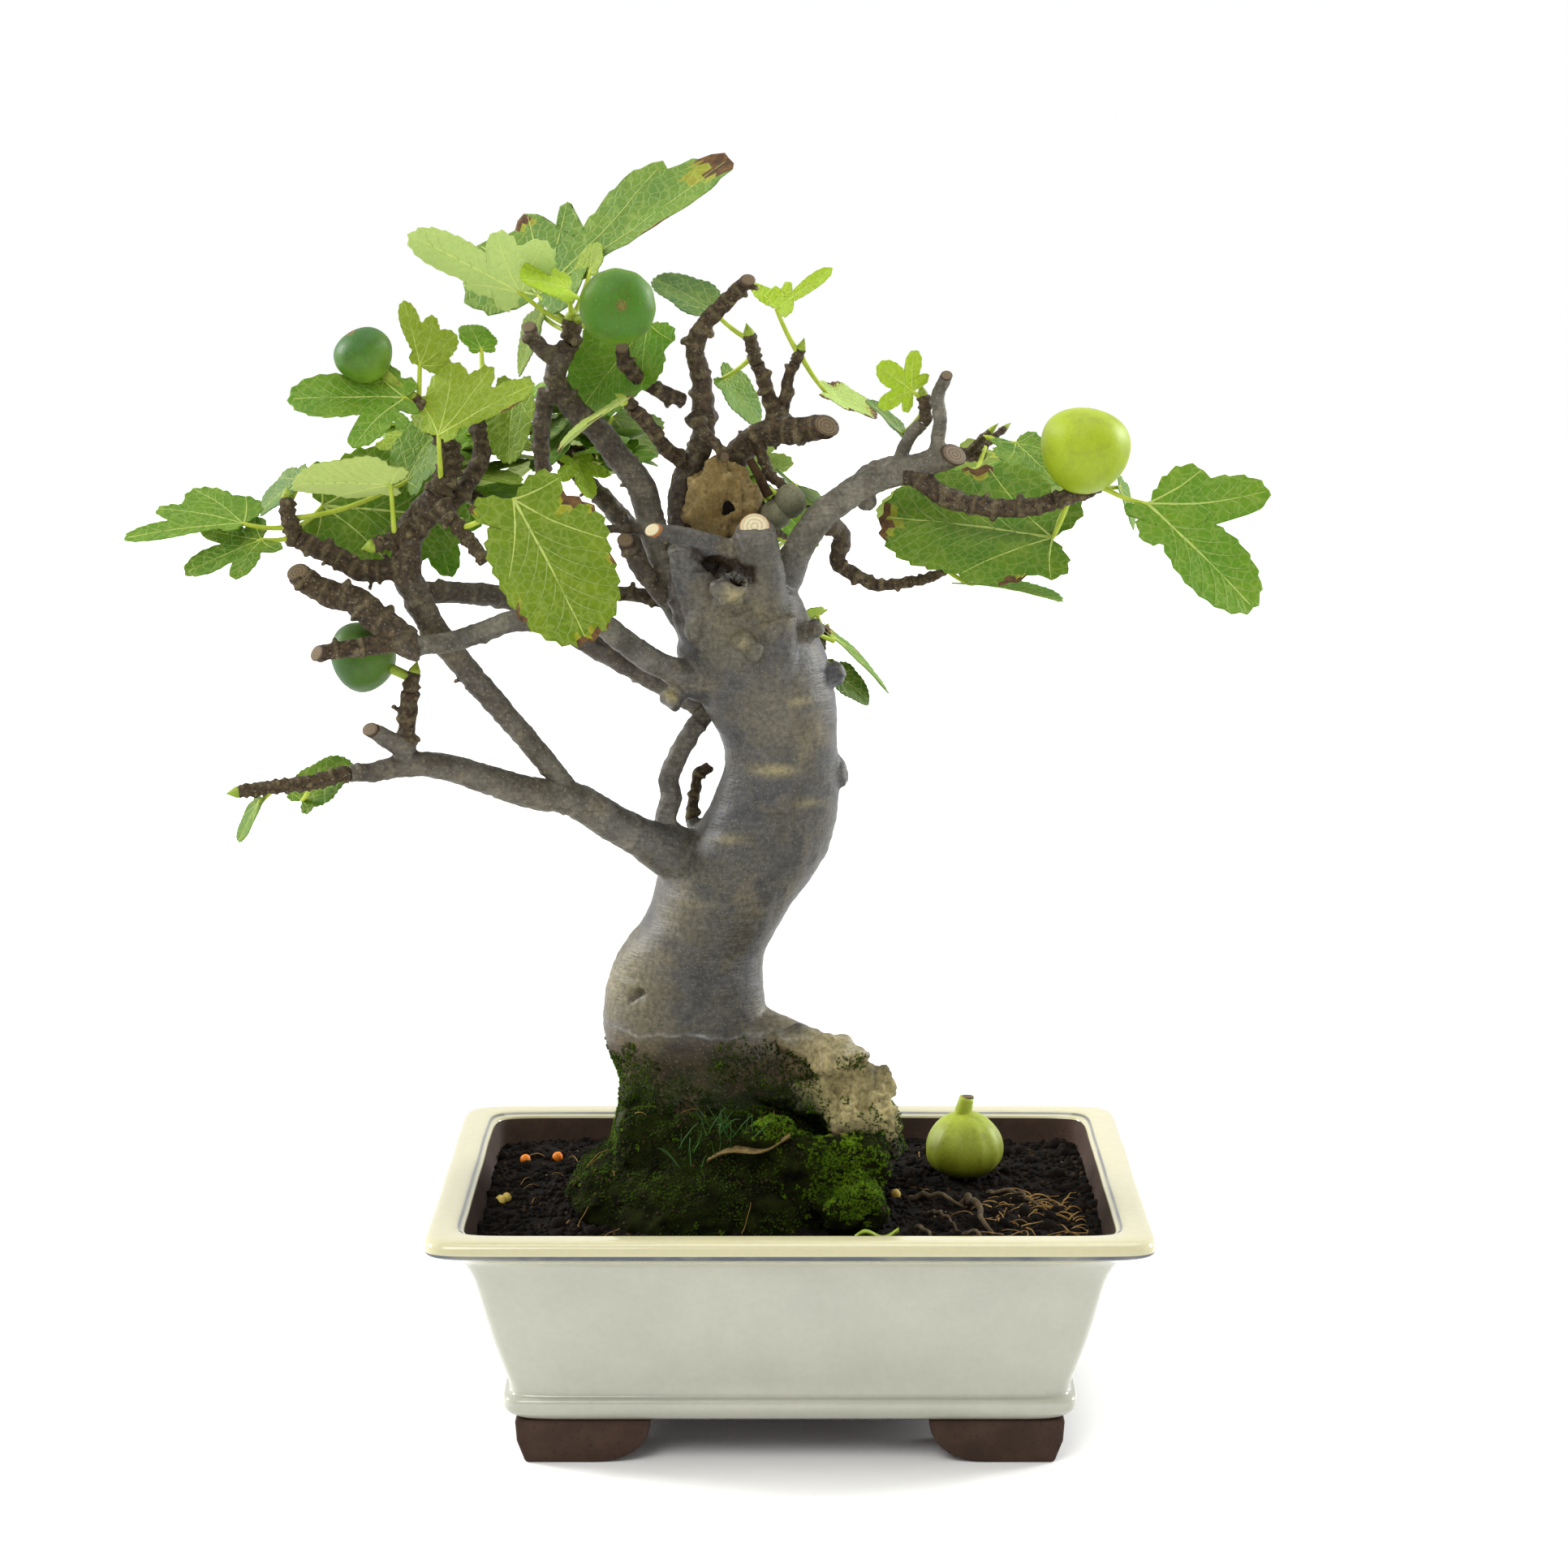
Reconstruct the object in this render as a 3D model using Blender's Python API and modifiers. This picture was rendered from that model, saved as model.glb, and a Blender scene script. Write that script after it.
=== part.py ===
"""Common fig bonsai in a glazed pot, as solids: pot, feet, soil, moss, trunk, boughs, leaf masses, figs.

Blender 4.5, +Z up. Sizes in the tables are millimetres from the middle of the pot on the ground.
A leg of growth is (length, bearing, rise): bearing in degrees from +X seen from above, so that
90 points away from the front, and rise in degrees above level.
"""

import math
import random
from dataclasses import dataclass

import bmesh
import bpy
from mathutils import Matrix, Vector
from mathutils.bvhtree import BVHTree

MM = 0.001
GAP = 0.3
SEED = 11
# Faces that meet at less than this angle are joined after a Boolean
FLAT = math.radians(0.2)
# Solvers in the order they are tried, each with a shift of the operands in millimetres
SOLVERS = {
    "UNION": (("EXACT", 0), ("MANIFOLD", 0), ("EXACT", 0.02), ("MANIFOLD", 0.03)),
    "DIFFERENCE": (("MANIFOLD", 0), ("EXACT", 0), ("MANIFOLD", 0.03)),
}

# The middle of the pot, from the middle of the whole plant's box
POT_X = 42.0
POT_Y = -19.0

# Pot: half of its length at each height, outside and inside. Every ring is shorter front to back.
POT_NARROWER = 45.0
POT_SQUARENESS = 22.0
POT_SIDES = 24
POT_OUTSIDE = (
    (22, 135), (25, 139.5), (29, 142), (34, 141.5), (37, 138.5), (60, 145.5), (79, 150.5),
    (97, 155), (107, 160), (112, 166), (115, 174.5), (119, 177), (122, 176), (124, 173),
)
POT_INSIDE = ((124, 159.5), (121, 157), (111, 155), (30, 130))
FOOT_HEIGHT = 22.0
FOOT_LENGTH = 67.0
FOOT_SOLE = 36.0
FOOT_DEPTH = 42.0
FOOT_INSET = -0.5
SOIL_TOP = 110.0

# Moss mound round the foot of the trunk
MOSS_PLACE = (-18, 5)
MOSS_RADII = (84, 77)
MOSS_HEIGHT = 50.0
MOSS_LEVELS = 4
MOSS_SIDES = 18

# Trunk: height, place across and in depth, half width, half depth
TRUNK = (
    (104, -42, 20, 54, 46), (134, -43, 20, 48, 43), (167, -46, 17, 42, 39), (197, -53.5, 15, 42.5, 37),
    (232, -50, 12, 37, 35), (254, -38, 9, 36, 35), (282, -25, 7, 40, 37), (304, -12, 5, 34, 33),
    (334, -4, 3, 28.5, 29), (360, -8, 2, 33, 31), (384, -17, 0, 37, 33), (404, -22, -1, 33, 30),
    (420, -23, -2, 27, 25), (430, -23, -2, 16, 14),
)
TRUNK_SIDES = 16
TRUNK_CUTTER = 0.4
# Surface roots: start, legs, radii at both ends
ROOTS = (
    ((-22, 6, 185), ((32, -18, -15), (30, -10, -28), (40, -4, -58)), (24.5, 18)),
    ((-62, 38, 164), ((28, 130, -50), (30, 120, -42)), (17, 9)),
    ((-20, 40, 154), ((26, 50, -45), (26, 40, -38)), (16, 9)),
    ((-62, -4, 144), ((24, -130, -50), (20, -140, -40)), (16, 10)),
)

# A limb thicker than this has eight sides, a thinner one six
THICK_LIMB = 6.0

LEAF_THICKNESS = 1.25
PETIOLE_RADII = (1.35, 1.1)
PETIOLE_SUNK = 2.5
# Leaf forms: lobes as (angle from the midrib, reach, spread), the reach as a share of the length
OVAL = ((0, 1.0, 66), (46, 0.66, 50), (-46, 0.66, 50), (98, 0.38, 42), (-98, 0.38, 42))
LOBED = ((0, 1.0, 33), (48, 0.8, 30), (-48, 0.8, 30), (102, 0.42, 42), (-102, 0.42, 42))
MITTEN = ((0, 1.0, 40), (56, 0.86, 22), (-52, 0.5, 48), (110, 0.25, 40), (-110, 0.25, 40))
STRAP = (
    (1, 1.0, 15), (12, 0.77, 15), (40, 0.45, 9), (64, 0.38, 36), (102, 0.37, 42), (132, 0.36, 40),
    (-60, 0.2, 60),
)
SIDED = ((0, 1.0, 24), (30, 0.8, 26), (62, 0.76, 40), (98, 0.5, 44), (-40, 0.22, 50))
HALF = ((0, 1.0, 26), (40, 0.56, 34), (84, 0.5, 44), (-24, 0.45, 34), (-70, 0.26, 50))
EGG = ((0, 1.0, 60), (42, 0.64, 46), (-34, 0.6, 42), (92, 0.36, 42), (-88, 0.34, 40))
CUP = ((0, 1.0, 18), (34, 0.42, 30), (74, 0.34, 30), (112, 0.62, 20), (-40, 0.34, 50))
GLOVE = ((0, 1.0, 40), (54, 0.86, 26), (80, 0.5, 34), (-50, 0.34, 40), (-110, 0.2, 40))
BLUNTNESS = 0.7
LEAF_ARCH = 0.10
LEAF_FOLD = 0.14
LEAF_MIDDLE = 0.3
EDGE_SHARES = (-0.65, 0.65, -0.32, 0.32)


@dataclass(frozen=True)
class Limb:
    """A bough or twig: it starts at a place, or at the tip of the limb it names."""

    name: str
    start: tuple | str
    legs: tuple
    radii: tuple
    stubs: tuple = ()


@dataclass(frozen=True)
class Leaf:
    """A leaf on a stem: where along it, its petiole's leg, its blade's leg, roll, form and breadth.

    A negative breadth mirrors the form. The edge has points that lie at least some degrees apart.
    """

    at: float
    petiole: tuple
    blade: tuple
    roll: float
    form: tuple = OVAL
    breadth: float = 1.0
    apart: float = 8.0


@dataclass(frozen=True)
class Fig:
    """A fig on a stem: where along it, the leg to its middle, its width, height and its axis."""

    at: float
    stalk: tuple
    width: float
    height: float
    axis: tuple = (0, 90)


@dataclass(frozen=True)
class Mass:
    """Foliage on one stem that meets a limb's tip, with its own leaves and figs.

    A mass with a space, as centre and radii, also grows seeded twigs and leaves that keep inside it.
    """

    name: str
    start: tuple | str
    legs: tuple
    radii: tuple
    leaves: tuple = ()
    figs: tuple = ()
    space: tuple = ()
    more: int = 0


LIMBS = (
    Limb("head_right_prong", (-21, -8, 391), ((28, -51, 77), (21, -89, 79), (17, -94, 72)), (11.3, 9.6)),
    Limb(
        "head_left_prong", (-38, -6, 393), ((27, -155, 69), (21, -147, 80), (9, -157, 70)), (10.5, 8.6),
        stubs=(((-26, -15, 440), ((17, -160, 24), (15, -172, 18), (13, -162, 14)), (7.6, 6.8)),),
    ),
    Limb(
        "bough_upper_left", (-42, 4, 392),
        ((40, 154, 62), (21, 173, 67), (28, 180, 74), (18, -170, 51), (16, -168, 54), (18, -167, 42),
         (17, -166, 62), (18, 0, 67)), (8.1, 5.2),
        stubs=(
            ((-121, 6, 521), ((22, 110, -72), (24, 100, -85)), (4.4, 4.1)),
            ((-112, 2, 534), ((16, 165, 35), (9, 170, 65)), (4.6, 3.8)),
            ((-61, 14, 447), ((14, -170, 14), (24, -175, 3), (19, -174, 10)), (2.4, 2.0)),
        ),
    ),
    Limb(
        "bough_centre", (-32, 18, 401),
        ((40, 151, 58), (33, 153, 82), (29, -11, 68), (29, -93, 82), (19, -127, 75), (14, -33, 59),
         (30, -22, 44)), (8.1, 4.4),
        stubs=(
            ((-53, 22, 514), ((19, -160, 24), (16, -160, 41), (9, -139, 71)), (4.0, 3.6)),
            ((-52, 28, 482), ((17, -133, 32), (16, -134, 46), (13, -152, 48)), (4.1, 3.2)),
            ((-50, 22, 507), ((17, -41, -38), (12, -26, -48)), (3.6, 2.8)),
        ),
    ),
    Limb(
        "bough_back_centre", (-27, 14, 415),
        ((39, 103, 62), (24, 111, 85), (19, -13, 62), (15, -13, 32), (13, -18, 3), (18, -24, 11)),
        (7.3, 6.3),
    ),
    Limb(
        "centre_right_twig", (-7, 32, 499), ((20, -154, 77), (15, -159, 67)), (4.1, 3.5),
        stubs=(((-7, 32, 503), ((10, -30, 60), (15, -60, 74), (8, -17, 64)), (3.2, 2.8)),),
    ),
    Limb(
        "bough_right", (-9, 4, 418),
        ((41, -11, 60), (20, -16, 43), (19, -14, 32), (19, -13, 18), (23, -8, 19)), (7.7, 6.4),
        stubs=(
            ((71, -13, 487), ((20, -21, 82), (12, 180, 84), (11, 0, 68)), (3.6, 3.2)),
            ((50, -9, 479), ((21, 20, 64), (10, 9, 48)), (3.6, 3.2)),
        ),
    ),
    Limb("bough_right_outer", (58, -12, 482), ((22, -19, -31), (19, -12, -14), (21, -8, -2), (15, -4, 14)),
         (5.2, 4.4)),
    Limb("bough_right_low", (16, 4, 457), ((17, 45, -33), (14, 120, -70), (10, 0, -40), (14, -9, -23),
         (19, -18, 7)), (5.0, 2.7)),
    Limb(
        "bough_low_left", (-38, 6, 278.5),
        ((29, -158, 26), (30, -157, 29), (28, -155, 32), (22, -158, 12), (24, -159, 20), (26, -156, 19),
         (18, -157, 4), (15, -158, -8), (13, -155, 0)), (11.2, 4.2),
        stubs=(((-184, -56, 349), ((23, -166, 32),), (5.5, 5.1)),),
    ),
    Limb("low_left_upright", (-186.5, -55, 351), ((14, 60, 86), (14, 0, 83)), (4.6, 4.3)),
    Limb("bough_left_riser", (-105, -24, 320), ((43, -163, 51), (44, -159, 50), (30, -160, 53),
         (24, -169, 64)), (5.2, 7.2)),
    Limb("left_post", "bough_left_riser", ((22, 48, 83), (21, 8, 52)), (7.2, 6.9)),
    Limb(
        "bough_front_left", (-36, -4, 372),
        ((23, -145, 25), (20, -154, 26), (19, -153, 36), (16, -153, 34), (23, -157, 3), (18, -161, 5),
         (15, -156, -15), (17, -159, -15), (18, -167, -6)), (6.9, 4.8),
    ),
    Limb("left_fork_low", "bough_front_left", ((22, 174, 37), (13, 168, 40), (12, 170, 12), (12, 170, 25),
         (8, 180, 42)), (7.6, 5.8)),
    Limb("left_spur", (-190, -68, 406), ((12, -150, -8), (26, -171, -7)), (5.6, 5.0)),
    Limb("left_fork_high", (-184, -50, 439), ((24, 175, -4), (11, 169, 28), (13, 175, 24), (10, 173, 26)),
         (5.5, 4.7)),
    Limb("left_side_twig", (-170, -47, 466), ((16, -160, -34),), (4.7, 4.2)),
    Limb("front_twig", (-171, -49, 473), ((18, -44, -39),), (4.3, 3.8)),
    Limb("left_top_twig", (-170, -45, 462), ((35, 36, 48), (22, 85, 85)), (4.7, 4.3)),
    Limb("bough_lower_left", (-40, 14, 359),
         ((28, 175, 29), (26, -170, 30), (23, -163, 31), (31, -157, 34), (25, -149, 16), (15, -147, 7),
          (20, -143, 6)), (6.0, 5.4)),
    Limb("head_left_spur", (-48, 6, 400), ((25, 180, 50), (15, -167, 52), (18, -154, 59)), (5.3, 4.4)),
    Limb("left_middle_twig", (-54, 18, 412), ((23, 165, 11), (18, 180, 4), (21, -169, 6), (15, -164, -9)),
         (4.1, 3.2)),
    Limb("front_shoot", (-51.5, 2, 292), ((17, -156, 47), (13, 39, 76), (10, 122, 77), (13, 21, 65),
         (13, 17, 59), (7, 21, 50)), (5.7, 4.8)),
    Limb("dark_shoot", (-44, 10, 292), ((13, 141, 57), (15, 68, 73), (8, 51, 72), (8, 0, 43)), (3.3, 2.9)),
    Limb("bough_back", (-18, 20, 400), ((32, 88, 38), (28, 96, 30), (22, 84, 20)), (7.0, 5.0)),
    Limb("bough_back_right", (0, 20, 356), ((34, 70, 22), (26, 84, 15)), (6.0, 4.2)),
    Limb("bough_back_left", (-34, 24, 380), ((40, 128, 40), (34, 150, 52), (30, 160, 48), (22, 150, 40)),
         (7.0, 4.8)),
    Limb("bough_far_left", (-118, -6, 416), ((34, 128, 30), (30, 120, 42), (24, 140, 30)), (4.6, 4.0)),
    Limb("bough_right_back", (38, -3, 466), ((26, 95, 20), (30, 60, 10), (30, 35, 0)), (5.2, 4.2)),
)

MASSES = (
    Mass("leaves_right_tip", "bough_right_outer", ((12, -10, 18), (9, -7, 23)), (4.2, 3.4), leaves=(
        Leaf(1.0, (25, -12, -20), (74, -17, -43), 46, GLOVE, 0.95),
        Leaf(1.0, (14, 40, -7), (24, 46, -62), 58, OVAL, 0.9),
        Leaf(0.34, (27, 118, -55), (88, 166, 5), -45, OVAL, 0.85)),
        figs=(Fig(0.75, (19, -175, 84), 44, 42, (20, 80)),)),
    Mass("leaves_right_inner", "bough_right/1", ((7, -116, 82), (5, 180, 78)), (3.1, 2.8), leaves=(
        Leaf(0.9, (8, -146, 31), (25, -148, 33), -98, LOBED, 1.1),
        Leaf(0.5, (20, 136, -40), (25, 161, 42), -1, OVAL, 0.7))),
    Mass("leaves_right_low", "bough_right_low", ((10, -12, 20), (8, -17, 33)), (2.6, 2.2), leaves=(
        Leaf(0.88, (15, -29, -27), (49, -22, -7), -1, OVAL, 0.7),
        Leaf(0.63, (8, 59, 69), (15, 77, 33), -37, OVAL, 0.8))),
    Mass("leaves_centre", "centre_right_twig", ((8, -148, 76), (5, -140, 72)), (3.4, 3.0), leaves=(
        Leaf(0.8, (26, 146, 31), (36, 163, 27), -23, OVAL, 0.9),
        Leaf(0.3, (25, 137, -30), (32, 28, -48), 56, OVAL, 0.8))),
    Mass("leaves_centre_right", "centre_right_twig/0", ((5, -40, 67),), (2.7, 2.5), leaves=(
        Leaf(0.6, (26, -149, 60), (37, -24, 33), 60, CUP),
        Leaf(0.7, (26, 35, -51), (30, 17, -24), 29, OVAL, 0.8))),
    Mass("leaves_upper_left", "bough_upper_left", ((10, -73, 78),), (4.9, 4.2), leaves=(
        Leaf(0.85, (29, 132, 25), (120, 7, 34.5), 37, STRAP, 1.15, 5.5),
        Leaf(0.69, (30, -165, 33), (63, -164, 27), 54, HALF),
        Leaf(0.92, (19, -95, 57), (27, -148, 12), -33, OVAL, 1.2),
        Leaf(1.0, (26, 55, 56), (17, 72, 62), -28, OVAL, 1.15),
        Leaf(0.78, (43, 30, -1), (56, 170, -51), -63, OVAL, 0.95),
        Leaf(0.5, (36, 118, 10), (34, 150, -66), -50, OVAL, 0.8)),
        figs=(Fig(0.9, (34, -45, 14), 37, 32, (-80, 5)),)),
    Mass("leaves_left_top", "left_top_twig", ((11, 0, 83), (7, 0, 83)), (4.0, 3.2), leaves=(
        Leaf(0.62, (19, -25, 9), (38, -111, -77), 11, OVAL, 0.75),
        Leaf(0.94, (18, 97, 47), (21, 114, 32), 3, OVAL, 0.9))),
    Mass("leaves_left_post", "left_post", ((18, 20, 71), (18, -151, 63), (17, -159, 51)), (6.4, 3.2), leaves=(
        Leaf(0.1, (33, -88, 52), (53, -5, 28), 43, SIDED),
        Leaf(0.92, (19, 79, 80), (32, 152, 74), -29, SIDED, -1.0),
        Leaf(0.9, (11, -130, 26), (56, -172, -1), -44, MITTEN, 0.9)),
        figs=(Fig(0.97, (32, -170, 42), 28, 26, (-150, 60)),)),
    Mass("leaves_left_middle", "left_side_twig", ((8, -161, -21), (10, -162, -14)), (4.1, 3.7), leaves=(
        Leaf(0.45, (28, -97, 75), (48, -163, 2), 31, OVAL, 0.9),)),
    Mass("leaves_front", "front_twig", ((11, -17, -49), (11, -17, -52)), (3.6, 3.2), leaves=(
        Leaf(0.15, (36, -33, 26), (80, -37, -55), 30, EGG, 0.9),)),
    Mass("leaves_inner", "bough_centre/1", ((4, -157, 33),), (3.1, 2.6), leaves=(
        Leaf(0.8, (16, -100, 0), (40, -160, -35), 8, OVAL, 0.7),)),
    Mass("leaves_left_tip", "left_fork_high", ((10, 180, 73), (9, 103, 76)), (4.4, 3.4), leaves=(
        Leaf(0.34, (24, -156, 6), (58, -168, -6), -26, SIDED, -0.75),
        Leaf(0.1, (17, -153, -2), (41, -161, -23), -29, LOBED, 0.95),
        Leaf(0.85, (16, 56, 50), (29, 160, -37), -37, OVAL, 0.9),
        Leaf(0.3, (36, 72, 12), (74, 12, -6), 70, OVAL, 0.8),
        Leaf(0.52, (64, 29, 14), (44, 34, 55), 16, OVAL, 0.8))),
    Mass("fig_low_left", "low_left_upright", ((7, 32, 74),), (4.0, 3.2),
         figs=(Fig(0.7, (27, 165, 22), 34, 31, (170, -20)),)),
    Mass("leaves_low_left", "bough_low_left", ((17, -159, -11), (16, -158, -3), (19, -168, -6)), (3.7, 3.0),
         leaves=(
        Leaf(0.33, (18, 120, -39), (31, 24, 36), 33, OVAL, 0.8),
        Leaf(0.68, (10, -167, -43), (22, -158, -62), -6, OVAL, 0.7))),
    Mass("figs_spent", (-17, 30, 497), ((9, -60, -60), (14, -58, -52), (10, -20, -40)), (3.0, 2.4),
         figs=(Fig(0.98, (8, -30, -60), 16, 17, (0, -80)),)),
    Mass("leaves_back_right", "bough_back_right", ((13, 85, 20), (14, 85, 25)), (3.9, 3.2), leaves=(
        Leaf(0.38, (14, 27, -52), (28, 22, -38), 46, OVAL, 0.8),
        Leaf(0.83, (8, 31, 8), (44, 8, -46), 10, OVAL, 0.5)),
        space=((4, 112, 356), (36, 62, 58)), more=8),
    Mass("leaves_back", "bough_back", ((16, 84, 20), (14, 100, 30)), (4.6, 3.4),
         space=((-18, 135, 424), (48, 66, 66)), more=14),
    Mass("leaves_back_left", "bough_back_left", ((14, 150, 40), (14, 140, 45)), (4.4, 3.4),
         space=((-118, 105, 504), (64, 74, 66)), more=10),
    Mass("leaves_far_left", "bough_far_left", ((14, 150, 30), (14, 140, 30)), (3.7, 3.0),
         space=((-180, 62, 460), (64, 70, 62)), more=11),
    Mass("leaves_right_back", "bough_right_back", ((14, 40, 10), (14, 30, 0)), (3.9, 3.0),
         space=((106, 74, 442), (72, 70, 58)), more=14),
)

# Seeded foliage: ranges that the rule draws from
TWIGS = 4
TWIG_LENGTH = (16, 34)
TWIG_RADII = (2.3, 1.7)
MORE_PETIOLE = (14, 30)
MORE_BLADE = (38, 66)
MORE_RISE = (-62, 8)
MORE_APART = 34.0
TRIES = 260

FIG_SIDES = 9
FIG_RINGS = 6
FIG_STALK_RADII = (2.2, 2.6)
FALLEN_FIG = (91, 36)
FALLEN_WIDTH = 40.0
FALLEN_HEIGHT = 35.0
FALLEN_STEM = 28.0


def clear_scene():
    """Removes what is in the scene."""
    for item in list(bpy.data.objects):
        bpy.data.objects.remove(item, do_unlink=True)


def material(name, colour, roughness, metallic=0.0):
    """A plain Principled material."""
    made = bpy.data.materials.new(name)
    made.use_nodes = True
    shader = made.node_tree.nodes["Principled BSDF"]
    shader.inputs["Base Color"].default_value = (*colour, 1)
    shader.inputs["Roughness"].default_value = roughness
    shader.inputs["Metallic"].default_value = metallic
    return made


def heading(bearing, rise):
    """The unit vector of a bearing and a rise in degrees."""
    around, up = math.radians(bearing), math.radians(rise)
    return Vector((math.cos(up) * math.cos(around), math.cos(up) * math.sin(around), math.sin(up)))


def walk(start, legs):
    """The points that legs of growth lead to, from a start."""
    points = [Vector(start)]
    for length, bearing, rise in legs:
        points.append(points[-1] + heading(bearing, rise) * length)
    return points


def smooth(points, steps):
    """A Catmull-Rom line through the points, with some steps to each leg."""
    ends = [points[0] * 2 - points[1], *points, points[-1] * 2 - points[-2]]
    line = []
    for a, b, c, d in zip(ends, ends[1:], ends[2:], ends[3:]):
        for step in range(steps):
            t = step / steps
            square, cube = (a * 2 - b * 5 + c * 4 - d) * t**2, (b * 3 - a - c * 3 + d) * t**3
            line.append((b * 2 + (c - a) * t + square + cube) / 2)
    return [*line, points[-1]]


def taper(radii, count, grow=0.0):
    """Radii that run evenly between both ends."""
    first, last = radii
    return [first + (last - first) * i / (count - 1) + grow for i in range(count)]


def along(line, share):
    """The point at a share of a line's length."""
    lengths = [(b - a).length for a, b in zip(line, line[1:])]
    left = share * sum(lengths)
    for a, b, length in zip(line, line[1:], lengths):
        if left <= length:
            return a.lerp(b, left / length)
        left -= length
    return line[-1].copy()


def link(made):
    """Puts an object into the scene."""
    bpy.context.scene.collection.objects.link(made)
    return made


def drop(item):
    """Removes an object and its data."""
    data = item.data
    bpy.data.objects.remove(item, do_unlink=True)
    if isinstance(data, bpy.types.Mesh):
        bpy.data.meshes.remove(data)
    else:
        bpy.data.curves.remove(data)


def evaluated_mesh(item):
    """A new mesh of an object as its modifiers leave it."""
    graph = bpy.context.evaluated_depsgraph_get()
    return bpy.data.meshes.new_from_object(item.evaluated_get(graph))


def mesh_object(form, name="piece"):
    """An object from a bmesh."""
    mesh = bpy.data.meshes.new(name)
    form.to_mesh(mesh)
    form.free()
    return link(bpy.data.objects.new(name, mesh))


def tube(line, radii, sides=8):
    """A closed round solid along a line, from a curve with a bevel and filled caps."""
    data = bpy.data.curves.new("tube", "CURVE")
    data.dimensions = "3D"
    data.bevel_depth = MM
    data.bevel_resolution = sides // 2 - 2
    data.use_fill_caps = True
    spline = data.splines.new("POLY")
    spline.points.add(len(line) - 1)
    for point, place, radius in zip(spline.points, line, radii):
        point.co = (*(place * MM), 1)
        point.radius = radius
    curve = link(bpy.data.objects.new("tube", data))
    made = link(bpy.data.objects.new("tube", evaluated_mesh(curve)))
    drop(curve)
    form = bmesh.new()
    form.from_mesh(made.data)
    bmesh.ops.remove_doubles(form, verts=form.verts, dist=MM * 0.01)
    bmesh.ops.triangulate(form, faces=form.faces, quad_method="FIXED")
    bmesh.ops.recalc_face_normals(form, faces=form.faces)
    form.to_mesh(made.data)
    form.free()
    return made


def stack(rings):
    """A closed solid through rings of points of one count, from the lowest, with both ends filled."""
    form = bmesh.new()
    rows = [[form.verts.new(point) for point in ring] for ring in rings]
    for lower, upper in zip(rows, rows[1:]):
        for i in range(len(lower)):
            form.faces.new((lower[i - 1], lower[i], upper[i], upper[i - 1]))
    form.faces.new(list(reversed(rows[0])))
    form.faces.new(rows[-1])
    bmesh.ops.triangulate(form, faces=form.faces, quad_method="FIXED")
    bmesh.ops.recalc_face_normals(form, faces=form.faces)
    return mesh_object(form)


def is_closed(form):
    """Whether every edge of a bmesh joins two faces."""
    return all(len(edge.link_faces) == 2 for edge in form.edges)


def largest_body(mesh):
    """Keeps a mesh's largest connected body, which drops scraps and fills sealed hollows."""
    form = bmesh.new()
    form.from_mesh(mesh)
    bmesh.ops.remove_doubles(form, verts=form.verts, dist=MM * 0.0001)
    waiting, bodies = set(form.faces), []
    while waiting:
        body, front = set(), [waiting.pop()]
        while front:
            face = front.pop()
            body.add(face)
            for other in (other for edge in face.edges for other in edge.link_faces):
                if other in waiting:
                    waiting.remove(other)
                    front.append(other)
        bodies.append(body)
    keep = max(bodies, key=len)
    bmesh.ops.delete(form, geom=[face for face in form.faces if face not in keep], context="FACES")
    closed = is_closed(form)
    form.to_mesh(mesh)
    bmesh.ops.dissolve_limit(form, angle_limit=FLAT, verts=form.verts, edges=form.edges)
    if is_closed(form):
        form.to_mesh(mesh)
    form.free()
    return closed


def combine(base, others, operation):
    """Joins others to a base, or cuts them from it, by one Boolean on a collection, then removes them."""
    if not others:
        return base
    group = bpy.data.collections.new("operands")
    for other in others:
        group.objects.link(other)
    for solver, nudge in SOLVERS[operation]:
        for other in others:
            other.location += Vector((nudge, -nudge, nudge)) * MM
        work = base.modifiers.new("combine", "BOOLEAN")
        work.operation = operation
        work.operand_type = "COLLECTION"
        work.collection = group
        work.solver = solver
        mesh = evaluated_mesh(base)
        base.modifiers.remove(work)
        if len(mesh.vertices) and largest_body(mesh):
            break
    old, base.data = base.data, mesh
    bpy.data.meshes.remove(old)
    bpy.data.collections.remove(group)
    for other in others:
        drop(other)
    return base


def tree_of(item):
    """A search tree of an object's faces, in world space, where the objects sit at the origin."""
    form = bmesh.new()
    form.from_mesh(item.data)
    tree = BVHTree.FromBMesh(form)
    form.free()
    return tree


def carve(made, grown, trees):
    """Cuts out of a piece each grown solid that it crosses, which leaves it clear of the real one."""
    own = tree_of(made)
    cutters = [link(item.copy()) for item, tree in zip(grown, trees) if own.overlap(tree)]
    for cutter in cutters:
        cutter.data = cutter.data.copy()
    return combine(made, cutters, "DIFFERENCE")


def squared_ring(half, height):
    """A ring of the pot's plan: a rectangle with bowed sides and rounded corners."""
    points = []
    for i in range(POT_SIDES):
        angle = (i + 0.5) * math.tau / POT_SIDES
        x, y = math.cos(angle), math.sin(angle)
        power = 2 / POT_SQUARENESS
        points.append(
            Vector((
                half * math.copysign(abs(x) ** power, x) * MM,
                (half - POT_NARROWER) * math.copysign(abs(y) ** power, y) * MM,
                height * MM,
            ))
        )
    return points


def make_pot():
    """The pot: one wall that runs up outside, over the lip and down inside to the floor."""
    return stack([squared_ring(half, height) for height, half in (*POT_OUTSIDE, *POT_INSIDE)])


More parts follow.
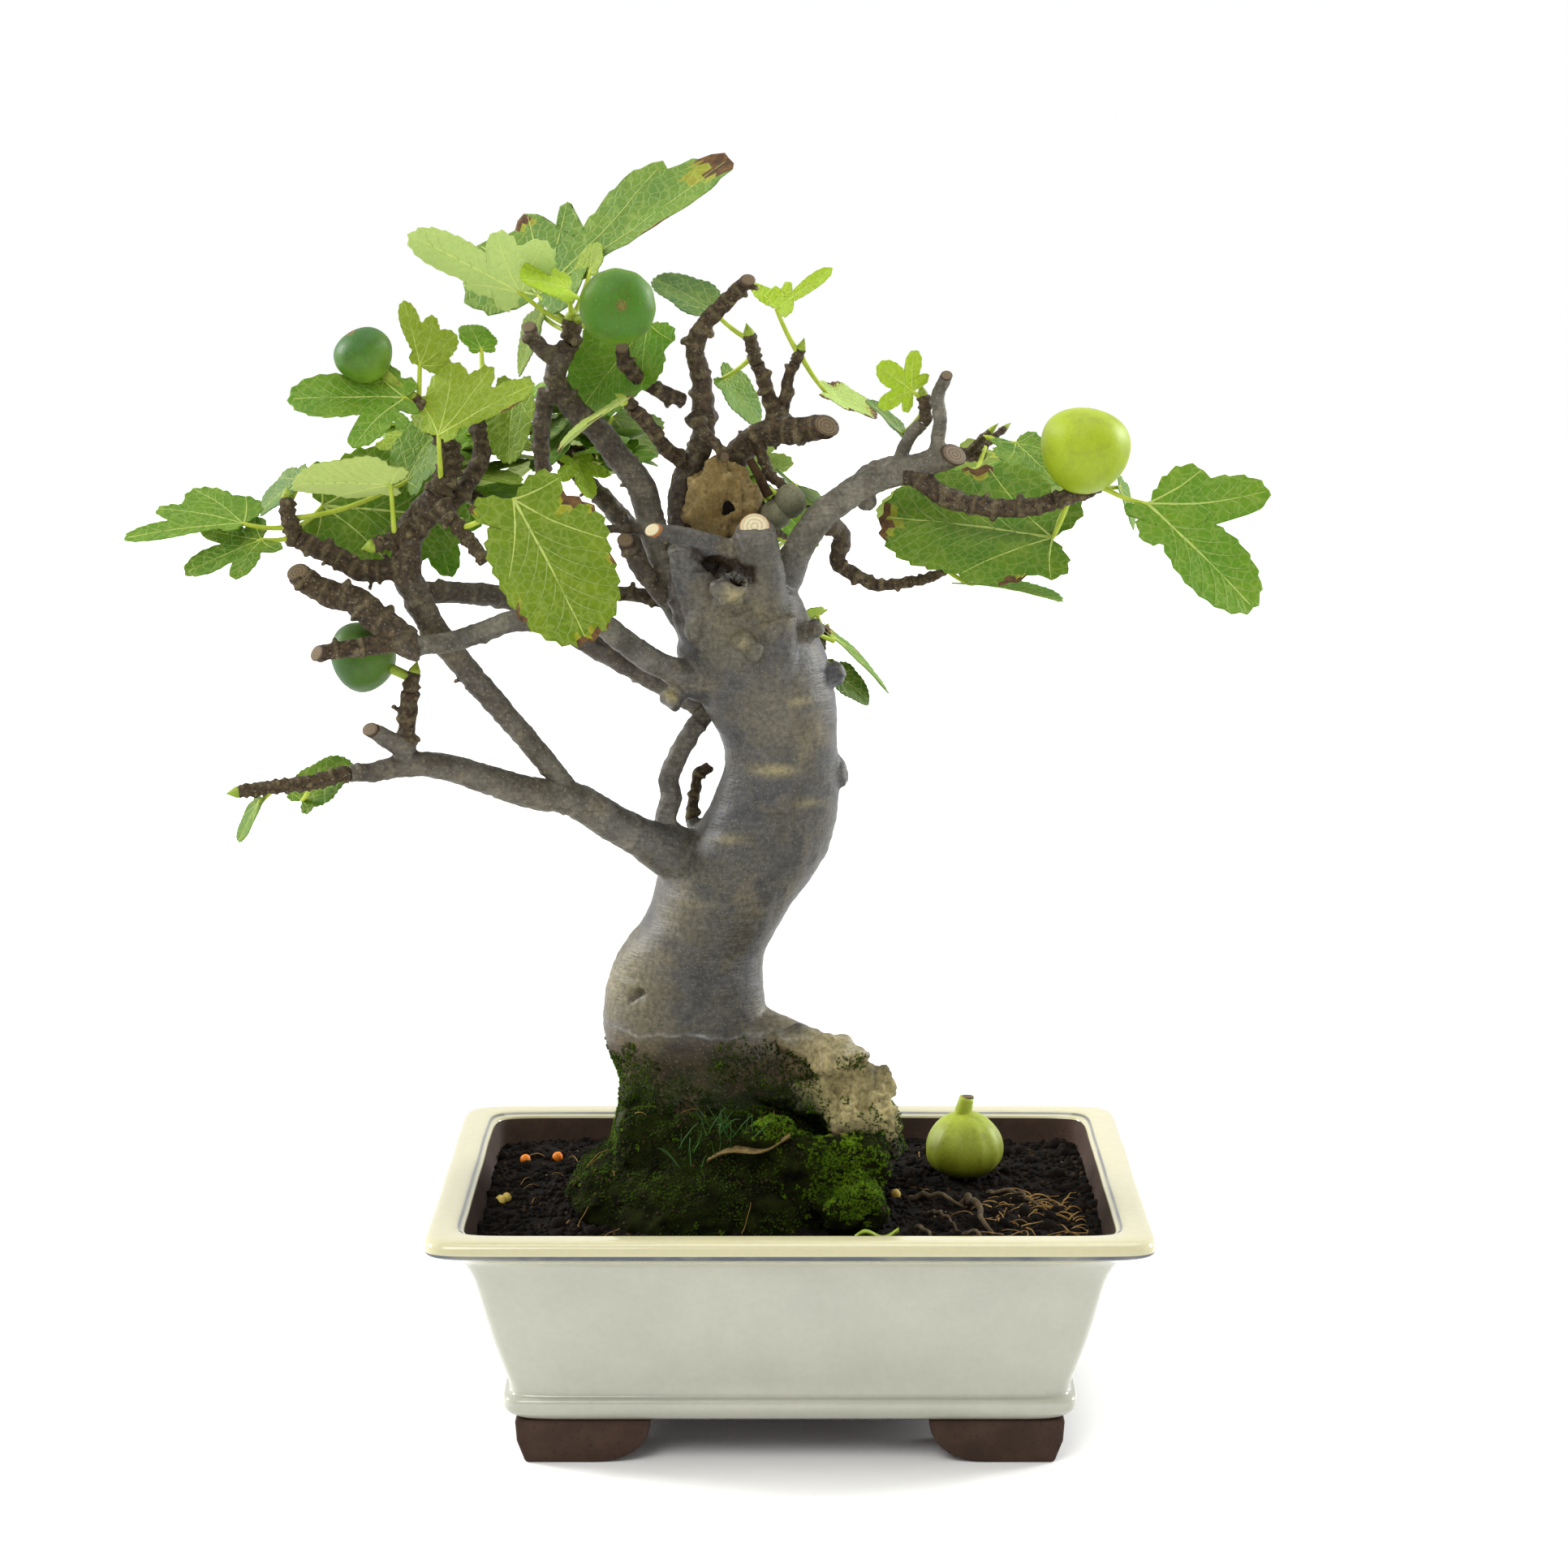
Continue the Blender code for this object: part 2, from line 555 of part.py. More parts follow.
def make_foot(side, front):
    """A bracket foot under a corner: its inner end curves up to the pot."""
    outline = [(0, FOOT_HEIGHT - GAP), (0.8, 7), (5, 0), (FOOT_SOLE, 0)]
    for step in range(1, 7):
        t = step / 6
        outline.append(
            (FOOT_SOLE + (FOOT_LENGTH - FOOT_SOLE) * math.sin(t * math.pi / 2),
             (FOOT_HEIGHT - GAP) * (1 - math.cos(t * math.pi / 2)) ** 1.2)
        )
    data = bpy.data.curves.new("foot", "CURVE")
    data.dimensions = "2D"
    data.fill_mode = "BOTH"
    data.extrude = FOOT_DEPTH / 2 * MM
    spline = data.splines.new("POLY")
    spline.points.add(len(outline) - 1)
    for point, (x, z) in zip(spline.points, outline):
        point.co = (x * MM, z * MM, 0, 1)
    spline.use_cyclic_u = True
    curve = link(bpy.data.objects.new("foot", data))
    made = link(bpy.data.objects.new("foot", evaluated_mesh(curve)))
    drop(curve)
    half = POT_OUTSIDE[0][1] - FOOT_INSET
    turn = Matrix(((-side, 0, 0), (0, 0, front), (0, 1, 0))).to_4x4()
    place = Vector((side * half, front * (half - POT_NARROWER - FOOT_DEPTH / 2), 0)) * MM
    made.data.transform(Matrix.Translation(place) @ turn)
    form = bmesh.new()
    form.from_mesh(made.data)
    bmesh.ops.remove_doubles(form, verts=form.verts, dist=MM * 0.01)
    bmesh.ops.recalc_face_normals(form, faces=form.faces)
    form.to_mesh(made.data)
    form.free()
    return made


def make_soil():
    """The soil that fills the pot to a flat top."""
    (top, wide), (floor, narrow) = POT_INSIDE[2:]
    slope = (wide - narrow) / (top - floor)
    low, high = floor + GAP, SOIL_TOP
    return stack([squared_ring(narrow + slope * (z - floor) - 1.5 * GAP, z) for z in (low, high)])


def trunk_rings(grow=0.0):
    """The trunk's rings, smoothed between the measured ones, each with a slow ripple."""
    rows = smooth([Vector((z, x, y)) for z, x, y, _, _ in TRUNK], 2)
    sizes = smooth([Vector((a, b, 0)) for _, _, _, a, b in TRUNK], 2)
    rings = []
    for row, size in zip(rows, sizes):
        z, x, y = row
        ring = []
        for i in range(TRUNK_SIDES):
            angle = i * math.tau / TRUNK_SIDES
            ripple = 1 + 0.03 * math.sin(3 * angle + z / 21) + 0.02 * math.sin(2 * angle - z / 13)
            ring.append(
                Vector((
                    x + (size.x * ripple + grow) * math.cos(angle),
                    y + (size.y * ripple + grow) * math.sin(angle),
                    z,
                )) * MM
            )
        rings.append(ring)
    return rings


def make_trunk(grow=0.0):
    """The trunk with its surface roots, cut flat at the soil."""
    trunk = stack(trunk_rings(grow))
    roots = []
    for start, legs, radii in ROOTS:
        line = smooth(walk(start, legs), 2)
        line[-1] += (line[-1] - line[-2]).normalized() * grow
        roots.append(tube(line, taper(radii, len(line), grow), 8))
    combine(trunk, roots, "UNION")
    below = (SOIL_TOP + GAP - grow) * MM - TRUNK_CUTTER / 2
    bpy.ops.mesh.primitive_cube_add(size=TRUNK_CUTTER, location=(0, 0, below))
    return combine(trunk, [bpy.context.object], "DIFFERENCE")


def make_moss(trunk_grown):
    """The moss mound round the foot of the trunk, with the trunk cut out of it."""
    rings = []
    for level in range(MOSS_LEVELS + 1):
        t = level / MOSS_LEVELS
        shrink = math.cos(t * math.pi / 2 * 0.82) ** 0.8
        ring = []
        for i in range(MOSS_SIDES):
            angle = i * math.tau / MOSS_SIDES
            ripple = 1 + (0.07 * math.sin(3 * angle + 1) + 0.05 * math.sin(5 * angle)) * (1 - 0.5 * t)
            ring.append(
                Vector((
                    MOSS_PLACE[0] + MOSS_RADII[0] * shrink * ripple * math.cos(angle),
                    MOSS_PLACE[1] + MOSS_RADII[1] * shrink * ripple * math.sin(angle),
                    SOIL_TOP + GAP + MOSS_HEIGHT * t,
                )) * MM
            )
        rings.append(ring)
    return combine(stack(rings), [trunk_grown], "DIFFERENCE")


def line_of(start, legs, tips, steps):
    """The line of a limb or stem. From a limb's tip it sets off straight, clear of the cap."""
    if isinstance(start, str):
        tip, way = tips[start]
        first = tip + way * GAP
        return [first, *smooth(walk(first + way * 2, legs), steps)]
    return smooth(walk(start, legs), steps)


def make_limb(limb, tips, grow=0.0):
    """A limb with its stubs fused on. Its tips are noted under its name, and name/number for a stub."""
    line = line_of(limb.start, limb.legs, tips, 2)
    sides = 8 if limb.radii[0] > THICK_LIMB else 6
    pieces = [tube(line, taper(limb.radii, len(line), grow), sides)]
    tips[limb.name] = (line[-1], (line[-1] - line[-2]).normalized())
    for number, (start, legs, radii) in enumerate(limb.stubs):
        line = smooth(walk(start, legs), 2)
        pieces.append(tube(line, taper(radii, len(line), grow), 6))
        tips[f"{limb.name}/{number}"] = (line[-1], (line[-1] - line[-2]).normalized())
    return combine(pieces[0], pieces[1:], "UNION")


def reach(form, angle):
    """How far a leaf's edge lies from its stalk at an angle, as a share of its length."""
    return max(
        far * math.cos(math.radians(min(abs(angle - at) / spread * 90, 90))) ** BLUNTNESS
        for at, far, spread in form
    )


def edge_angles(form, apart):
    """The angles at which a leaf's edge has points: each lobe's own, then those between them."""
    angles = [at for at, _, _ in form]
    for share in EDGE_SHARES:
        for at, _, spread in form:
            angle = at + spread * share
            if all(abs(angle - other) > apart for other in angles):
                angles.append(angle)
    return sorted(angles)


def blade_frame(start, blade, roll):
    """The matrix of a blade: X along its midrib, Z out of its upper face."""
    length, bearing, rise = blade
    axis = heading(bearing, rise)
    up = (Vector((0, 0, 1)) - axis * axis.z).normalized()
    normal = Matrix.Rotation(math.radians(roll), 3, axis) @ up
    turn = Matrix((axis, normal.cross(axis), normal)).transposed().to_4x4()
    return Matrix.Translation(start * MM) @ turn @ Matrix.Scale(length * MM, 4)


def make_blade(start, leaf):
    """A leaf's blade: a fan of faces out to its lobes, folded along the midrib, with a thickness."""
    edge = [(0.0, 0.0)]
    for angle in edge_angles(leaf.form, leaf.apart):
        far, way = reach(leaf.form, angle), math.radians(angle)
        edge.append((far * math.cos(way), far * math.sin(way) * leaf.breadth))
    form = bmesh.new()
    ring = [form.verts.new((x, y, LEAF_FOLD * abs(y) + LEAF_ARCH * x * (1 - x))) for x, y in edge]
    middle = form.verts.new((LEAF_MIDDLE, 0, LEAF_ARCH * LEAF_MIDDLE * (1 - LEAF_MIDDLE)))
    for i in range(len(ring)):
        form.faces.new((middle, ring[i - 1], ring[i]))
    made = mesh_object(form)
    made.data.transform(blade_frame(start, leaf.blade, leaf.roll))
    wall = made.modifiers.new("thickness", "SOLIDIFY")
    wall.thickness = LEAF_THICKNESS * MM
    wall.offset = 0
    mesh = evaluated_mesh(made)
    drop(made)
    return link(bpy.data.objects.new("blade", mesh))


def make_leaf(leaf, stem):
    """A leaf as two solids, its petiole and its blade, the petiole run on into the blade."""
    root = along(stem, leaf.at)
    base = root + heading(*leaf.petiole[1:]) * leaf.petiole[0]
    petiole = tube([root, base + heading(*leaf.blade[1:]) * PETIOLE_SUNK], PETIOLE_RADII, 4)
    return [petiole, make_blade(base, leaf)]


def turned_fig(width, height, middle, axis):
    """A fig turned about its axis: its stalk end first, its eye at the far end."""
    profile = [(0, 0.5)]
    for step in range(1, FIG_RINGS):
        angle = math.pi * step / FIG_RINGS
        pear = 1 - 0.16 * math.cos(angle)
        profile.append((math.sin(angle) * 0.5 * pear, math.cos(angle) * 0.5))
    profile.append((0, -0.5))
    form = bmesh.new()
    verts = [form.verts.new((x * width * MM, 0, z * height * MM)) for x, z in profile]
    for a, b in zip(verts, verts[1:]):
        form.edges.new((a, b))
    made = mesh_object(form)
    turn = made.modifiers.new("turn", "SCREW")
    turn.steps = turn.render_steps = FIG_SIDES
    turn.use_merge_vertices = True
    turn.merge_threshold = MM * 0.01
    turn.use_normal_calculate = True
    mesh = evaluated_mesh(made)
    drop(made)
    form = bmesh.new()
    form.from_mesh(mesh)
    bmesh.ops.remove_doubles(form, verts=form.verts, dist=MM * 0.01)
    bmesh.ops.recalc_face_normals(form, faces=form.faces)
    form.to_mesh(mesh)
    form.free()
    mesh.transform(Matrix.Translation(middle * MM) @ axis.to_track_quat("Z", "Y").to_matrix().to_4x4())
    return link(bpy.data.objects.new("fig", mesh))


def make_fig(fig, stem):
    """A fig on its stalk, as two solids."""
    root = along(stem, fig.at)
    middle = root + heading(*fig.stalk[1:]) * fig.stalk[0]
    away = heading(*fig.axis)
    stalk = tube([root, middle], FIG_STALK_RADII, 4)
    return [stalk, turned_fig(fig.width, fig.height, middle, -away)]


def touches(piece, trees):
    """Whether a piece's faces cross any of the search trees' faces."""
    own = tree_of(piece)
    return any(own.overlap(tree) for tree in trees)


def inside(piece, space):
    """Whether a piece lies within an ellipsoid, given as centre and radii in millimetres."""
    centre, radii = space
    return all(
        sum(((v.co[i] / MM - centre[i]) / radii[i]) ** 2 for i in range(3)) <= 1 for v in piece.data.vertices
    )


def seeded_leaves(mass, stem, dice):
    """Twigs and leaves that the rule offers, as (twig solid or None, leaf, the line it stands on)."""
    lines = [stem]
    twigs = []
    for number in range(TWIGS):
        root = along(stem, 0.25 + 0.75 * number / TWIGS)
        way = heading(dice.uniform(-20, 200), dice.uniform(-35, 60))
        tip = root + way * dice.uniform(*TWIG_LENGTH)
        twigs.append(tube([root, tip], TWIG_RADII, 4))
        lines.append([root, tip])
    offers = []
    for _ in range(TRIES):
        bearing = dice.uniform(0, 360)
        offers.append((
            dice.choice(lines),
            Leaf(
                dice.uniform(0.3, 1.0),
                (dice.uniform(*MORE_PETIOLE), bearing, dice.uniform(-25, 60)),
                (dice.uniform(*MORE_BLADE), bearing + dice.uniform(-50, 50), dice.uniform(*MORE_RISE)),
                dice.uniform(-30, 30),
                dice.choice((OVAL, OVAL, LOBED, MITTEN)),
                dice.uniform(0.75, 1.0),
                MORE_APART,
            ),
        ))
    return twigs, offers


def make_mass(mass, tips, trees, dice):
    """A mass of foliage: stem, leaves and figs fused. What would touch a limb or mass is skipped."""
    line = line_of(mass.start, mass.legs, tips, 1)
    pieces = [tube(line, taper(mass.radii, len(line)), 6)]
    skipped = []
    for leaf in mass.leaves:
        made = make_leaf(leaf, line)
        if any(touches(piece, trees) for piece in made):
            skipped.append(mass.leaves.index(leaf))
            for piece in made:
                drop(piece)
        else:
            pieces += made
    for fig in mass.figs:
        made = make_fig(fig, line)
        if any(touches(piece, trees) for piece in made):
            skipped.append("fig")
        pieces += made
    grown = 0
    if mass.space:
        twigs, offers = seeded_leaves(mass, line, dice)
        kept = []
        for twig in twigs:
            if touches(twig, trees) or not inside(twig, mass.space):
                drop(twig)
            else:
                kept.append(twig)
        pieces += kept
        own = [tree_of(piece) for piece in pieces]
        for stem, leaf in offers:
            made = make_leaf(leaf, stem)
            blade = made[1]
            fits = inside(blade, mass.space) and not any(touches(piece, trees) for piece in made)
            if grown < mass.more and fits and not touches(blade, own):
                pieces += made
                own.append(tree_of(blade))
                grown += 1
            else:
                for piece in made:
                    drop(piece)
    print(f"{mass.name}: skipped {skipped}, grown {grown}")
    return combine(pieces[0], pieces[1:], "UNION")


def make_fallen_fig():
    """The fig that lies on the soil, its stem upwards."""
    middle = Vector((*FALLEN_FIG, SOIL_TOP + GAP + FALLEN_HEIGHT / 2))
    fig = turned_fig(FALLEN_WIDTH, FALLEN_HEIGHT, middle, Vector((0, 0, 1)))
    stem = tube([middle, middle + Vector((1, 0, FALLEN_STEM))], (3.6, 3.2), 6)
    return combine(fig, [stem], "UNION")


def finish(made, name, finish_of, root, collection):
    """Names a piece, dresses it, and hangs it on the plant's empty."""
    made.name = name
    made.data.name = name
    made.data.materials.clear()
    made.data.materials.append(finish_of)
    made.data.shade_smooth()
    made.data.set_sharp_from_angle(angle=math.radians(40))
    for holder in list(made.users_collection):
        holder.objects.unlink(made)
    collection.objects.link(made)
    made.parent = root


def main():
    """Builds the plant in its pot."""
    clear_scene()
    dice = random.Random(SEED)
    collection = bpy.data.collections.new("common fig bonsai")
    bpy.context.scene.collection.children.link(collection)
    root = bpy.data.objects.new("bonsai", None)
    collection.objects.link(root)
    glaze = material("cream glaze", (0.80, 0.77, 0.64), 0.2)
    clay = material("bare clay", (0.13, 0.07, 0.05), 0.8)
    earth = material("dark soil", (0.03, 0.02, 0.014), 0.95)
    green = material("moss", (0.06, 0.12, 0.015), 0.95)
    bark = material("grey bark", (0.22, 0.20, 0.18), 0.75)
    foliage = material("green leaf", (0.16, 0.33, 0.04), 0.5)
    fruit = material("green fig", (0.35, 0.5, 0.1), 0.45)

    finish(make_pot(), "pot", glaze, root, collection)
    for side_name, side in (("left", -1), ("right", 1)):
        for front_name, front in (("front", -1), ("back", 1)):
            finish(make_foot(side, front), f"foot_{front_name}_{side_name}", clay, root, collection)
    finish(make_soil(), "soil", earth, root, collection)
    trunk = make_trunk()
    finish(trunk, "trunk", bark, root, collection)
    finish(make_moss(make_trunk(GAP)), "moss_mound", green, root, collection)
    finish(make_fallen_fig(), "fallen_fig", fruit, root, collection)

    tips = {}
    grown = [make_trunk(GAP)]
    trees = [tree_of(grown[0])]
    for limb in LIMBS:
        made = carve(make_limb(limb, tips), grown, trees)
        finish(made, limb.name, bark, root, collection)
        grown.append(make_limb(limb, tips, GAP))
        trees.append(tree_of(grown[-1]))
    for mass in MASSES:
        made = carve(make_mass(mass, tips, trees, dice), grown, trees)
        finish(made, mass.name, foliage, root, collection)
        trees.append(tree_of(made))
    for item in grown:
        drop(item)
    root.location = (POT_X * MM, POT_Y * MM, 0)


main()
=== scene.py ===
"""Common fig bonsai in a cream glazed pot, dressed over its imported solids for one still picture.

Sizes in the growth tables are millimetres from the middle of the pot on the ground. A leg of growth
is (length, bearing, rise), with the bearing in degrees from +X seen from above, so that 90 points
away from the viewer, and the rise in degrees above level.
"""

from __future__ import annotations

import logging
import math
import random
from bisect import bisect_left
from dataclasses import dataclass, field
from enum import Enum

import bmesh
import bpy
from mathutils import Matrix, Vector, noise
from mathutils.bvhtree import BVHTree
from mathutils.kdtree import KDTree

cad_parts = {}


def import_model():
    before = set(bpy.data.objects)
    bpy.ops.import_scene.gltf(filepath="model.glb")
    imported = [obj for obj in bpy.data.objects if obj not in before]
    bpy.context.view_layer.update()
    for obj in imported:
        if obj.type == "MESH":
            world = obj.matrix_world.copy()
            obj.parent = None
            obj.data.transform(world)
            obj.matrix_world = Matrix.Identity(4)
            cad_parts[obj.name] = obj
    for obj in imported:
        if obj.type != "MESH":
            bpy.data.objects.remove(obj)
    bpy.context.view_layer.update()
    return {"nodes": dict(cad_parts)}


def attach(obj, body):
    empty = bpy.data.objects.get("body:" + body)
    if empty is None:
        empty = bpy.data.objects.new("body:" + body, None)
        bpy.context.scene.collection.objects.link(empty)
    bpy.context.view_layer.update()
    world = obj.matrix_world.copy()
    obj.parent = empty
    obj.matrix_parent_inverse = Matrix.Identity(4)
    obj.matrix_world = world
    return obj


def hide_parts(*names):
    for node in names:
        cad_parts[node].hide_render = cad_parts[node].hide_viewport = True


log = logging.getLogger("bonsai")

MM = 0.001
GAP = 0.3
SEED = 11
# The middle of the pot, from the middle of the whole plant's box
POT_PLACE = Vector((42.0, -19.0, 0.0))
BODY = "root"

Colour = tuple[float, float, float, float]
Leg = tuple[float, float, float]


def tint(red: int, green: int, blue: int) -> Colour:
    """Turns a display colour into the linear one that shaders take.

    Args:
        red: 0 to 255, as are green and blue.
        green: see red.
        blue: see red.

    Returns:
        The colour with an alpha of 1.
    """
    shares = [value / 255 for value in (red, green, blue)]
    linear = [s / 12.92 if s <= 0.04045 else ((s + 0.055) / 1.055) ** 2.4 for s in shares]
    return (*linear, 1.0)


def toward(first: Colour, second: Colour, share: float) -> Colour:
    """A colour at a share of the way from the first to the second."""
    return tuple(a + (b - a) * share for a, b in zip(first, second))


# Leaf forms: lobes as (angle from the midrib, reach, spread), the reach as a share of the length
OVAL = ((0, 1.0, 66), (46, 0.66, 50), (-46, 0.66, 50), (98, 0.38, 42), (-98, 0.38, 42))
LOBED = ((0, 1.0, 33), (48, 0.8, 30), (-48, 0.8, 30), (102, 0.42, 42), (-102, 0.42, 42))
MITTEN = ((0, 1.0, 40), (56, 0.86, 22), (-52, 0.5, 48), (110, 0.25, 40), (-110, 0.25, 40))
STRAP = (
    (1, 1.0, 15), (12, 0.77, 15), (40, 0.45, 9), (64, 0.38, 36), (102, 0.37, 42), (132, 0.36, 40),
    (-60, 0.2, 60),
)
SIDED = ((0, 1.0, 24), (30, 0.8, 26), (62, 0.76, 40), (98, 0.5, 44), (-40, 0.22, 50))
HALF = ((0, 1.0, 26), (40, 0.56, 34), (84, 0.5, 44), (-24, 0.45, 34), (-70, 0.26, 50))
EGG = ((0, 1.0, 60), (42, 0.64, 46), (-34, 0.6, 42), (92, 0.36, 42), (-88, 0.34, 40))
CUP = ((0, 1.0, 18), (34, 0.42, 30), (74, 0.34, 30), (112, 0.62, 20), (-40, 0.34, 50))
GLOVE = ((0, 1.0, 40), (54, 0.86, 26), (80, 0.5, 34), (-50, 0.34, 40), (-110, 0.2, 40))


@dataclass(frozen=True)
class Limb:
    """A bough or twig that starts at a place, or at the tip of the limb it names."""

    name: str
    start: tuple | str
    legs: tuple
    radii: tuple
    stubs: tuple = ()


@dataclass(frozen=True)
class Leaf:
    """A leaf on a stem: where along it, petiole, blade, roll, form, breadth (mirrored if negative), spacing."""

    at: float
    petiole: Leg
    blade: Leg
    roll: float
    form: tuple = OVAL
    breadth: float = 1.0
    apart: float = 8.0


@dataclass(frozen=True)
class Fig:
    """A fig on a stem: where along it, the leg to its middle, its width, height and eye's direction."""

    at: float
    stalk: Leg
    width: float
    height: float
    axis: tuple = (0, 90)


@dataclass(frozen=True)
class Mass:
    """Foliage on one stem. One with a space also has seeded twigs and leaves inside it."""

    name: str
    start: tuple | str
    legs: tuple
    radii: tuple
    leaves: tuple = ()
    figs: tuple = ()
    space: tuple = ()
    more: int = 0

LIMBS = (
    Limb("head_right_prong", (-21, -8, 391), ((28, -51, 77), (21, -89, 79), (17, -94, 72)), (11.3, 9.6)),
    Limb(
        "head_left_prong", (-38, -6, 393), ((27, -155, 69), (21, -147, 80), (9, -157, 70)), (10.5, 8.6),
        stubs=(((-26, -15, 440), ((17, -160, 24), (15, -172, 18), (13, -162, 14)), (7.6, 6.8)),),
    ),
    Limb(
        "bough_upper_left", (-42, 4, 392),
        ((40, 154, 62), (21, 173, 67), (28, 180, 74), (18, -170, 51), (16, -168, 54), (18, -167, 42),
         (17, -166, 62), (18, 0, 67)), (8.1, 5.2),
        stubs=(
            ((-121, 6, 521), ((22, 110, -72), (24, 100, -85)), (4.4, 4.1)),
            ((-112, 2, 534), ((16, 165, 35), (9, 170, 65)), (4.6, 3.8)),
            ((-61, 14, 447), ((14, -170, 14), (24, -175, 3), (19, -174, 10)), (2.4, 2.0)),
        ),
    ),
    Limb(
        "bough_centre", (-32, 18, 401),
        ((40, 151, 58), (33, 153, 82), (29, -11, 68), (29, -93, 82), (19, -127, 75), (14, -33, 59),
         (30, -22, 44)), (8.1, 4.4),
        stubs=(
            ((-53, 22, 514), ((19, -160, 24), (16, -160, 41), (9, -139, 71)), (4.0, 3.6)),
            ((-52, 28, 482), ((17, -133, 32), (16, -134, 46), (13, -152, 48)), (4.1, 3.2)),
            ((-50, 22, 507), ((17, -41, -38), (12, -26, -48)), (3.6, 2.8)),
        ),
    ),
    Limb(
        "bough_back_centre", (-27, 14, 415),
        ((39, 103, 62), (24, 111, 85), (19, -13, 62), (15, -13, 32), (13, -18, 3), (18, -24, 11)),
        (7.3, 6.3),
    ),
    Limb(
        "centre_right_twig", (-7, 32, 499), ((20, -154, 77), (15, -159, 67)), (4.1, 3.5),
        stubs=(((-7, 32, 503), ((10, -30, 60), (15, -60, 74), (8, -17, 64)), (3.2, 2.8)),),
    ),
    Limb(
        "bough_right", (-9, 4, 418),
        ((41, -11, 60), (20, -16, 43), (19, -14, 32), (19, -13, 18), (23, -8, 19)), (7.7, 6.4),
        stubs=(
            ((71, -13, 487), ((20, -21, 82), (12, 180, 84), (11, 0, 68)), (3.6, 3.2)),
            ((50, -9, 479), ((21, 20, 64), (10, 9, 48)), (3.6, 3.2)),
        ),
    ),
    Limb("bough_right_outer", (58, -12, 482), ((22, -19, -31), (19, -12, -14), (21, -8, -2), (15, -4, 14)),
         (5.2, 4.4)),
    Limb("bough_right_low", (16, 4, 457), ((17, 45, -33), (14, 120, -70), (10, 0, -40), (14, -9, -23),
         (19, -18, 7)), (5.0, 2.7)),
    Limb(
        "bough_low_left", (-38, 6, 278.5),
        ((29, -158, 26), (30, -157, 29), (28, -155, 32), (22, -158, 12), (24, -159, 20), (26, -156, 19),
         (18, -157, 4), (15, -158, -8), (13, -155, 0)), (11.2, 4.2),
        stubs=(((-184, -56, 349), ((23, -166, 32),), (5.5, 5.1)),),
    ),
    Limb("low_left_upright", (-186.5, -55, 351), ((14, 60, 86), (14, 0, 83)), (4.6, 4.3)),
    Limb("bough_left_riser", (-105, -24, 320), ((43, -163, 51), (44, -159, 50), (30, -160, 53),
         (24, -169, 64)), (5.2, 7.2)),
    Limb("left_post", "bough_left_riser", ((22, 48, 83), (21, 8, 52)), (7.2, 6.9)),
    Limb(
        "bough_front_left", (-36, -4, 372),
        ((23, -145, 25), (20, -154, 26), (19, -153, 36), (16, -153, 34), (23, -157, 3), (18, -161, 5),
         (15, -156, -15), (17, -159, -15), (18, -167, -6)), (6.9, 4.8),
    ),
    Limb("left_fork_low", "bough_front_left", ((22, 174, 37), (13, 168, 40), (12, 170, 12), (12, 170, 25),
         (8, 180, 42)), (7.6, 5.8)),
    Limb("left_spur", (-190, -68, 406), ((12, -150, -8), (26, -171, -7)), (5.6, 5.0)),
    Limb("left_fork_high", (-184, -50, 439), ((24, 175, -4), (11, 169, 28), (13, 175, 24), (10, 173, 26)),
         (5.5, 4.7)),
    Limb("left_side_twig", (-170, -47, 466), ((16, -160, -34),), (4.7, 4.2)),
    Limb("front_twig", (-171, -49, 473), ((18, -44, -39),), (4.3, 3.8)),
    Limb("left_top_twig", (-170, -45, 462), ((35, 36, 48), (22, 85, 85)), (4.7, 4.3)),
    Limb("bough_lower_left", (-40, 14, 359),
         ((28, 175, 29), (26, -170, 30), (23, -163, 31), (31, -157, 34), (25, -149, 16), (15, -147, 7),
          (20, -143, 6)), (6.0, 5.4)),
    Limb("head_left_spur", (-48, 6, 400), ((25, 180, 50), (15, -167, 52), (18, -154, 59)), (5.3, 4.4)),
    Limb("left_middle_twig", (-54, 18, 412), ((23, 165, 11), (18, 180, 4), (21, -169, 6), (15, -164, -9)),
         (4.1, 3.2)),
    Limb("front_shoot", (-51.5, 2, 292), ((17, -156, 47), (13, 39, 76), (10, 122, 77), (13, 21, 65),
         (13, 17, 59), (7, 21, 50)), (5.7, 4.8)),
    Limb("dark_shoot", (-44, 10, 292), ((13, 141, 57), (15, 68, 73), (8, 51, 72), (8, 0, 43)), (3.3, 2.9)),
    Limb("bough_back", (-18, 20, 400), ((32, 88, 38), (28, 96, 30), (22, 84, 20)), (7.0, 5.0)),
    Limb("bough_back_right", (0, 20, 356), ((34, 70, 22), (26, 84, 15)), (6.0, 4.2)),
    Limb("bough_back_left", (-34, 24, 380), ((40, 128, 40), (34, 150, 52), (30, 160, 48), (22, 150, 40)),
         (7.0, 4.8)),
    Limb("bough_far_left", (-118, -6, 416), ((34, 128, 30), (30, 120, 42), (24, 140, 30)), (4.6, 4.0)),
    Limb("bough_right_back", (38, -3, 466), ((26, 95, 20), (30, 60, 10), (30, 35, 0)), (5.2, 4.2)),
)

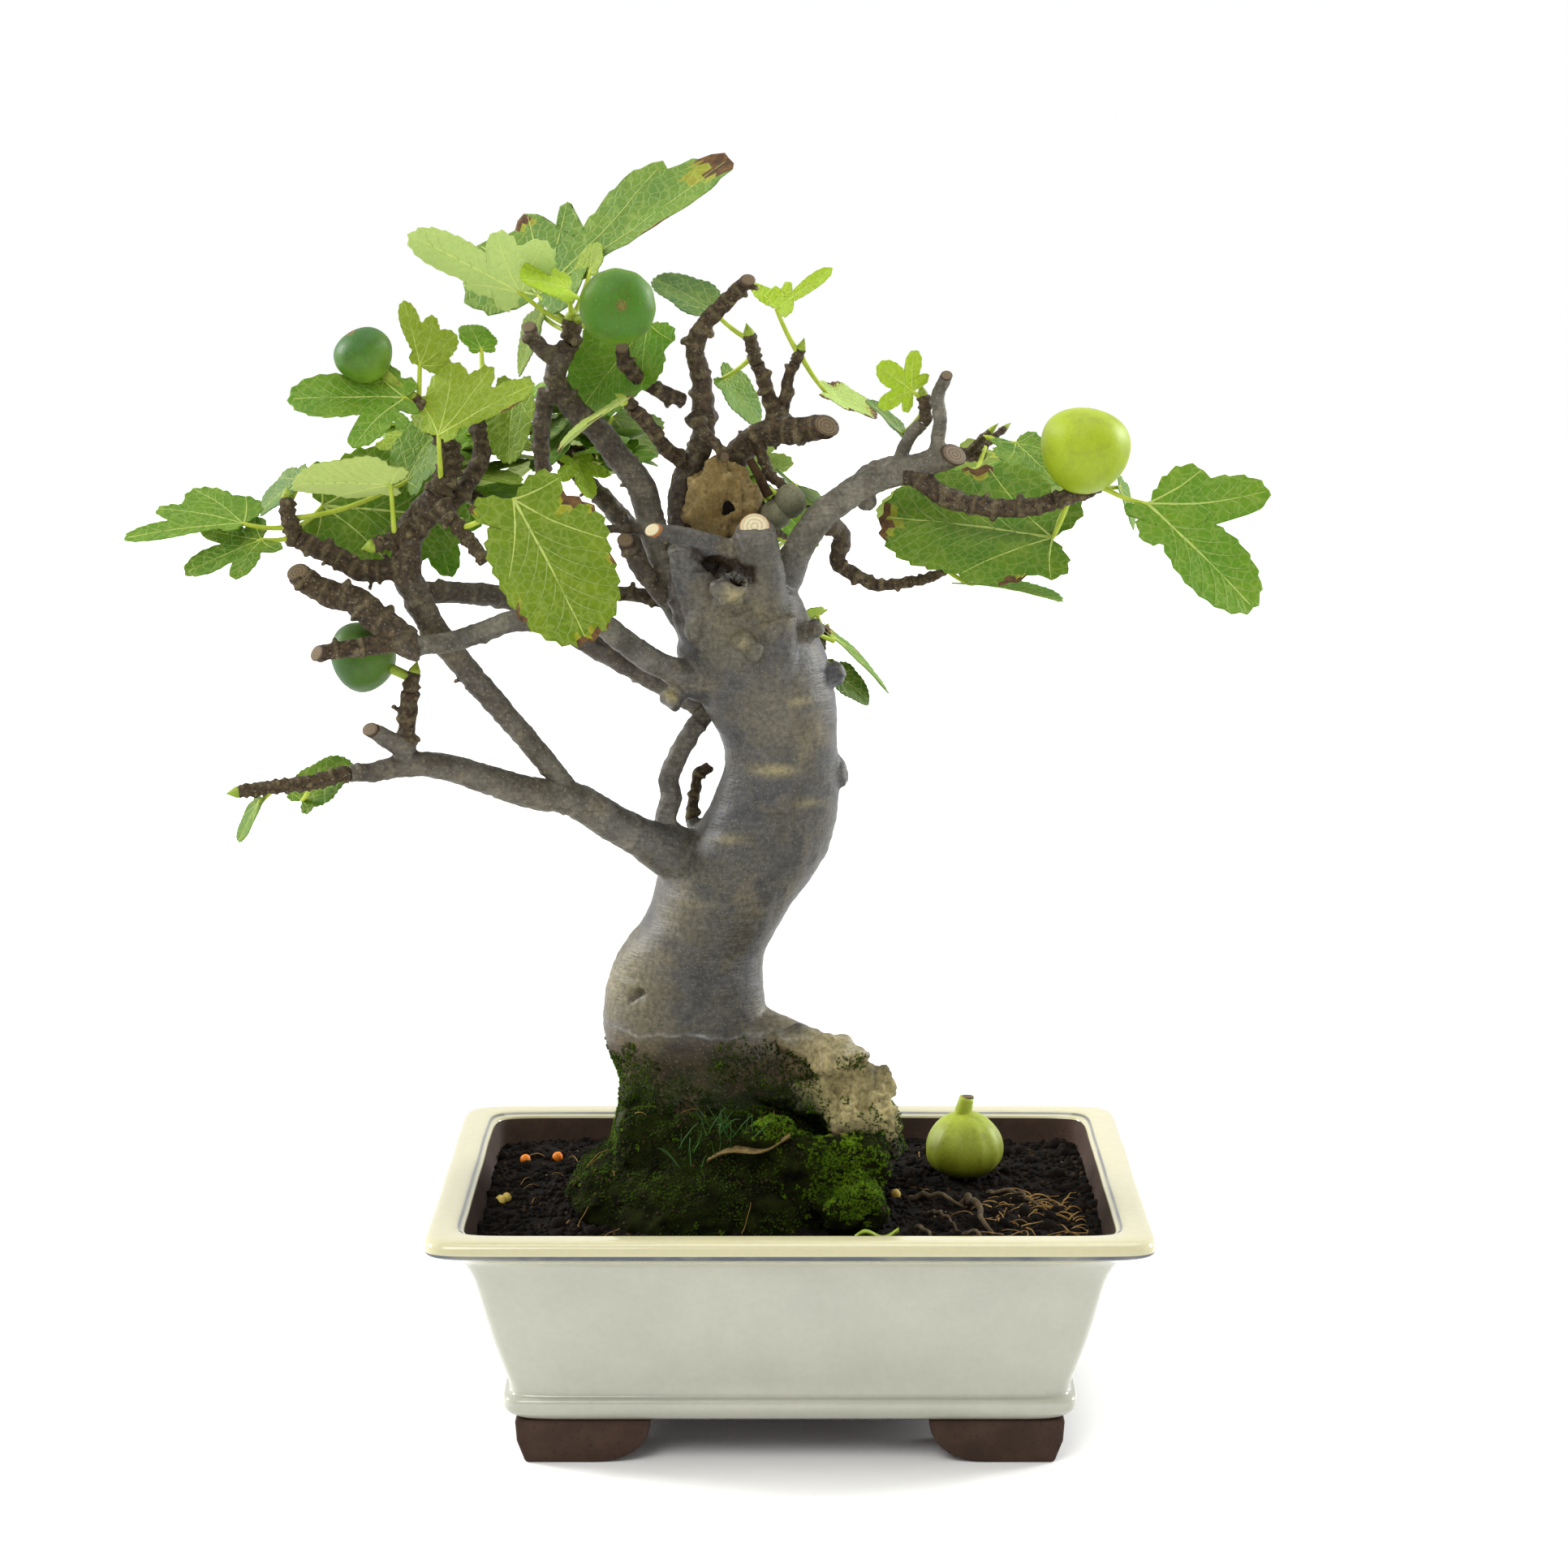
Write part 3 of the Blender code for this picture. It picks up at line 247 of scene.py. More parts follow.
MASSES = (
    Mass("leaves_right_tip", "bough_right_outer", ((12, -10, 18), (9, -7, 23)), (4.2, 3.4), leaves=(
        Leaf(1.0, (25, -12, -20), (74, -17, -43), 46, GLOVE, 0.95),
        Leaf(1.0, (14, 40, -7), (24, 46, -62), 58, OVAL, 0.9),
        Leaf(0.34, (27, 118, -55), (88, 166, 5), -45, OVAL, 0.85)),
        figs=(Fig(0.75, (19, -175, 84), 44, 42, (20, 80)),)),
    Mass("leaves_right_inner", "bough_right/1", ((7, -116, 82), (5, 180, 78)), (3.1, 2.8), leaves=(
        Leaf(0.9, (8, -146, 31), (25, -148, 33), -98, LOBED, 1.1),
        Leaf(0.5, (20, 136, -40), (25, 161, 42), -1, OVAL, 0.7))),
    Mass("leaves_right_low", "bough_right_low", ((10, -12, 20), (8, -17, 33)), (2.6, 2.2), leaves=(
        Leaf(0.88, (15, -29, -27), (49, -22, -7), -1, OVAL, 0.7),
        Leaf(0.63, (8, 59, 69), (15, 77, 33), -37, OVAL, 0.8))),
    Mass("leaves_centre", "centre_right_twig", ((8, -148, 76), (5, -140, 72)), (3.4, 3.0), leaves=(
        Leaf(0.8, (26, 146, 31), (36, 163, 27), -23, OVAL, 0.9),
        Leaf(0.3, (25, 137, -30), (32, 28, -48), 56, OVAL, 0.8))),
    Mass("leaves_centre_right", "centre_right_twig/0", ((5, -40, 67),), (2.7, 2.5), leaves=(
        Leaf(0.6, (26, -149, 60), (37, -24, 33), 60, CUP),
        Leaf(0.7, (26, 35, -51), (30, 17, -24), 29, OVAL, 0.8))),
    Mass("leaves_upper_left", "bough_upper_left", ((10, -73, 78),), (4.9, 4.2), leaves=(
        Leaf(0.85, (29, 132, 25), (120, 7, 34.5), 37, STRAP, 1.15, 5.5),
        Leaf(0.69, (30, -165, 33), (63, -164, 27), 54, HALF),
        Leaf(0.92, (19, -95, 57), (27, -148, 12), -33, OVAL, 1.2),
        Leaf(1.0, (26, 55, 56), (17, 72, 62), -28, OVAL, 1.15),
        Leaf(0.78, (43, 30, -1), (56, 170, -51), -63, OVAL, 0.95),
        Leaf(0.5, (36, 118, 10), (34, 150, -66), -50, OVAL, 0.8)),
        figs=(Fig(0.9, (34, -45, 14), 37, 32, (-80, 5)),)),
    Mass("leaves_left_top", "left_top_twig", ((11, 0, 83), (7, 0, 83)), (4.0, 3.2), leaves=(
        Leaf(0.62, (19, -25, 9), (38, -111, -77), 11, OVAL, 0.75),
        Leaf(0.94, (18, 97, 47), (21, 114, 32), 3, OVAL, 0.9))),
    Mass("leaves_left_post", "left_post", ((18, 20, 71), (18, -151, 63), (17, -159, 51)), (6.4, 3.2), leaves=(
        Leaf(0.1, (33, -88, 52), (53, -5, 28), 43, SIDED),
        Leaf(0.92, (19, 79, 80), (32, 152, 74), -29, SIDED, -1.0),
        Leaf(0.9, (11, -130, 26), (56, -172, -1), -44, MITTEN, 0.9)),
        figs=(Fig(0.97, (32, -170, 42), 28, 26, (-150, 60)),)),
    Mass("leaves_left_middle", "left_side_twig", ((8, -161, -21), (10, -162, -14)), (4.1, 3.7), leaves=(
        Leaf(0.45, (28, -97, 75), (48, -163, 2), 31, OVAL, 0.9),)),
    Mass("leaves_front", "front_twig", ((11, -17, -49), (11, -17, -52)), (3.6, 3.2), leaves=(
        Leaf(0.15, (36, -33, 26), (80, -37, -55), 30, EGG, 0.9),)),
    Mass("leaves_inner", "bough_centre/1", ((4, -157, 33),), (3.1, 2.6), leaves=(
        Leaf(0.8, (16, -100, 0), (40, -160, -35), 8, OVAL, 0.7),)),
    Mass("leaves_left_tip", "left_fork_high", ((10, 180, 73), (9, 103, 76)), (4.4, 3.4), leaves=(
        Leaf(0.34, (24, -156, 6), (58, -168, -6), -26, SIDED, -0.75),
        Leaf(0.1, (17, -153, -2), (41, -161, -23), -29, LOBED, 0.95),
        Leaf(0.85, (16, 56, 50), (29, 160, -37), -37, OVAL, 0.9),
        Leaf(0.3, (36, 72, 12), (74, 12, -6), 70, OVAL, 0.8),
        Leaf(0.52, (64, 29, 14), (44, 34, 55), 16, OVAL, 0.8))),
    Mass("fig_low_left", "low_left_upright", ((7, 32, 74),), (4.0, 3.2),
         figs=(Fig(0.7, (27, 165, 22), 34, 31, (170, -20)),)),
    Mass("leaves_low_left", "bough_low_left", ((17, -159, -11), (16, -158, -3), (19, -168, -6)), (3.7, 3.0),
         leaves=(
        Leaf(0.33, (18, 120, -39), (31, 24, 36), 33, OVAL, 0.8),
        Leaf(0.68, (10, -167, -43), (22, -158, -62), -6, OVAL, 0.7))),
    Mass("figs_spent", (-17, 30, 497), ((9, -60, -60), (14, -58, -52), (10, -20, -40)), (3.0, 2.4),
         figs=(Fig(0.98, (8, -30, -60), 16, 17, (0, -80)),)),
    Mass("leaves_back_right", "bough_back_right", ((13, 85, 20), (14, 85, 25)), (3.9, 3.2), leaves=(
        Leaf(0.38, (14, 27, -52), (28, 22, -38), 46, OVAL, 0.8),
        Leaf(0.83, (8, 31, 8), (44, 8, -46), 10, OVAL, 0.5)),
        space=((4, 112, 356), (36, 62, 58)), more=8),
    Mass("leaves_back", "bough_back", ((16, 84, 20), (14, 100, 30)), (4.6, 3.4),
         space=((-18, 135, 424), (48, 66, 66)), more=14),
    Mass("leaves_back_left", "bough_back_left", ((14, 150, 40), (14, 140, 45)), (4.4, 3.4),
         space=((-118, 105, 504), (64, 74, 66)), more=10),
    Mass("leaves_far_left", "bough_far_left", ((14, 150, 30), (14, 140, 30)), (3.7, 3.0),
         space=((-180, 62, 460), (64, 70, 62)), more=11),
    Mass("leaves_right_back", "bough_right_back", ((14, 40, 10), (14, 30, 0)), (3.9, 3.0),
         space=((106, 74, 442), (72, 70, 58)), more=14),
)

# Seeded foliage: the ranges that the source's rule draws from
TWIGS = 4
TWIG_LENGTH = (16, 34)
TWIG_RADII = (2.3, 1.7)
MORE_PETIOLE = (14, 30)
MORE_BLADE = (38, 66)
MORE_RISE = (-62, 8)
MORE_APART = 34.0
TRIES = 260

# Trunk: height, place across and in depth, half width, half depth
TRUNK = (
    (104, -42, 20, 54, 46), (134, -43, 20, 48, 43), (167, -46, 17, 42, 39), (197, -53.5, 15, 42.5, 37),
    (232, -50, 12, 37, 35), (254, -38, 9, 36, 35), (282, -25, 7, 40, 37), (304, -12, 5, 34, 33),
    (334, -4, 3, 28.5, 29), (360, -8, 2, 33, 31), (384, -17, 0, 37, 33), (404, -22, -1, 33, 30),
    (420, -23, -2, 27, 25), (430, -23, -2, 16, 14),
)
# Surface roots: start, legs, radii at both ends
ROOTS = (
    ((-22, 6, 185), ((32, -18, -15), (28, -15, -30), (34, -12, -64)), (24.5, 14.5)),
    ((-62, 38, 164), ((28, 130, -50), (30, 120, -42)), (17, 9)),
    ((-20, 40, 154), ((26, 50, -45), (26, 40, -38)), (16, 9)),
    ((-62, -4, 144), ((24, -130, -50), (20, -140, -40)), (16, 10)),
)
# How young the bark is at a limb's foot and tip, from 0 for smooth grey to 1 for dark knobbly shoots
AGES = {
    "head_right_prong": (0.0, 0.0), "head_left_prong": (0.0, 0.05), "bough_upper_left": (0.0, 0.75),
    "bough_centre": (0.3, 1.0), "bough_back_centre": (0.45, 1.0), "centre_right_twig": (1.0, 1.0),
    "bough_right": (0.0, 0.1), "bough_right_outer": (0.75, 0.95), "bough_right_low": (0.6, 1.0),
    "bough_low_left": (0.0, 0.35), "low_left_upright": (0.85, 0.95), "bough_left_riser": (0.1, 0.6),
    "left_post": (0.7, 0.85), "bough_front_left": (0.0, 0.15), "left_fork_low": (0.6, 1.0),
    "left_spur": (0.8, 1.0), "left_fork_high": (0.9, 1.0), "left_side_twig": (0.8, 0.9),
    "front_twig": (0.9, 0.95), "left_top_twig": (0.85, 0.95), "bough_lower_left": (0.3, 0.55),
    "head_left_spur": (0.35, 0.65), "left_middle_twig": (0.75, 0.95), "front_shoot": (0.1, 0.35),
    "dark_shoot": (0.9, 1.0), "bough_back": (0.1, 0.6), "bough_back_right": (0.1, 0.6),
    "bough_back_left": (0.1, 0.7), "bough_far_left": (0.3, 0.8), "bough_right_back": (0.2, 0.8),
}
# Which ends of a limb were pruned and show pale wood, by its own name or with the number of a stub
CUTS = (
    "head_right_prong", "head_left_prong/0", "bough_upper_left/1", "bough_centre", "bough_centre/0",
    "bough_centre/2", "bough_back_centre", "bough_right", "bough_right/0", "bough_low_left/0",
    "left_fork_low", "left_spur", "head_left_spur", "left_middle_twig",
)
# Cuts that are still pale
FRESH_CUTS = ("head_right_prong", "head_left_prong/0")
# How far some limbs narrow at their end, and how many millimetres others grow on into their neighbour
NARROWED = {"head_right_prong": 0.86, "head_left_prong/0": 0.55, "bough_centre": 0.85, "bough_low_left/0": 0.8, "left_spur": 0.8}
GROWN_ON = {"front_shoot": 7.0}
# Limbs that share one skin, with the size of its cells
SKINS = (
    ("trunk_bark", 1.45, ("head_right_prong", "head_left_prong")),
    ("wood_upper", 0.95, ("bough_upper_left", "bough_centre", "bough_back_centre", "centre_right_twig",
                          "head_left_spur", "left_middle_twig")),
    ("wood_right", 0.9, ("bough_right", "bough_right_outer", "bough_right_low", "bough_right_back")),
    ("wood_left", 0.95, ("bough_left_riser", "left_post", "bough_front_left", "left_fork_low", "left_spur",
                         "left_fork_high", "left_side_twig", "front_twig", "left_top_twig",
                         "bough_lower_left")),
    ("wood_low", 0.95, ("bough_low_left", "low_left_upright", "front_shoot", "dark_shoot")),
    ("wood_back", 1.15, ("bough_back", "bough_back_right", "bough_back_left", "bough_far_left")),
)


def heading(bearing: float, rise: float) -> Vector:
    """The unit vector of a bearing and a rise in degrees."""
    around, up = math.radians(bearing), math.radians(rise)
    return Vector((math.cos(up) * math.cos(around), math.cos(up) * math.sin(around), math.sin(up)))


def limited(value: float, low: float = 0.0, high: float = 1.0) -> float:
    """A value kept between two others."""
    return max(low, min(high, value))


def walk(start: tuple | Vector, legs: tuple) -> list[Vector]:
    """Follows legs of growth.

    Args:
        start: where they start.
        legs: length, bearing and rise of each.

    Returns:
        The points that they lead to, the start among them.
    """
    points = [Vector(start)]
    for length, bearing, rise in legs:
        points.append(points[-1] + heading(bearing, rise) * length)
    return points


def smooth(points: list[Vector], steps: int) -> list[Vector]:
    """Runs a Catmull-Rom line through points.

    Args:
        points: what the line passes through, of any number of axes.
        steps: the points that each leg gets.

    Returns:
        The line's points, the last given point among them.
    """
    ends = [points[0] * 2 - points[1], *points, points[-1] * 2 - points[-2]]
    line = []
    for a, b, c, d in zip(ends, ends[1:], ends[2:], ends[3:]):
        for step in range(steps):
            t = step / steps
            square, cube = (a * 2 - b * 5 + c * 4 - d) * t**2, (b * 3 - a - c * 3 + d) * t**3
            line.append((b * 2 + (c - a) * t + square + cube) / 2)
    return [*line, points[-1]]


def taper(radii: tuple, count: int) -> list[float]:
    """Radii that run evenly between both ends."""
    return [radii[0] + (radii[1] - radii[0]) * i / (count - 1) for i in range(count)]


def along(line: list[Vector], share: float) -> Vector:
    """Finds a place on a line.

    Args:
        line: its points.
        share: how far along it, as a share of its length.

    Returns:
        The place.
    """
    lengths = [(b - a).length for a, b in zip(line, line[1:])]
    left = share * sum(lengths)
    for a, b, length in zip(line, line[1:], lengths):
        if left <= length:
            return a.lerp(b, left / length)
        left -= length
    return line[-1].copy()


def line_of(start: tuple | str, legs: tuple, tips: dict, steps: int) -> list[Vector]:
    """The line of a limb or stem.

    Args:
        start: a place, or the name of the tip that it grows on from.
        legs: its legs of growth.
        tips: place and direction of each tip so far.
        steps: the points that each leg gets.

    Returns:
        The line's points.
    """
    if isinstance(start, str):
        tip, way = tips[start]
        return [tip + way * GAP, *smooth(walk(tip + way * (GAP + 2), legs), steps)]
    return smooth(walk(start, legs), steps)


def carried(line: list[Vector]) -> list[tuple[Vector, Vector, Vector]]:
    """Carries a cross along a line without a twist.

    Args:
        line: its points.

    Returns:
        Direction, side and over at each point.
    """
    last = len(line) - 1
    found = []
    side = None
    for i in range(last + 1):
        way = (line[min(i + 1, last)] - line[max(i - 1, 0)]).normalized()
        side = way.orthogonal() if side is None else side - way * side.dot(way)
        side.normalize()
        found.append((way, side.copy(), way.cross(side)))
    return found


class Graph:
    """A node tree that is being put together."""

    def __init__(self, tree: bpy.types.NodeTree) -> None:
        """Takes the tree that gets the nodes."""
        self.tree = tree

    def node(self, kind: str, settings: dict | None = None, **inputs: object) -> bpy.types.Node:
        """Adds a node.

        Args:
            kind: the node's type.
            settings: values of the node itself.
            inputs: a value or socket for each input, by its name with _ for a space, or i and its number.

        Returns:
            The node.
        """
        made = self.tree.nodes.new(kind)
        for key, value in (settings or {}).items():
            setattr(made, key, value)
        for key, value in inputs.items():
            socket = made.inputs[int(key[1:]) if key[1:].isdigit() else key.replace("_", " ")]
            if isinstance(value, bpy.types.NodeSocket):
                self.tree.links.new(value, socket)
            else:
                socket.default_value = value
        return made

    def math(self, operation: str, first: object, second: object = 0.0) -> bpy.types.NodeSocket:
        """The result of a Math node."""
        return self.node("ShaderNodeMath", {"operation": operation}, i0=first, i1=second).outputs[0]

    def mixed(self, share: object, first: object, second: object, blend: str = "MIX") -> bpy.types.NodeSocket:
        """A colour between two, or two colours blended."""
        settings = {"data_type": "RGBA", "blend_type": blend}
        return self.node("ShaderNodeMix", settings, i0=share, i6=first, i7=second).outputs[2]

    def spread(self, value: object, low: object, high: object, first: float = 0.0,
               last: float = 1.0) -> bpy.types.NodeSocket:
        """Maps the range from low to high onto another, and stops at its ends."""
        return self.node(
            "ShaderNodeMapRange", None, Value=value, From_Min=low, From_Max=high, To_Min=first, To_Max=last
        ).outputs["Result"]

    def place(self, stretch: tuple = (1, 1, 1)) -> bpy.types.NodeSocket:
        """The object's own coordinates, each stretched by a factor."""
        own = self.node("ShaderNodeTexCoord").outputs["Object"]
        return self.node("ShaderNodeVectorMath", {"operation": "MULTIPLY"}, i0=own, i1=stretch).outputs[0]

    def noise(self, scale: object, detail: float = 3.0, stretch: tuple = (1, 1, 1)) -> bpy.types.NodeSocket:
        """Noise over the object's own coordinates."""
        return self.node(
            "ShaderNodeTexNoise", None, Vector=self.place(stretch), Scale=scale, Detail=detail, Roughness=0.6
        ).outputs["Fac"]

    def value_of(self, name: str) -> bpy.types.NodeSocket:
        """A value that the mesh holds for each point."""
        return self.node("ShaderNodeAttribute", {"attribute_name": name}).outputs["Fac"]

    def height(self) -> bpy.types.NodeSocket:
        """The height above the ground, in metres."""
        return self.node("ShaderNodeSeparateXYZ", None, Vector=self.place()).outputs["Z"]


def grouped(name: str, inputs: dict[str, float], outputs: tuple[str, ...]) -> tuple[Graph, dict]:
    """Starts a shader node group.

    Args:
        name: its name.
        inputs: its inputs and their usual values.
        outputs: its outputs.

    Returns:
        Its graph, and the sockets that hand in its inputs.
    """
    tree = bpy.data.node_groups.new(name, "ShaderNodeTree")
    for title, value in inputs.items():
        tree.interface.new_socket(title, in_out="INPUT", socket_type="NodeSocketFloat").default_value = value
    for title in outputs:
        tree.interface.new_socket(title, in_out="OUTPUT", socket_type="NodeSocketFloat")
    graph = Graph(tree)
    return graph, graph.node("NodeGroupInput").outputs


def mottle() -> bpy.types.NodeTree:
    """Builds the group that gives every natural surface its patches and grain.

    Returns:
        The group, the same one at each call.
    """
    name = "patches and grain"
    if name not in bpy.data.node_groups:
        graph, given = grouped(name, {"Patch Scale": 40.0, "Grain Scale": 800.0}, ("Patches", "Grain", "Height"))
        patches = graph.noise(given["Patch Scale"])
        grain = graph.noise(given["Grain Scale"], 5.0)
        graph.node(
            "NodeGroupOutput", None,
            Patches=graph.spread(patches, 0.36, 0.64),
            Grain=graph.spread(grain, 0.3, 0.7),
            Height=graph.math("ADD", graph.math("MULTIPLY", patches, 0.4), graph.math("MULTIPLY", grain, 0.6)),
        )
    return bpy.data.node_groups[name]


def speckle() -> bpy.types.NodeTree:
    """Builds the group that gives small round spots.

    Returns:
        The group, the same one at each call.
    """
    name = "small spots"
    if name not in bpy.data.node_groups:
        graph, given = grouped(name, {"Scale": 600.0, "Size": 0.3}, ("Spots",))
        cells = graph.node("ShaderNodeTexVoronoi", None, Vector=graph.place(), Scale=given["Scale"])
        inner = graph.math("MULTIPLY", given["Size"], 0.7)
        spots = graph.spread(cells.outputs["Distance"], inner, given["Size"], 1.0, 0.0)
        graph.node("NodeGroupOutput", None, Spots=spots)
    return bpy.data.node_groups[name]


VEIN_PALE = tint(204, 214, 122)


@dataclass(frozen=True)
class Finish:
    """A natural surface: two colours in patches, darker in its grain, and perhaps specks of a third."""

    name: str
    first: Colour
    second: Colour
    specks: Colour | None = None
    patch: float = 60.0
    grain: float = 900.0
    spot: float = 300.0
    spot_size: float = 0.25
    spot_show: float = 0.5
    shade: float = 0.2
    roughness: float = 0.6
    bump: float = 0.35
    depth: float = 0.6
    coat: float = 0.0
    specular: float = 0.3

    def colour(self, graph: Graph, surface: bpy.types.Node) -> bpy.types.NodeSocket:
        """The surface's colour before its grain, from the material's graph and its mottle node."""
        return graph.mixed(surface.outputs["Patches"], self.first, self.second)

    def relief(self, graph: Graph, surface: bpy.types.Node) -> bpy.types.NodeSocket:
        """The height that its bump follows, from the same."""
        return surface.outputs["Height"]

    def rough(self, graph: Graph, surface: bpy.types.Node) -> bpy.types.NodeSocket:
        """How rough the surface is, from the same."""
        return graph.spread(surface.outputs["Grain"], 0.0, 1.0, self.roughness * 0.88, self.roughness * 1.12)

    def material(self) -> bpy.types.Material:
        """Makes the material at its first use.

        Returns:
            The material, the same one at each call.
        """
        if self.name in bpy.data.materials:
            return bpy.data.materials[self.name]
        made = bpy.data.materials.new(self.name)
        made.use_nodes = True
        graph = Graph(made.node_tree)
        shader = made.node_tree.nodes["Principled BSDF"]
        surface = graph.node(
            "ShaderNodeGroup", {"node_tree": mottle()}, Patch_Scale=self.patch, Grain_Scale=self.grain
        )
        grain = surface.outputs["Grain"]
        grey = graph.node("ShaderNodeCombineColor", None, Red=grain, Green=grain, Blue=grain).outputs["Color"]
        colour = graph.mixed(self.shade, self.colour(graph, surface), grey, "MULTIPLY")
        if self.specks:
            spots = graph.node(
                "ShaderNodeGroup", {"node_tree": speckle()}, Scale=self.spot, Size=self.spot_size
            ).outputs["Spots"]
            colour = graph.mixed(graph.math("MULTIPLY", spots, self.spot_show), colour, self.specks)
        bump = graph.node(
            "ShaderNodeBump", None, Strength=self.bump, Distance=self.depth * MM,
            Height=self.relief(graph, surface),
        )
        graph.tree.links.new(colour, shader.inputs["Base Color"])
        graph.tree.links.new(self.rough(graph, surface), shader.inputs["Roughness"])
        graph.tree.links.new(bump.outputs["Normal"], shader.inputs["Normal"])
        shader.inputs["Specular IOR Level"].default_value = self.specular
        shader.inputs["Coat Weight"].default_value = self.coat
        shader.inputs["Coat Roughness"].default_value = 0.06
        return made


@dataclass(frozen=True)
class BarkFinish(Finish):
    """Fig bark: smooth grey on old wood, dark brown on shoots, tan on scars, with painted shade in the hollows."""

    tinge: Colour = tint(80, 80, 90)
    warm: Colour = tint(126, 115, 86)
    # painted shade: this colour darkens the grooves of the fine wrinkles that the bump draws
    crease: Colour = tint(52, 48, 44)
    young: Colour = tint(38, 28, 19)
    young_light: Colour = tint(82, 67, 45)
    scuffed: Colour = tint(124, 112, 86)
    scar: Colour = tint(160, 147, 104)
    # dark brown painted shade for the trunk's hollows
    rot: Colour = tint(46, 33, 17)
    earthy: Colour = tint(86, 71, 47)
    damp: Colour = tint(44, 35, 20)
    mossy: Colour = tint(38, 54, 12)
    stain: Colour = tint(66, 61, 46)
    mark: Colour = tint(150, 152, 150)
    soil_mark: float = 0.0

    def colour(self, graph: Graph, surface: bpy.types.Node) -> bpy.types.NodeSocket:
        """The bark's colour by age, scar, the painted shade of the hollows and height, as Finish.colour."""
        grain, patches = surface.outputs["Grain"], surface.outputs["Patches"]
        old = graph.mixed(patches, self.first, self.second)
        if self.soil_mark:
            old = graph.mixed(graph.value_of("light"), old, graph.mixed(patches, BARK.first, BARK.second))
        old = graph.mixed(graph.spread(graph.noise(15.0, 2.0), 0.42, 0.64, 0.0, 0.4), old, self.tinge)
        old = graph.mixed(graph.spread(graph.noise(28.0, 4.0), 0.55, 0.7, 0.0, 0.6), old, self.warm)
        # painted shade in the wrinkles' grooves, on the same noise as the bump's wrinkles
        old = graph.mixed(graph.spread(graph.noise(1.0, 3.0, (70, 70, 760)), 0.3, 0.46, 0.4, 0.0), old, self.crease)
        old = graph.mixed(graph.spread(graph.noise(60.0, 5.0), 0.46, 0.62, 0.0, 0.65), old, self.stain)
        shoot = graph.mixed(grain, self.young, self.young_light)
        shoot = graph.mixed(graph.spread(graph.noise(160.0), 0.56, 0.7, 0.0, 0.5), shoot, self.scuffed)
        colour = graph.mixed(graph.spread(graph.value_of("age"), 0.12, 0.72), old, shoot)
        if self.soil_mark:
            colour = self.buried(graph, colour, patches)
        colour = graph.mixed(graph.value_of("scar"), colour, self.scar)
        # painted shade: the hollows are painted dark brown to stand for the shade inside them
        return graph.mixed(graph.value_of("rot"), colour, self.rot)

    def relief(self, graph: Graph, surface: bpy.types.Node) -> bpy.types.NodeSocket:
        """Fine wrinkles round the trunk besides the grain, as Finish.relief."""
        wrinkles = graph.math("MULTIPLY", graph.noise(1.0, 3.0, (70, 70, 760)), 0.9)
        return graph.math("ADD", surface.outputs["Height"], wrinkles)

    def rough(self, graph: Graph, surface: bpy.types.Node) -> bpy.types.NodeSocket:
        """Duller on shoots and below the soil mark, as Finish.rough."""
        low = graph.spread(graph.height(), self.soil_mark - 0.014, self.soil_mark, 0.95, 0.0)
        young = graph.math("MULTIPLY", graph.value_of("age"), 0.88)
        return graph.math("MAXIMUM", super().rough(graph, surface), graph.math("MAXIMUM", young, low))

    def buried(self, graph: Graph, colour: bpy.types.NodeSocket,
               patches: bpy.types.NodeSocket) -> bpy.types.NodeSocket:
        """Stains the bark below the soil mark, and draws the pale mark.

        Args:
            graph: the material's graph.
            colour: the bark's colour.
            patches: the surface's patches.

        Returns:
            The stained colour.
        """
        ragged = graph.math("MULTIPLY", graph.math("SUBTRACT", graph.noise(24.0, 3.0), 0.5), 0.018)
        level = graph.math("SUBTRACT", graph.math("ADD", graph.height(), ragged), self.soil_mark)
        earth = graph.mixed(patches, self.earthy, self.damp)
        green = graph.math("MULTIPLY", graph.spread(graph.noise(52.0, 4.0), 0.4, 0.52, 0.0, 0.9),
                           graph.spread(level, -0.035, -0.006, 1.0, 0.0))
        earth = graph.mixed(green, earth, self.mossy)
        colour = graph.mixed(graph.spread(level, -0.006, 0.001, 0.95, 0.0), colour, earth)
        broken = graph.spread(graph.noise(90.0, 2.0), 0.4, 0.6, 0.1, 0.6)
        near = graph.spread(graph.math("ABSOLUTE", level), 0.0003, 0.0015, 1.0, 0.0)
        return graph.mixed(graph.math("MULTIPLY", near, broken), colour, self.mark)


@dataclass(frozen=True)
class CutFinish(Finish):
    """Pruned wood: pale and ringed, orange-brown at its rim."""

    rim: Colour = tint(150, 96, 50)

    def colour(self, graph: Graph, surface: bpy.types.Node) -> bpy.types.NodeSocket:
        """Rings about the middle, from the share that the mesh holds, as Finish.colour."""
        share = graph.value_of("share")
        wobble = graph.math("ADD", share, graph.math("MULTIPLY", graph.noise(260.0), 0.25))
        wave = graph.math("SINE", graph.math("MULTIPLY", wobble, 22.0))
        wood = graph.mixed(graph.spread(wave, -0.4, 1.0), self.first, self.second)
        return graph.mixed(graph.spread(share, 0.86, 1.0), wood, self.rim)


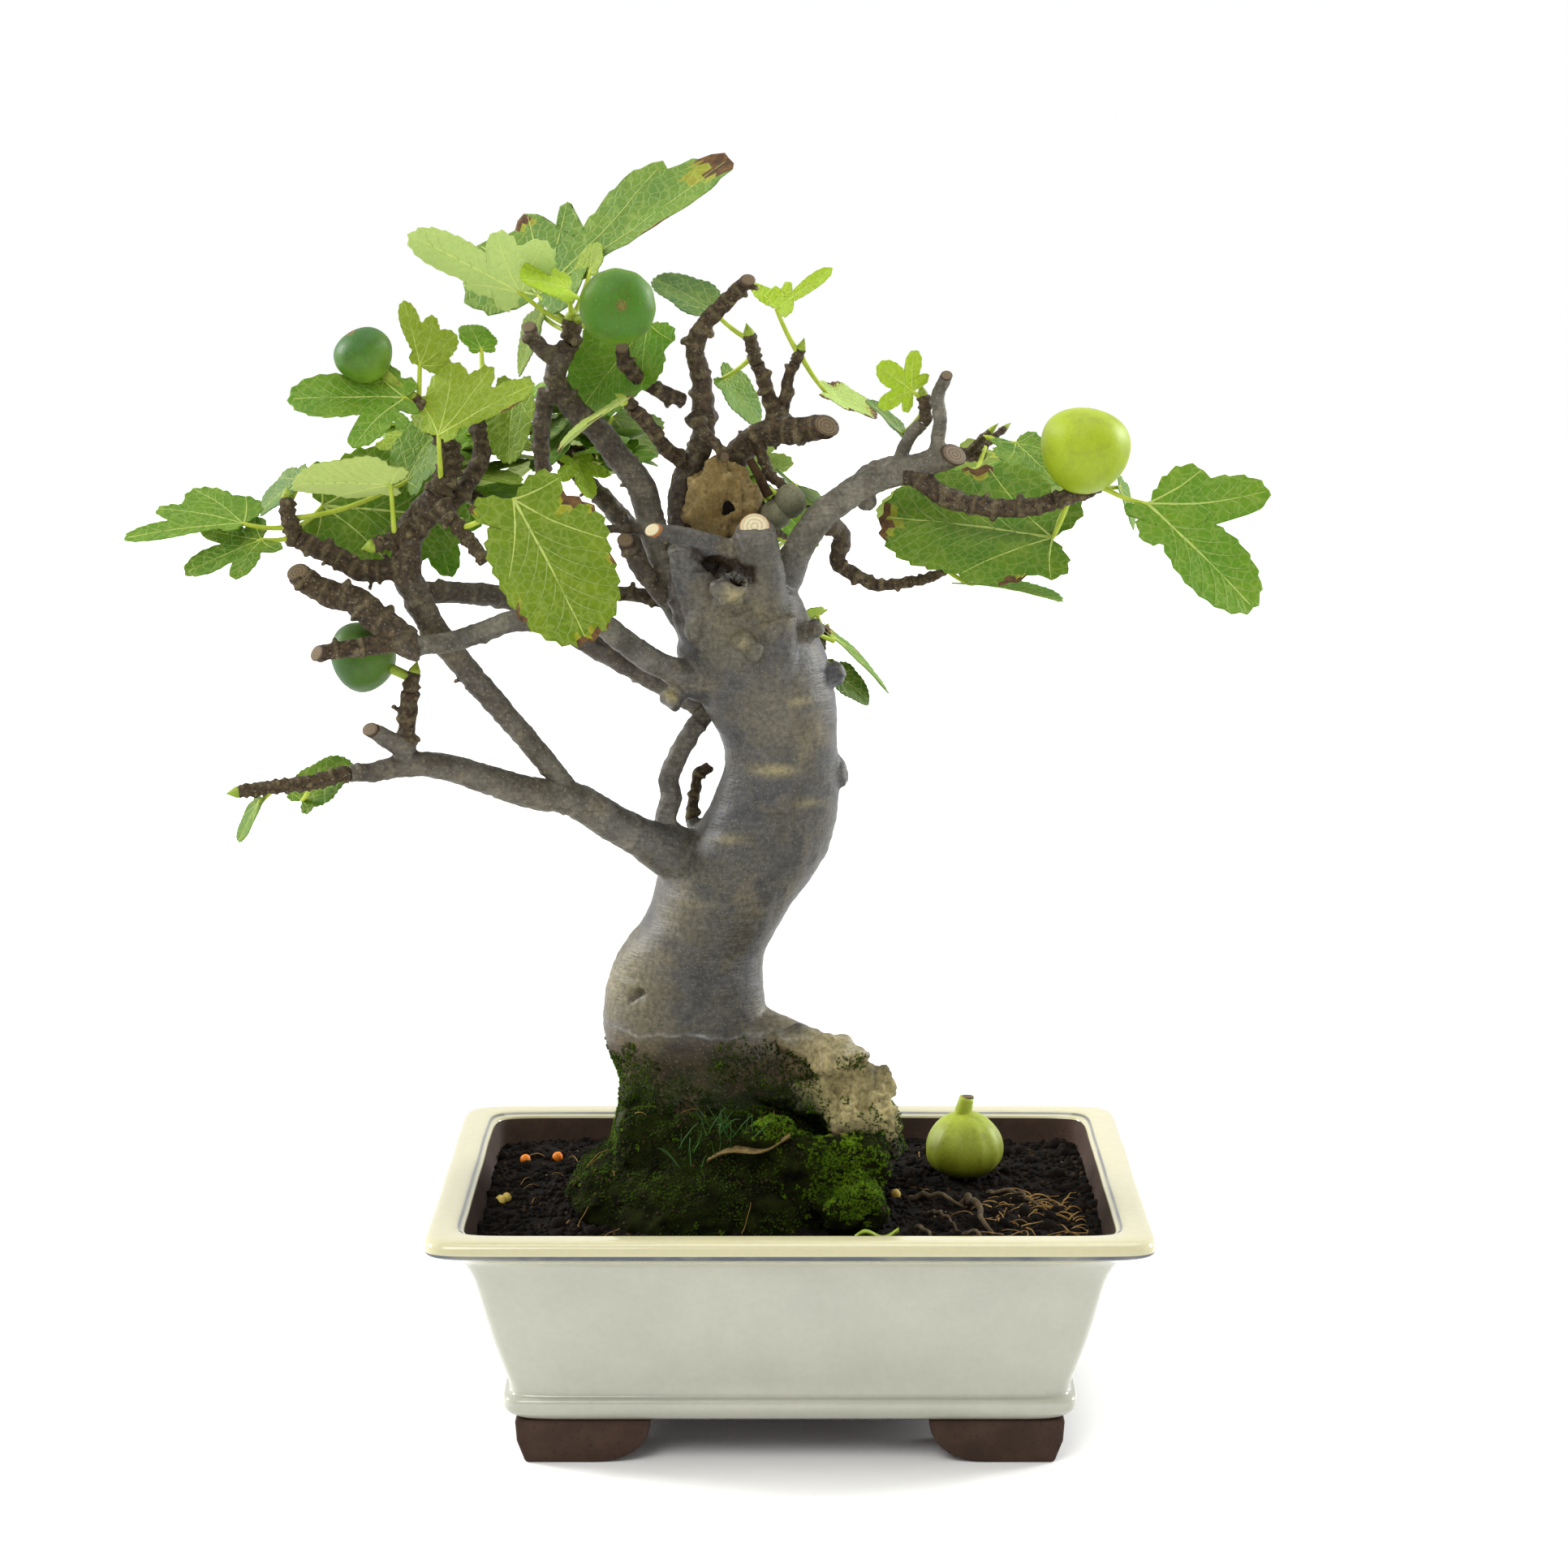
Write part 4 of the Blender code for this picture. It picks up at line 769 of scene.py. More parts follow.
@dataclass(frozen=True)
class LeafFinish(Finish):
    """A leaf's face: a fine net of paler veins with quilted fields between them."""

    specular: float = 0.16
    net: float = 210.0
    net_show: float = 0.3

    def lines(self, graph: Graph) -> bpy.types.NodeSocket:
        """The net, from 0 in a field to 1 on a vein."""
        cells = graph.node(
            "ShaderNodeTexVoronoi", {"feature": "DISTANCE_TO_EDGE"}, Vector=graph.place(), Scale=self.net
        ).outputs["Distance"]
        return graph.spread(cells, 0.0, 0.14, 1.0, 0.0)

    def colour(self, graph: Graph, surface: bpy.types.Node) -> bpy.types.NodeSocket:
        """Patches of two greens under the net, as Finish.colour."""
        share = graph.math("MULTIPLY", self.lines(graph), self.net_show)
        return graph.mixed(share, super().colour(graph, surface), toward(self.first, VEIN_PALE, 0.45))

    def relief(self, graph: Graph, surface: bpy.types.Node) -> bpy.types.NodeSocket:
        """Fields that stand up between the net's lines, as Finish.relief."""
        return graph.math("SUBTRACT", surface.outputs["Height"], graph.math("MULTIPLY", self.lines(graph), 0.7))


@dataclass(frozen=True)
class FigFinish(Finish):
    """Fig skin: its two colours run from stalk to eye, with paler flecks."""

    eye: Colour = tint(112, 104, 42)
    specular: float = 0.3

    def colour(self, graph: Graph, surface: bpy.types.Node) -> bpy.types.NodeSocket:
        """The skin's colour by the share from stalk to eye, as Finish.colour."""
        share = graph.value_of("share")
        wobble = graph.math("ADD", share, graph.math("MULTIPLY", graph.noise(70.0), 0.35))
        skin = graph.mixed(graph.spread(wobble, 0.35, 0.95), self.first, self.second)
        dull = graph.spread(graph.noise(120.0, 4.0), 0.5, 0.66, 0.0, 0.4)
        skin = graph.mixed(dull, skin, toward(self.second, tint(70, 66, 20), 0.5))
        return graph.mixed(graph.spread(share, 0.955, 0.985, 0.0, 0.8), skin, self.eye)


@dataclass(frozen=True)
class GlazeFinish(Finish):
    """Cream glaze: warmer on the lip, greyer on the wall, blue-grey where it breaks over an edge, and the same
    blue-grey as painted shade under the rolled lip, inside the rim and in the grooves.
    """

    lip: Colour = tint(186, 180, 144)
    # blue-grey of the glaze break, which also serves as painted shade
    broken: Colour = tint(50, 60, 72)
    lip_height: float = 0.1105

    def colour(self, graph: Graph, surface: bpy.types.Node) -> bpy.types.NodeSocket:
        """The glaze's colour by height and by the share that the mesh holds, as Finish.colour."""
        wall = graph.mixed(surface.outputs["Patches"], self.first, self.second)
        high = graph.spread(graph.height(), self.lip_height - 0.001, self.lip_height + 0.001)
        # glaze break and painted shade: the blue-grey follows the profile's shares under the lip, inside the rim and in
        # the grooves
        edge = graph.math("MULTIPLY", graph.spread(graph.value_of("share"), 0.5, 0.95),
                          graph.spread(graph.noise(30.0, 2.0), 0.3, 0.55, 0.75, 1.0))
        return graph.mixed(edge, graph.mixed(high, wall, self.lip), self.broken)


BARK = BarkFinish("grey bark", tint(90, 86, 75), tint(128, 123, 108), tint(158, 152, 134), patch=70.0,
                  grain=460.0, spot=420.0, spot_size=0.2, spot_show=0.3, roughness=0.58, bump=0.6, shade=0.5,
                  specular=0.25)
TRUNK_BARK = BarkFinish("trunk bark", tint(62, 61, 57), tint(100, 96, 84), tint(138, 132, 114), patch=60.0,
                        grain=420.0, spot=520.0, spot_size=0.22, spot_show=0.3, roughness=0.48, bump=0.8,
                        shade=0.65, specular=0.35, soil_mark=0.199, scar=tint(184, 170, 118))
CUT = CutFinish("pruned wood", tint(214, 202, 166), tint(186, 172, 136), patch=120.0, grain=1500.0, bump=0.3)
CUT_OLD = CutFinish("weathered cut", tint(116, 98, 70), tint(84, 68, 46), patch=120.0, grain=1500.0,
                    bump=0.5, shade=0.35, rim=tint(58, 42, 28))
BUD = Finish("green bud", tint(116, 138, 34), tint(146, 164, 54), tint(96, 72, 40), patch=260.0, bump=0.2)
PETIOLE = Finish("leaf stalk", tint(150, 168, 42), tint(170, 184, 62), patch=130.0, bump=0.1, shade=0.1)
DRY_EDGE = Finish("dry leaf edge", tint(70, 46, 24), tint(106, 76, 36), tint(44, 30, 18), patch=210.0,
                  roughness=0.75, bump=0.5)
GLAZE = GlazeFinish("cream glaze", tint(160, 161, 147), tint(168, 168, 154), tint(120, 120, 104), patch=16.0,
                    grain=260.0, spot=110.0, spot_size=0.03, spot_show=0.6, shade=0.05, roughness=0.16,
                    bump=0.05, depth=0.5, coat=0.4, specular=0.5)
CLAY = Finish("bare brown clay", tint(54, 37, 27), tint(68, 49, 37), tint(36, 26, 20), patch=55.0, grain=1300.0,
              roughness=0.82, bump=0.5, shade=0.3)
SOIL = Finish("dark soil", tint(14, 11, 8), tint(26, 20, 14), tint(9, 7, 5), patch=120.0, grain=1000.0,
              roughness=0.95, bump=0.9, shade=0.5, specular=0.1)
CRUMB_DARK = Finish("dark crumbs", tint(12, 9, 7), tint(28, 21, 15), patch=130.0, grain=1800.0, roughness=0.95,
                    bump=0.6, shade=0.4, specular=0.1)
CRUMB_BROWN = Finish("brown crumbs", tint(40, 29, 19), tint(68, 51, 33), patch=200.0, grain=1800.0,
                     roughness=0.95, bump=0.6, shade=0.4, specular=0.1)
CRUMB_PALE = Finish("pale grit", tint(96, 84, 62), tint(122, 108, 82), patch=300.0, grain=1800.0,
                    roughness=0.9, bump=0.5, shade=0.3, specular=0.1)
MOSS_BED = Finish("moss bed", tint(15, 14, 7), tint(34, 40, 10), tint(34, 25, 14), patch=110.0, grain=1400.0,
                  roughness=0.95, bump=0.9, shade=0.5, specular=0.05)
MOSS_DARK = Finish("dark moss", tint(28, 40, 8), tint(68, 92, 15), patch=50.0, grain=900.0, roughness=0.85,
                   bump=0.2, specular=0.1)
MOSS_LIGHT = Finish("bright moss", tint(62, 92, 12), tint(104, 136, 22), patch=60.0, grain=900.0,
                    roughness=0.8, bump=0.2, specular=0.1)
FIG_EYE = Finish("fig eye scales", tint(122, 116, 48), tint(92, 74, 34), patch=300.0, bump=0.3)
BLADE_GRASS = Finish("grass blade", tint(30, 62, 18), tint(52, 92, 30), patch=90.0, roughness=0.6, bump=0.2)
FIBRE = Finish("dry rootlets", tint(118, 88, 42), tint(160, 126, 70), patch=120.0, roughness=0.9, bump=0.3)
ROOT = Finish("thin root", tint(66, 54, 36), tint(100, 84, 60), patch=200.0, roughness=0.9, bump=0.5, shade=0.4)
HUSK = Finish("dry husk", tint(116, 95, 50), tint(152, 131, 84), tint(70, 50, 26), patch=110.0, grain=700.0,
              spot=190.0, roughness=0.85, bump=0.8, shade=0.45)
PELLET = Finish("orange pellet", tint(222, 112, 12), tint(234, 138, 26), patch=300.0, roughness=0.55, bump=0.1)
PELLET_PALE = Finish("yellow pellet", tint(196, 164, 66), tint(214, 188, 98), patch=300.0, roughness=0.6,
                     bump=0.1)
FLOOR = Finish("pale floor", tint(250, 250, 250), tint(251, 251, 251), patch=1.5, grain=40.0, roughness=0.8,
               bump=0.0, shade=0.01)


class Tone(Enum):
    """Leaf colours."""

    GREY = tint(90, 124, 52)
    PALE = tint(166, 192, 106)
    CREAM = tint(152, 170, 84)
    YOUNG = tint(152, 183, 34)
    YELLOW = tint(120, 143, 32)
    OLIVE = tint(92, 119, 15)
    BRIGHT = tint(84, 134, 26)
    FRESH = tint(84, 128, 27)
    MATURE = tint(72, 112, 19)
    DEEP = tint(44, 78, 20)
    BLUISH = tint(72, 108, 54)

    def faces(self) -> tuple[Finish, Finish, Finish, Finish]:
        """Names the finishes of a leaf of this colour.

        Returns:
            The upper face, the lower face, the yellowing margin and the veins.
        """
        upper, word = self.value, self.name.lower()
        lower = toward(upper, tint(168, 186, 112), 0.34)
        margin = toward(upper, tint(164, 158, 34), 0.5)
        vein = toward(upper, VEIN_PALE, 0.55)
        return (
            LeafFinish(f"{word} leaf", upper, toward(upper, tint(150, 166, 32), 0.2), toward(upper, CRUMB_DARK.first, 0.4),
                   patch=60.0, grain=600.0, spot=260.0, spot_size=0.16, spot_show=0.25, roughness=0.55, bump=0.6,
                       depth=0.5, shade=0.25, net_show=0.12 if max(upper) > max(tint(150, 150, 150)) else 0.3),
            LeafFinish(f"{word} leaf underside", lower, toward(lower, tint(190, 204, 120), 0.15), patch=90.0,
                   grain=700.0, roughness=0.6, bump=0.35, depth=0.35, shade=0.14),
            LeafFinish(f"{word} leaf margin", margin, toward(margin, tint(130, 104, 34), 0.4), patch=150.0,
                   roughness=0.55, bump=0.3, depth=0.3, shade=0.15),
            Finish(f"{word} leaf vein", vein, toward(vein, VEIN_PALE, 0.2), patch=90.0, bump=0.1, shade=0.08,
                   specular=0.16),
        )


class Skin(Enum):
    """Fig colours, each from the stalk's end to the eye's."""

    LIME = FigFinish("lime fig skin", tint(130, 150, 16), tint(154, 172, 30), tint(176, 190, 60), spot_size=0.14,
                     roughness=0.5, bump=0.25, shade=0.14, spot_show=0.35)
    GREEN = FigFinish("green fig skin", tint(122, 146, 28), tint(64, 110, 13), tint(112, 140, 34), spot_size=0.15,
                      roughness=0.5, bump=0.3, shade=0.2, spot_show=0.4)
    DEEP = FigFinish("deep green fig skin", tint(80, 112, 26), tint(36, 78, 12), tint(84, 116, 36),
                     spot_size=0.15, roughness=0.5, bump=0.3, shade=0.2, spot_show=0.4)
    TOPPED = FigFinish("pale topped fig skin", tint(112, 146, 40), tint(42, 90, 11), tint(96, 132, 40),
                       spot_size=0.15, roughness=0.5, bump=0.3, shade=0.2, spot_show=0.4)
    DULL = FigFinish("fallen fig skin", tint(152, 166, 44), tint(116, 122, 24), tint(170, 176, 80),
                     spot_size=0.13, roughness=0.5, bump=0.35, shade=0.2, spot_show=0.35, eye=tint(90, 70, 34))
    SPENT = FigFinish("spent fig skin", tint(124, 122, 96), tint(104, 104, 80), tint(80, 70, 50), patch=110.0,
                      roughness=0.8, bump=0.7, shade=0.4)


# The colour, the share of dry edge and perhaps of burnt tip of each leaf, in the order of its mass
DRESS = {
    "leaves_right_tip": ((Tone.FRESH, 0.06), (Tone.FRESH, 0.05), (Tone.MATURE, 0.3, 0.05)),
    "leaves_right_inner": ((Tone.YOUNG, 0.1), (Tone.BLUISH, 0.05)),
    "leaves_right_low": ((Tone.FRESH, 0.15), (Tone.PALE, 0.1)),
    "leaves_centre": ((Tone.BLUISH, 0.2), (Tone.FRESH, 0.05)),
    "leaves_centre_right": ((Tone.YOUNG, 0.15), (Tone.PALE, 0.5, 0.12)),
    "leaves_upper_left": ((Tone.GREY, 0.36, 0.09), (Tone.PALE, 0.0), (Tone.YOUNG, 0.0), (Tone.YELLOW, 0.2),
                          (Tone.BRIGHT, 0.0), (Tone.OLIVE, 0.1)),
    "leaves_left_top": ((Tone.OLIVE, 0.3), (Tone.BRIGHT, 0.0)),
    "leaves_left_post": ((Tone.YELLOW, 0.35), (Tone.YELLOW, 0.15), (Tone.FRESH, 0.15)),
    "leaves_left_middle": ((Tone.CREAM, 0.05),),
    "leaves_front": ((Tone.OLIVE, 0.42, 0.04),),
    # The inner leaf's pale cream tone is painted light: it stands for light falling on a leaf that sits in shade.
    "leaves_inner": ((Tone.CREAM, 0.4, 0.06),),
    "leaves_left_tip": ((Tone.FRESH, 0.05), (Tone.MATURE, 0.1), (Tone.BLUISH, 0.0), (Tone.MATURE, 0.0),
                        (Tone.MATURE, 0.0)),
    "leaves_low_left": ((Tone.MATURE, 0.0), (Tone.MATURE, 0.1)),
    "leaves_back_right": ((Tone.DEEP, 0.0), (Tone.FRESH, 0.5)),
}
MORE_TONES = (Tone.FRESH, Tone.MATURE, Tone.BRIGHT, Tone.OLIVE, Tone.MATURE, Tone.DEEP, Tone.YELLOW)
FIG_SKINS = {"leaves_right_tip": Skin.LIME, "leaves_upper_left": Skin.GREEN, "leaves_left_post": Skin.TOPPED,
             "fig_low_left": Skin.DEEP, "figs_spent": Skin.SPENT}


@dataclass
class Shell:
    """Points and faces of one piece, in the pot's millimetres, with a finish for each face."""

    points: list[Vector] = field(default_factory=list)
    faces: list[tuple[int, ...]] = field(default_factory=list)
    slots: list[int] = field(default_factory=list)
    shares: list[float] = field(default_factory=list)
    materials: list[bpy.types.Material] = field(default_factory=list)

    def slot_of(self, finish: Finish) -> int:
        """The number of a finish's material in this piece."""
        material = finish.material()
        if material not in self.materials:
            self.materials.append(material)
        return self.materials.index(material)

    def add(self, points: list[Vector], faces: list, finish: Finish, shares: list[float] | None = None) -> None:
        """Adds points, and faces that number them from 0."""
        start = len(self.points)
        self.points += points
        self.faces += [tuple(start + i for i in face) for face in faces]
        self.slots += [self.slot_of(finish)] * len(faces)
        self.shares += shares or [0.0] * len(points)

    def loft(self, rings: list[list[Vector]], finish: Finish, shares: list[float] | None = None,
             bands: list[Finish] | None = None) -> None:
        """Adds a closed skin over rings of points.

        Args:
            rings: rings of one count, each counterclockwise as seen from where they lead to.
            finish: the finish of all its faces.
            shares: a value for each ring.
            bands: a finish for the first end, each band and the last end, where they differ.
        """
        count = len(rings[0])
        faces = [tuple(reversed(range(count)))]
        for row in range(len(rings) - 1):
            low, high = row * count, (row + 1) * count
            for i in range(count):
                j = (i + 1) % count
                faces.append((low + i, low + j, high + j, high + i))
        faces.append(tuple(range((len(rings) - 1) * count, len(rings) * count)))
        values = [share for share in shares or [0.0] * len(rings) for _ in range(count)]
        self.add([point for ring in rings for point in ring], faces, finish, values)
        if bands:
            slots = [self.slot_of(band) for band in bands]
            self.slots[-len(faces):] = [slots[0], *(s for s in slots[1:-1] for _ in range(count)), slots[-1]]

    def tube(self, line: list[Vector], radii: list[float], sides: int, finish: Finish,
             shares: list[float] | None = None, swell: object = None, slant: Vector | None = None,
             slant_from: int = -1) -> None:
        """Adds a closed tube along a line.

        Args:
            line: its points.
            radii: its radius at each point.
            sides: the points round it.
            finish: its finish.
            shares: a value for each point of the line.
            swell: a function of the point's number and the angle that gives a factor for the radius.
            slant: the side on which its end is cut back, as long as the cut is steep, or None.
            slant_from: the number of the first ring that is slanted.
        """
        rings = []
        for number, (point, (way, side, over), radius) in enumerate(zip(line, carried(line), radii)):
            slanted = slant is not None and number >= slant_from % len(line)
            ring = []
            for i in range(sides):
                angle = i * math.tau / sides
                out = side * math.cos(angle) + over * math.sin(angle)
                far = radius * (swell(number, angle) if swell else 1.0)
                ring.append(point + out * far - way * (far * slant.dot(out) if slanted else 0.0))
            rings.append(ring)
        self.loft(rings, finish, shares)

    def blob(self, middle: Vector, radii: tuple[float, float, float], finish: Finish, rough: float = 0.0,
             sides: int = 10, bands: int = 6, axis: Vector | None = None, share: float = 0.0) -> None:
        """Adds a closed rounded lump.

        Args:
            middle: its middle.
            radii: its half sizes, the last one along its axis.
            finish: its finish.
            rough: how uneven it is, as a share of its size.
            sides: the points round it.
            bands: the bands from end to end.
            axis: where its last half size points, or None for up.
            share: the value of all its points.
        """
        turn = (axis or Vector((0, 0, 1))).to_track_quat("Z", "Y").to_matrix()
        rings = []
        for band in range(bands + 1):
            tilt = math.pi * limited(band / bands, 0.04, 0.96)
            ring = []
            for i in range(sides):
                angle = i * math.tau / sides
                way = Vector((math.sin(tilt) * math.cos(angle), math.sin(tilt) * math.sin(angle), -math.cos(tilt)))
                size = 1 + rough * noise.noise(way * 1.7 + middle * 0.37)
                ring.append(middle + turn @ Vector([w * r * size for w, r in zip(way, radii)]))
            rings.append(ring)
        self.loft(rings, finish, [share] * len(rings))

    def mesh(self, name: str, place: Vector = POT_PLACE) -> bpy.types.Mesh:
        """The gathered faces as a mesh in metres, moved by a place in millimetres."""
        mesh = bpy.data.meshes.new(name)
        mesh.from_pydata([(point + place) * MM for point in self.points], [], self.faces)
        for material in self.materials:
            mesh.materials.append(material)
        mesh.polygons.foreach_set("material_index", self.slots)
        mesh.attributes.new("share", "FLOAT", "POINT").data.foreach_set("value", self.shares)
        mesh.shade_smooth()
        return mesh


def settle(mesh: bpy.types.Mesh, name: str, slot: str, nodes: tuple[str, ...] = ()) -> bpy.types.Object:
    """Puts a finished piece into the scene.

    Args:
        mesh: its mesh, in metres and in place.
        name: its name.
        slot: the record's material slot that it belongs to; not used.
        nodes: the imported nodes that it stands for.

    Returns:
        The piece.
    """
    mesh.name = name
    piece = bpy.data.objects.new(name, mesh)
    bpy.context.scene.collection.objects.link(piece)
    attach(piece, BODY)
    if nodes:
        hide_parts(*nodes)
    log.info("%s: %d faces", name, len(mesh.polygons))
    return piece


def loose(mesh: bpy.types.Mesh, name: str) -> bpy.types.Object:
    """An object for work in between, at the origin."""
    item = bpy.data.objects.new(name, mesh)
    bpy.context.scene.collection.objects.link(item)
    return item


def worked(item: bpy.types.Object) -> bpy.types.Mesh:
    """The mesh that an object's modifiers leave, with the object removed."""
    graph = bpy.context.evaluated_depsgraph_get()
    mesh = bpy.data.meshes.new_from_object(item.evaluated_get(graph))
    bpy.data.objects.remove(item, do_unlink=True)
    return mesh


def run_together(mesh: bpy.types.Mesh, cell: float, rounds: int) -> bpy.types.Mesh:
    """Runs overlapping parts into one even skin.

    Args:
        mesh: the parts, in metres and in place.
        cell: the size of the skin's cells, in millimetres.
        rounds: how often it is smoothed.

    Returns:
        The skin.
    """
    item = loose(mesh, "parts")
    skin = item.modifiers.new("skin", "REMESH")
    skin.mode = "VOXEL"
    skin.voxel_size = cell * MM
    even = item.modifiers.new("even", "SMOOTH")
    even.factor = 0.5
    even.iterations = rounds
    return worked(item)


def tree_of(mesh: bpy.types.Mesh) -> BVHTree:
    """A search tree of a mesh's faces, in metres."""
    return BVHTree.FromPolygons([v.co for v in mesh.vertices], [tuple(p.vertices) for p in mesh.polygons])


def part_of(mesh: bpy.types.Mesh, keep: object) -> bpy.types.Mesh:
    """Takes out the faces of a mesh that a test keeps.

    Args:
        mesh: the mesh, in metres and in place.
        keep: a function of a face's middle, in the pot's millimetres, and its normal.

    Returns:
        The faces as an open surface.
    """
    shell = Shell()
    coords = [vertex.co / MM - POT_PLACE for vertex in mesh.vertices]
    for face in mesh.polygons:
        if keep(face.center / MM - POT_PLACE, face.normal):
            shell.add([coords[i] for i in face.vertices], [tuple(range(len(face.vertices)))], SOIL)
    return shell.mesh("part")


def start_tree(name: str, inputs: dict[str, str]) -> tuple[Graph, dict]:
    """Starts a geometry node tree that works on a mesh.

    Args:
        name: its name.
        inputs: the kind of each further input, by the input's name.

    Returns:
        Its graph, and the sockets that hand in its inputs.
    """
    tree = bpy.data.node_groups.new(name, "GeometryNodeTree")
    for title, kind in {"Base": "Geometry", **inputs, "Finish": "Material"}.items():
        tree.interface.new_socket(title, in_out="INPUT", socket_type=f"NodeSocket{kind}")
    tree.interface.new_socket("Parts", in_out="OUTPUT", socket_type="NodeSocketGeometry")
    graph = Graph(tree)
    return graph, graph.node("NodeGroupInput").outputs


def end_tree(graph: Graph, given: dict, parts: bpy.types.NodeSocket) -> bpy.types.NodeTree:
    """Ends a geometry node tree with real parts that have their finish.

    Args:
        graph: its graph.
        given: the sockets of its inputs.
        parts: the geometry that it has made.

    Returns:
        The tree.
    """
    real = graph.node("GeometryNodeRealizeInstances", None, Geometry=parts).outputs["Geometry"]
    done = graph.node("GeometryNodeSetMaterial", None, Geometry=real, Material=given["Finish"])
    graph.node("NodeGroupOutput", None, Parts=done.outputs["Geometry"])
    return graph.tree


def strewn_tree() -> bpy.types.NodeTree:
    """Builds the tree that strews copies of a part over a surface.

    Returns:
        The tree, which keeps only the copies.
    """
    graph, given = start_tree("strewn parts", {
        "Part": "Object", "Density": "Float", "Smallest": "Float", "Largest": "Float", "Lean": "Float",
        "Seed": "Int",
    })
    spread = graph.node(
        "GeometryNodeDistributePointsOnFaces", None, Mesh=given["Base"], Density=given["Density"],
        Seed=given["Seed"],
    ).outputs
    size = graph.node(
        "FunctionNodeRandomValue", {"data_type": "FLOAT"}, i2=given["Smallest"], i3=given["Largest"],
        Seed=given["Seed"],
    ).outputs[1]
    lean = graph.node("ShaderNodeCombineXYZ", None, X=given["Lean"], Y=given["Lean"], Z=math.pi).outputs[0]
    back = graph.node("ShaderNodeVectorMath", {"operation": "SCALE"}, i0=lean, Scale=-1.0).outputs[0]
    angles = graph.node(
        "FunctionNodeRandomValue", {"data_type": "FLOAT_VECTOR"}, i0=back, i1=lean, Seed=given["Seed"]
    ).outputs[0]
    turn = graph.node("FunctionNodeEulerToRotation", None, Euler=angles).outputs[0]
    stand = graph.node(
        "FunctionNodeRotateRotation", {"rotation_space": "LOCAL"}, Rotation=spread["Rotation"], Rotate_By=turn
    ).outputs[0]
    part = graph.node("GeometryNodeObjectInfo", None, Object=given["Part"]).outputs["Geometry"]
    copies = graph.node(
        "GeometryNodeInstanceOnPoints", None, Points=spread["Points"], Instance=part, Rotation=stand, Scale=size
    ).outputs["Instances"]
    return end_tree(graph, given, copies)


def swept_tree() -> bpy.types.NodeTree:
    """Builds the tree that sweeps a round section along lines, as thick as the lines' points say.

    Returns:
        The tree.
    """
    graph, given = start_tree("swept strands", {"Sides": "Int"})
    paths = graph.node("GeometryNodeMeshToCurve", None, Mesh=given["Base"]).outputs["Curve"]
    thick = graph.node("GeometryNodeInputNamedAttribute", None, Name="thick").outputs["Attribute"]
    section = graph.node("GeometryNodeCurvePrimitiveCircle", None, Resolution=given["Sides"]).outputs["Curve"]
    tubes = graph.node(
        "GeometryNodeCurveToMesh", None, Curve=paths, Profile_Curve=section, Scale=thick, Fill_Caps=True
    ).outputs["Mesh"]
    return end_tree(graph, given, tubes)


def uneven_tree() -> bpy.types.NodeTree:
    """Builds the tree that gives a piece hollows and humps along its normals.

    Returns:
        The tree.
    """
    graph, given = start_tree("uneven ground", {"Height": "Float", "Scale": "Float", "Seed": "Int"})
    place = graph.node("GeometryNodeInputPosition").outputs[0]
    normal = graph.node("GeometryNodeInputNormal").outputs[0]
    hills = graph.node(
        "ShaderNodeTexNoise", {"noise_dimensions": "4D"}, Vector=place, W=given["Seed"], Scale=given["Scale"],
        Detail=5.0, Roughness=0.62,
    ).outputs["Fac"]
    rise = graph.math("MULTIPLY", graph.spread(hills, 0.25, 0.75, -1.0, 1.0), given["Height"])
    shift = graph.node("ShaderNodeVectorMath", {"operation": "SCALE"}, i0=normal, Scale=rise).outputs[0]
    moved = graph.node("GeometryNodeSetPosition", None, Geometry=given["Base"], Offset=shift)
    return end_tree(graph, given, moved.outputs["Geometry"])


TREES = {"strewn parts": strewn_tree, "swept strands": swept_tree, "uneven ground": uneven_tree}


def ruled(name: str, base: bpy.types.Mesh, finish: Finish, **values: object) -> bpy.types.Mesh:
    """Runs one of the geometry node trees over a mesh.

    Args:
        name: the tree's name.
        base: the mesh, in metres and in place.
        finish: what the parts get.
        values: the tree's other inputs by name, where a mesh is handed in as an object.

    Returns:
        The parts as one mesh.
    """
    item = loose(base, "base")
    models = {key: loose(value, key) for key, value in values.items() if isinstance(value, bpy.types.Mesh)}
    values = {**values, **models, "Finish": finish.material()}
    work = item.modifiers.new("rule", "NODES")
    work.node_group = bpy.data.node_groups.get(name) or TREES[name]()
    for socket in work.node_group.interface.items_tree:
        if socket.in_out == "INPUT" and socket.name in values:
            work[socket.identifier] = values[socket.name]
    mesh = worked(item)
    for model in models.values():
        bpy.data.objects.remove(model, do_unlink=True)
    mesh.shade_smooth()
    return mesh


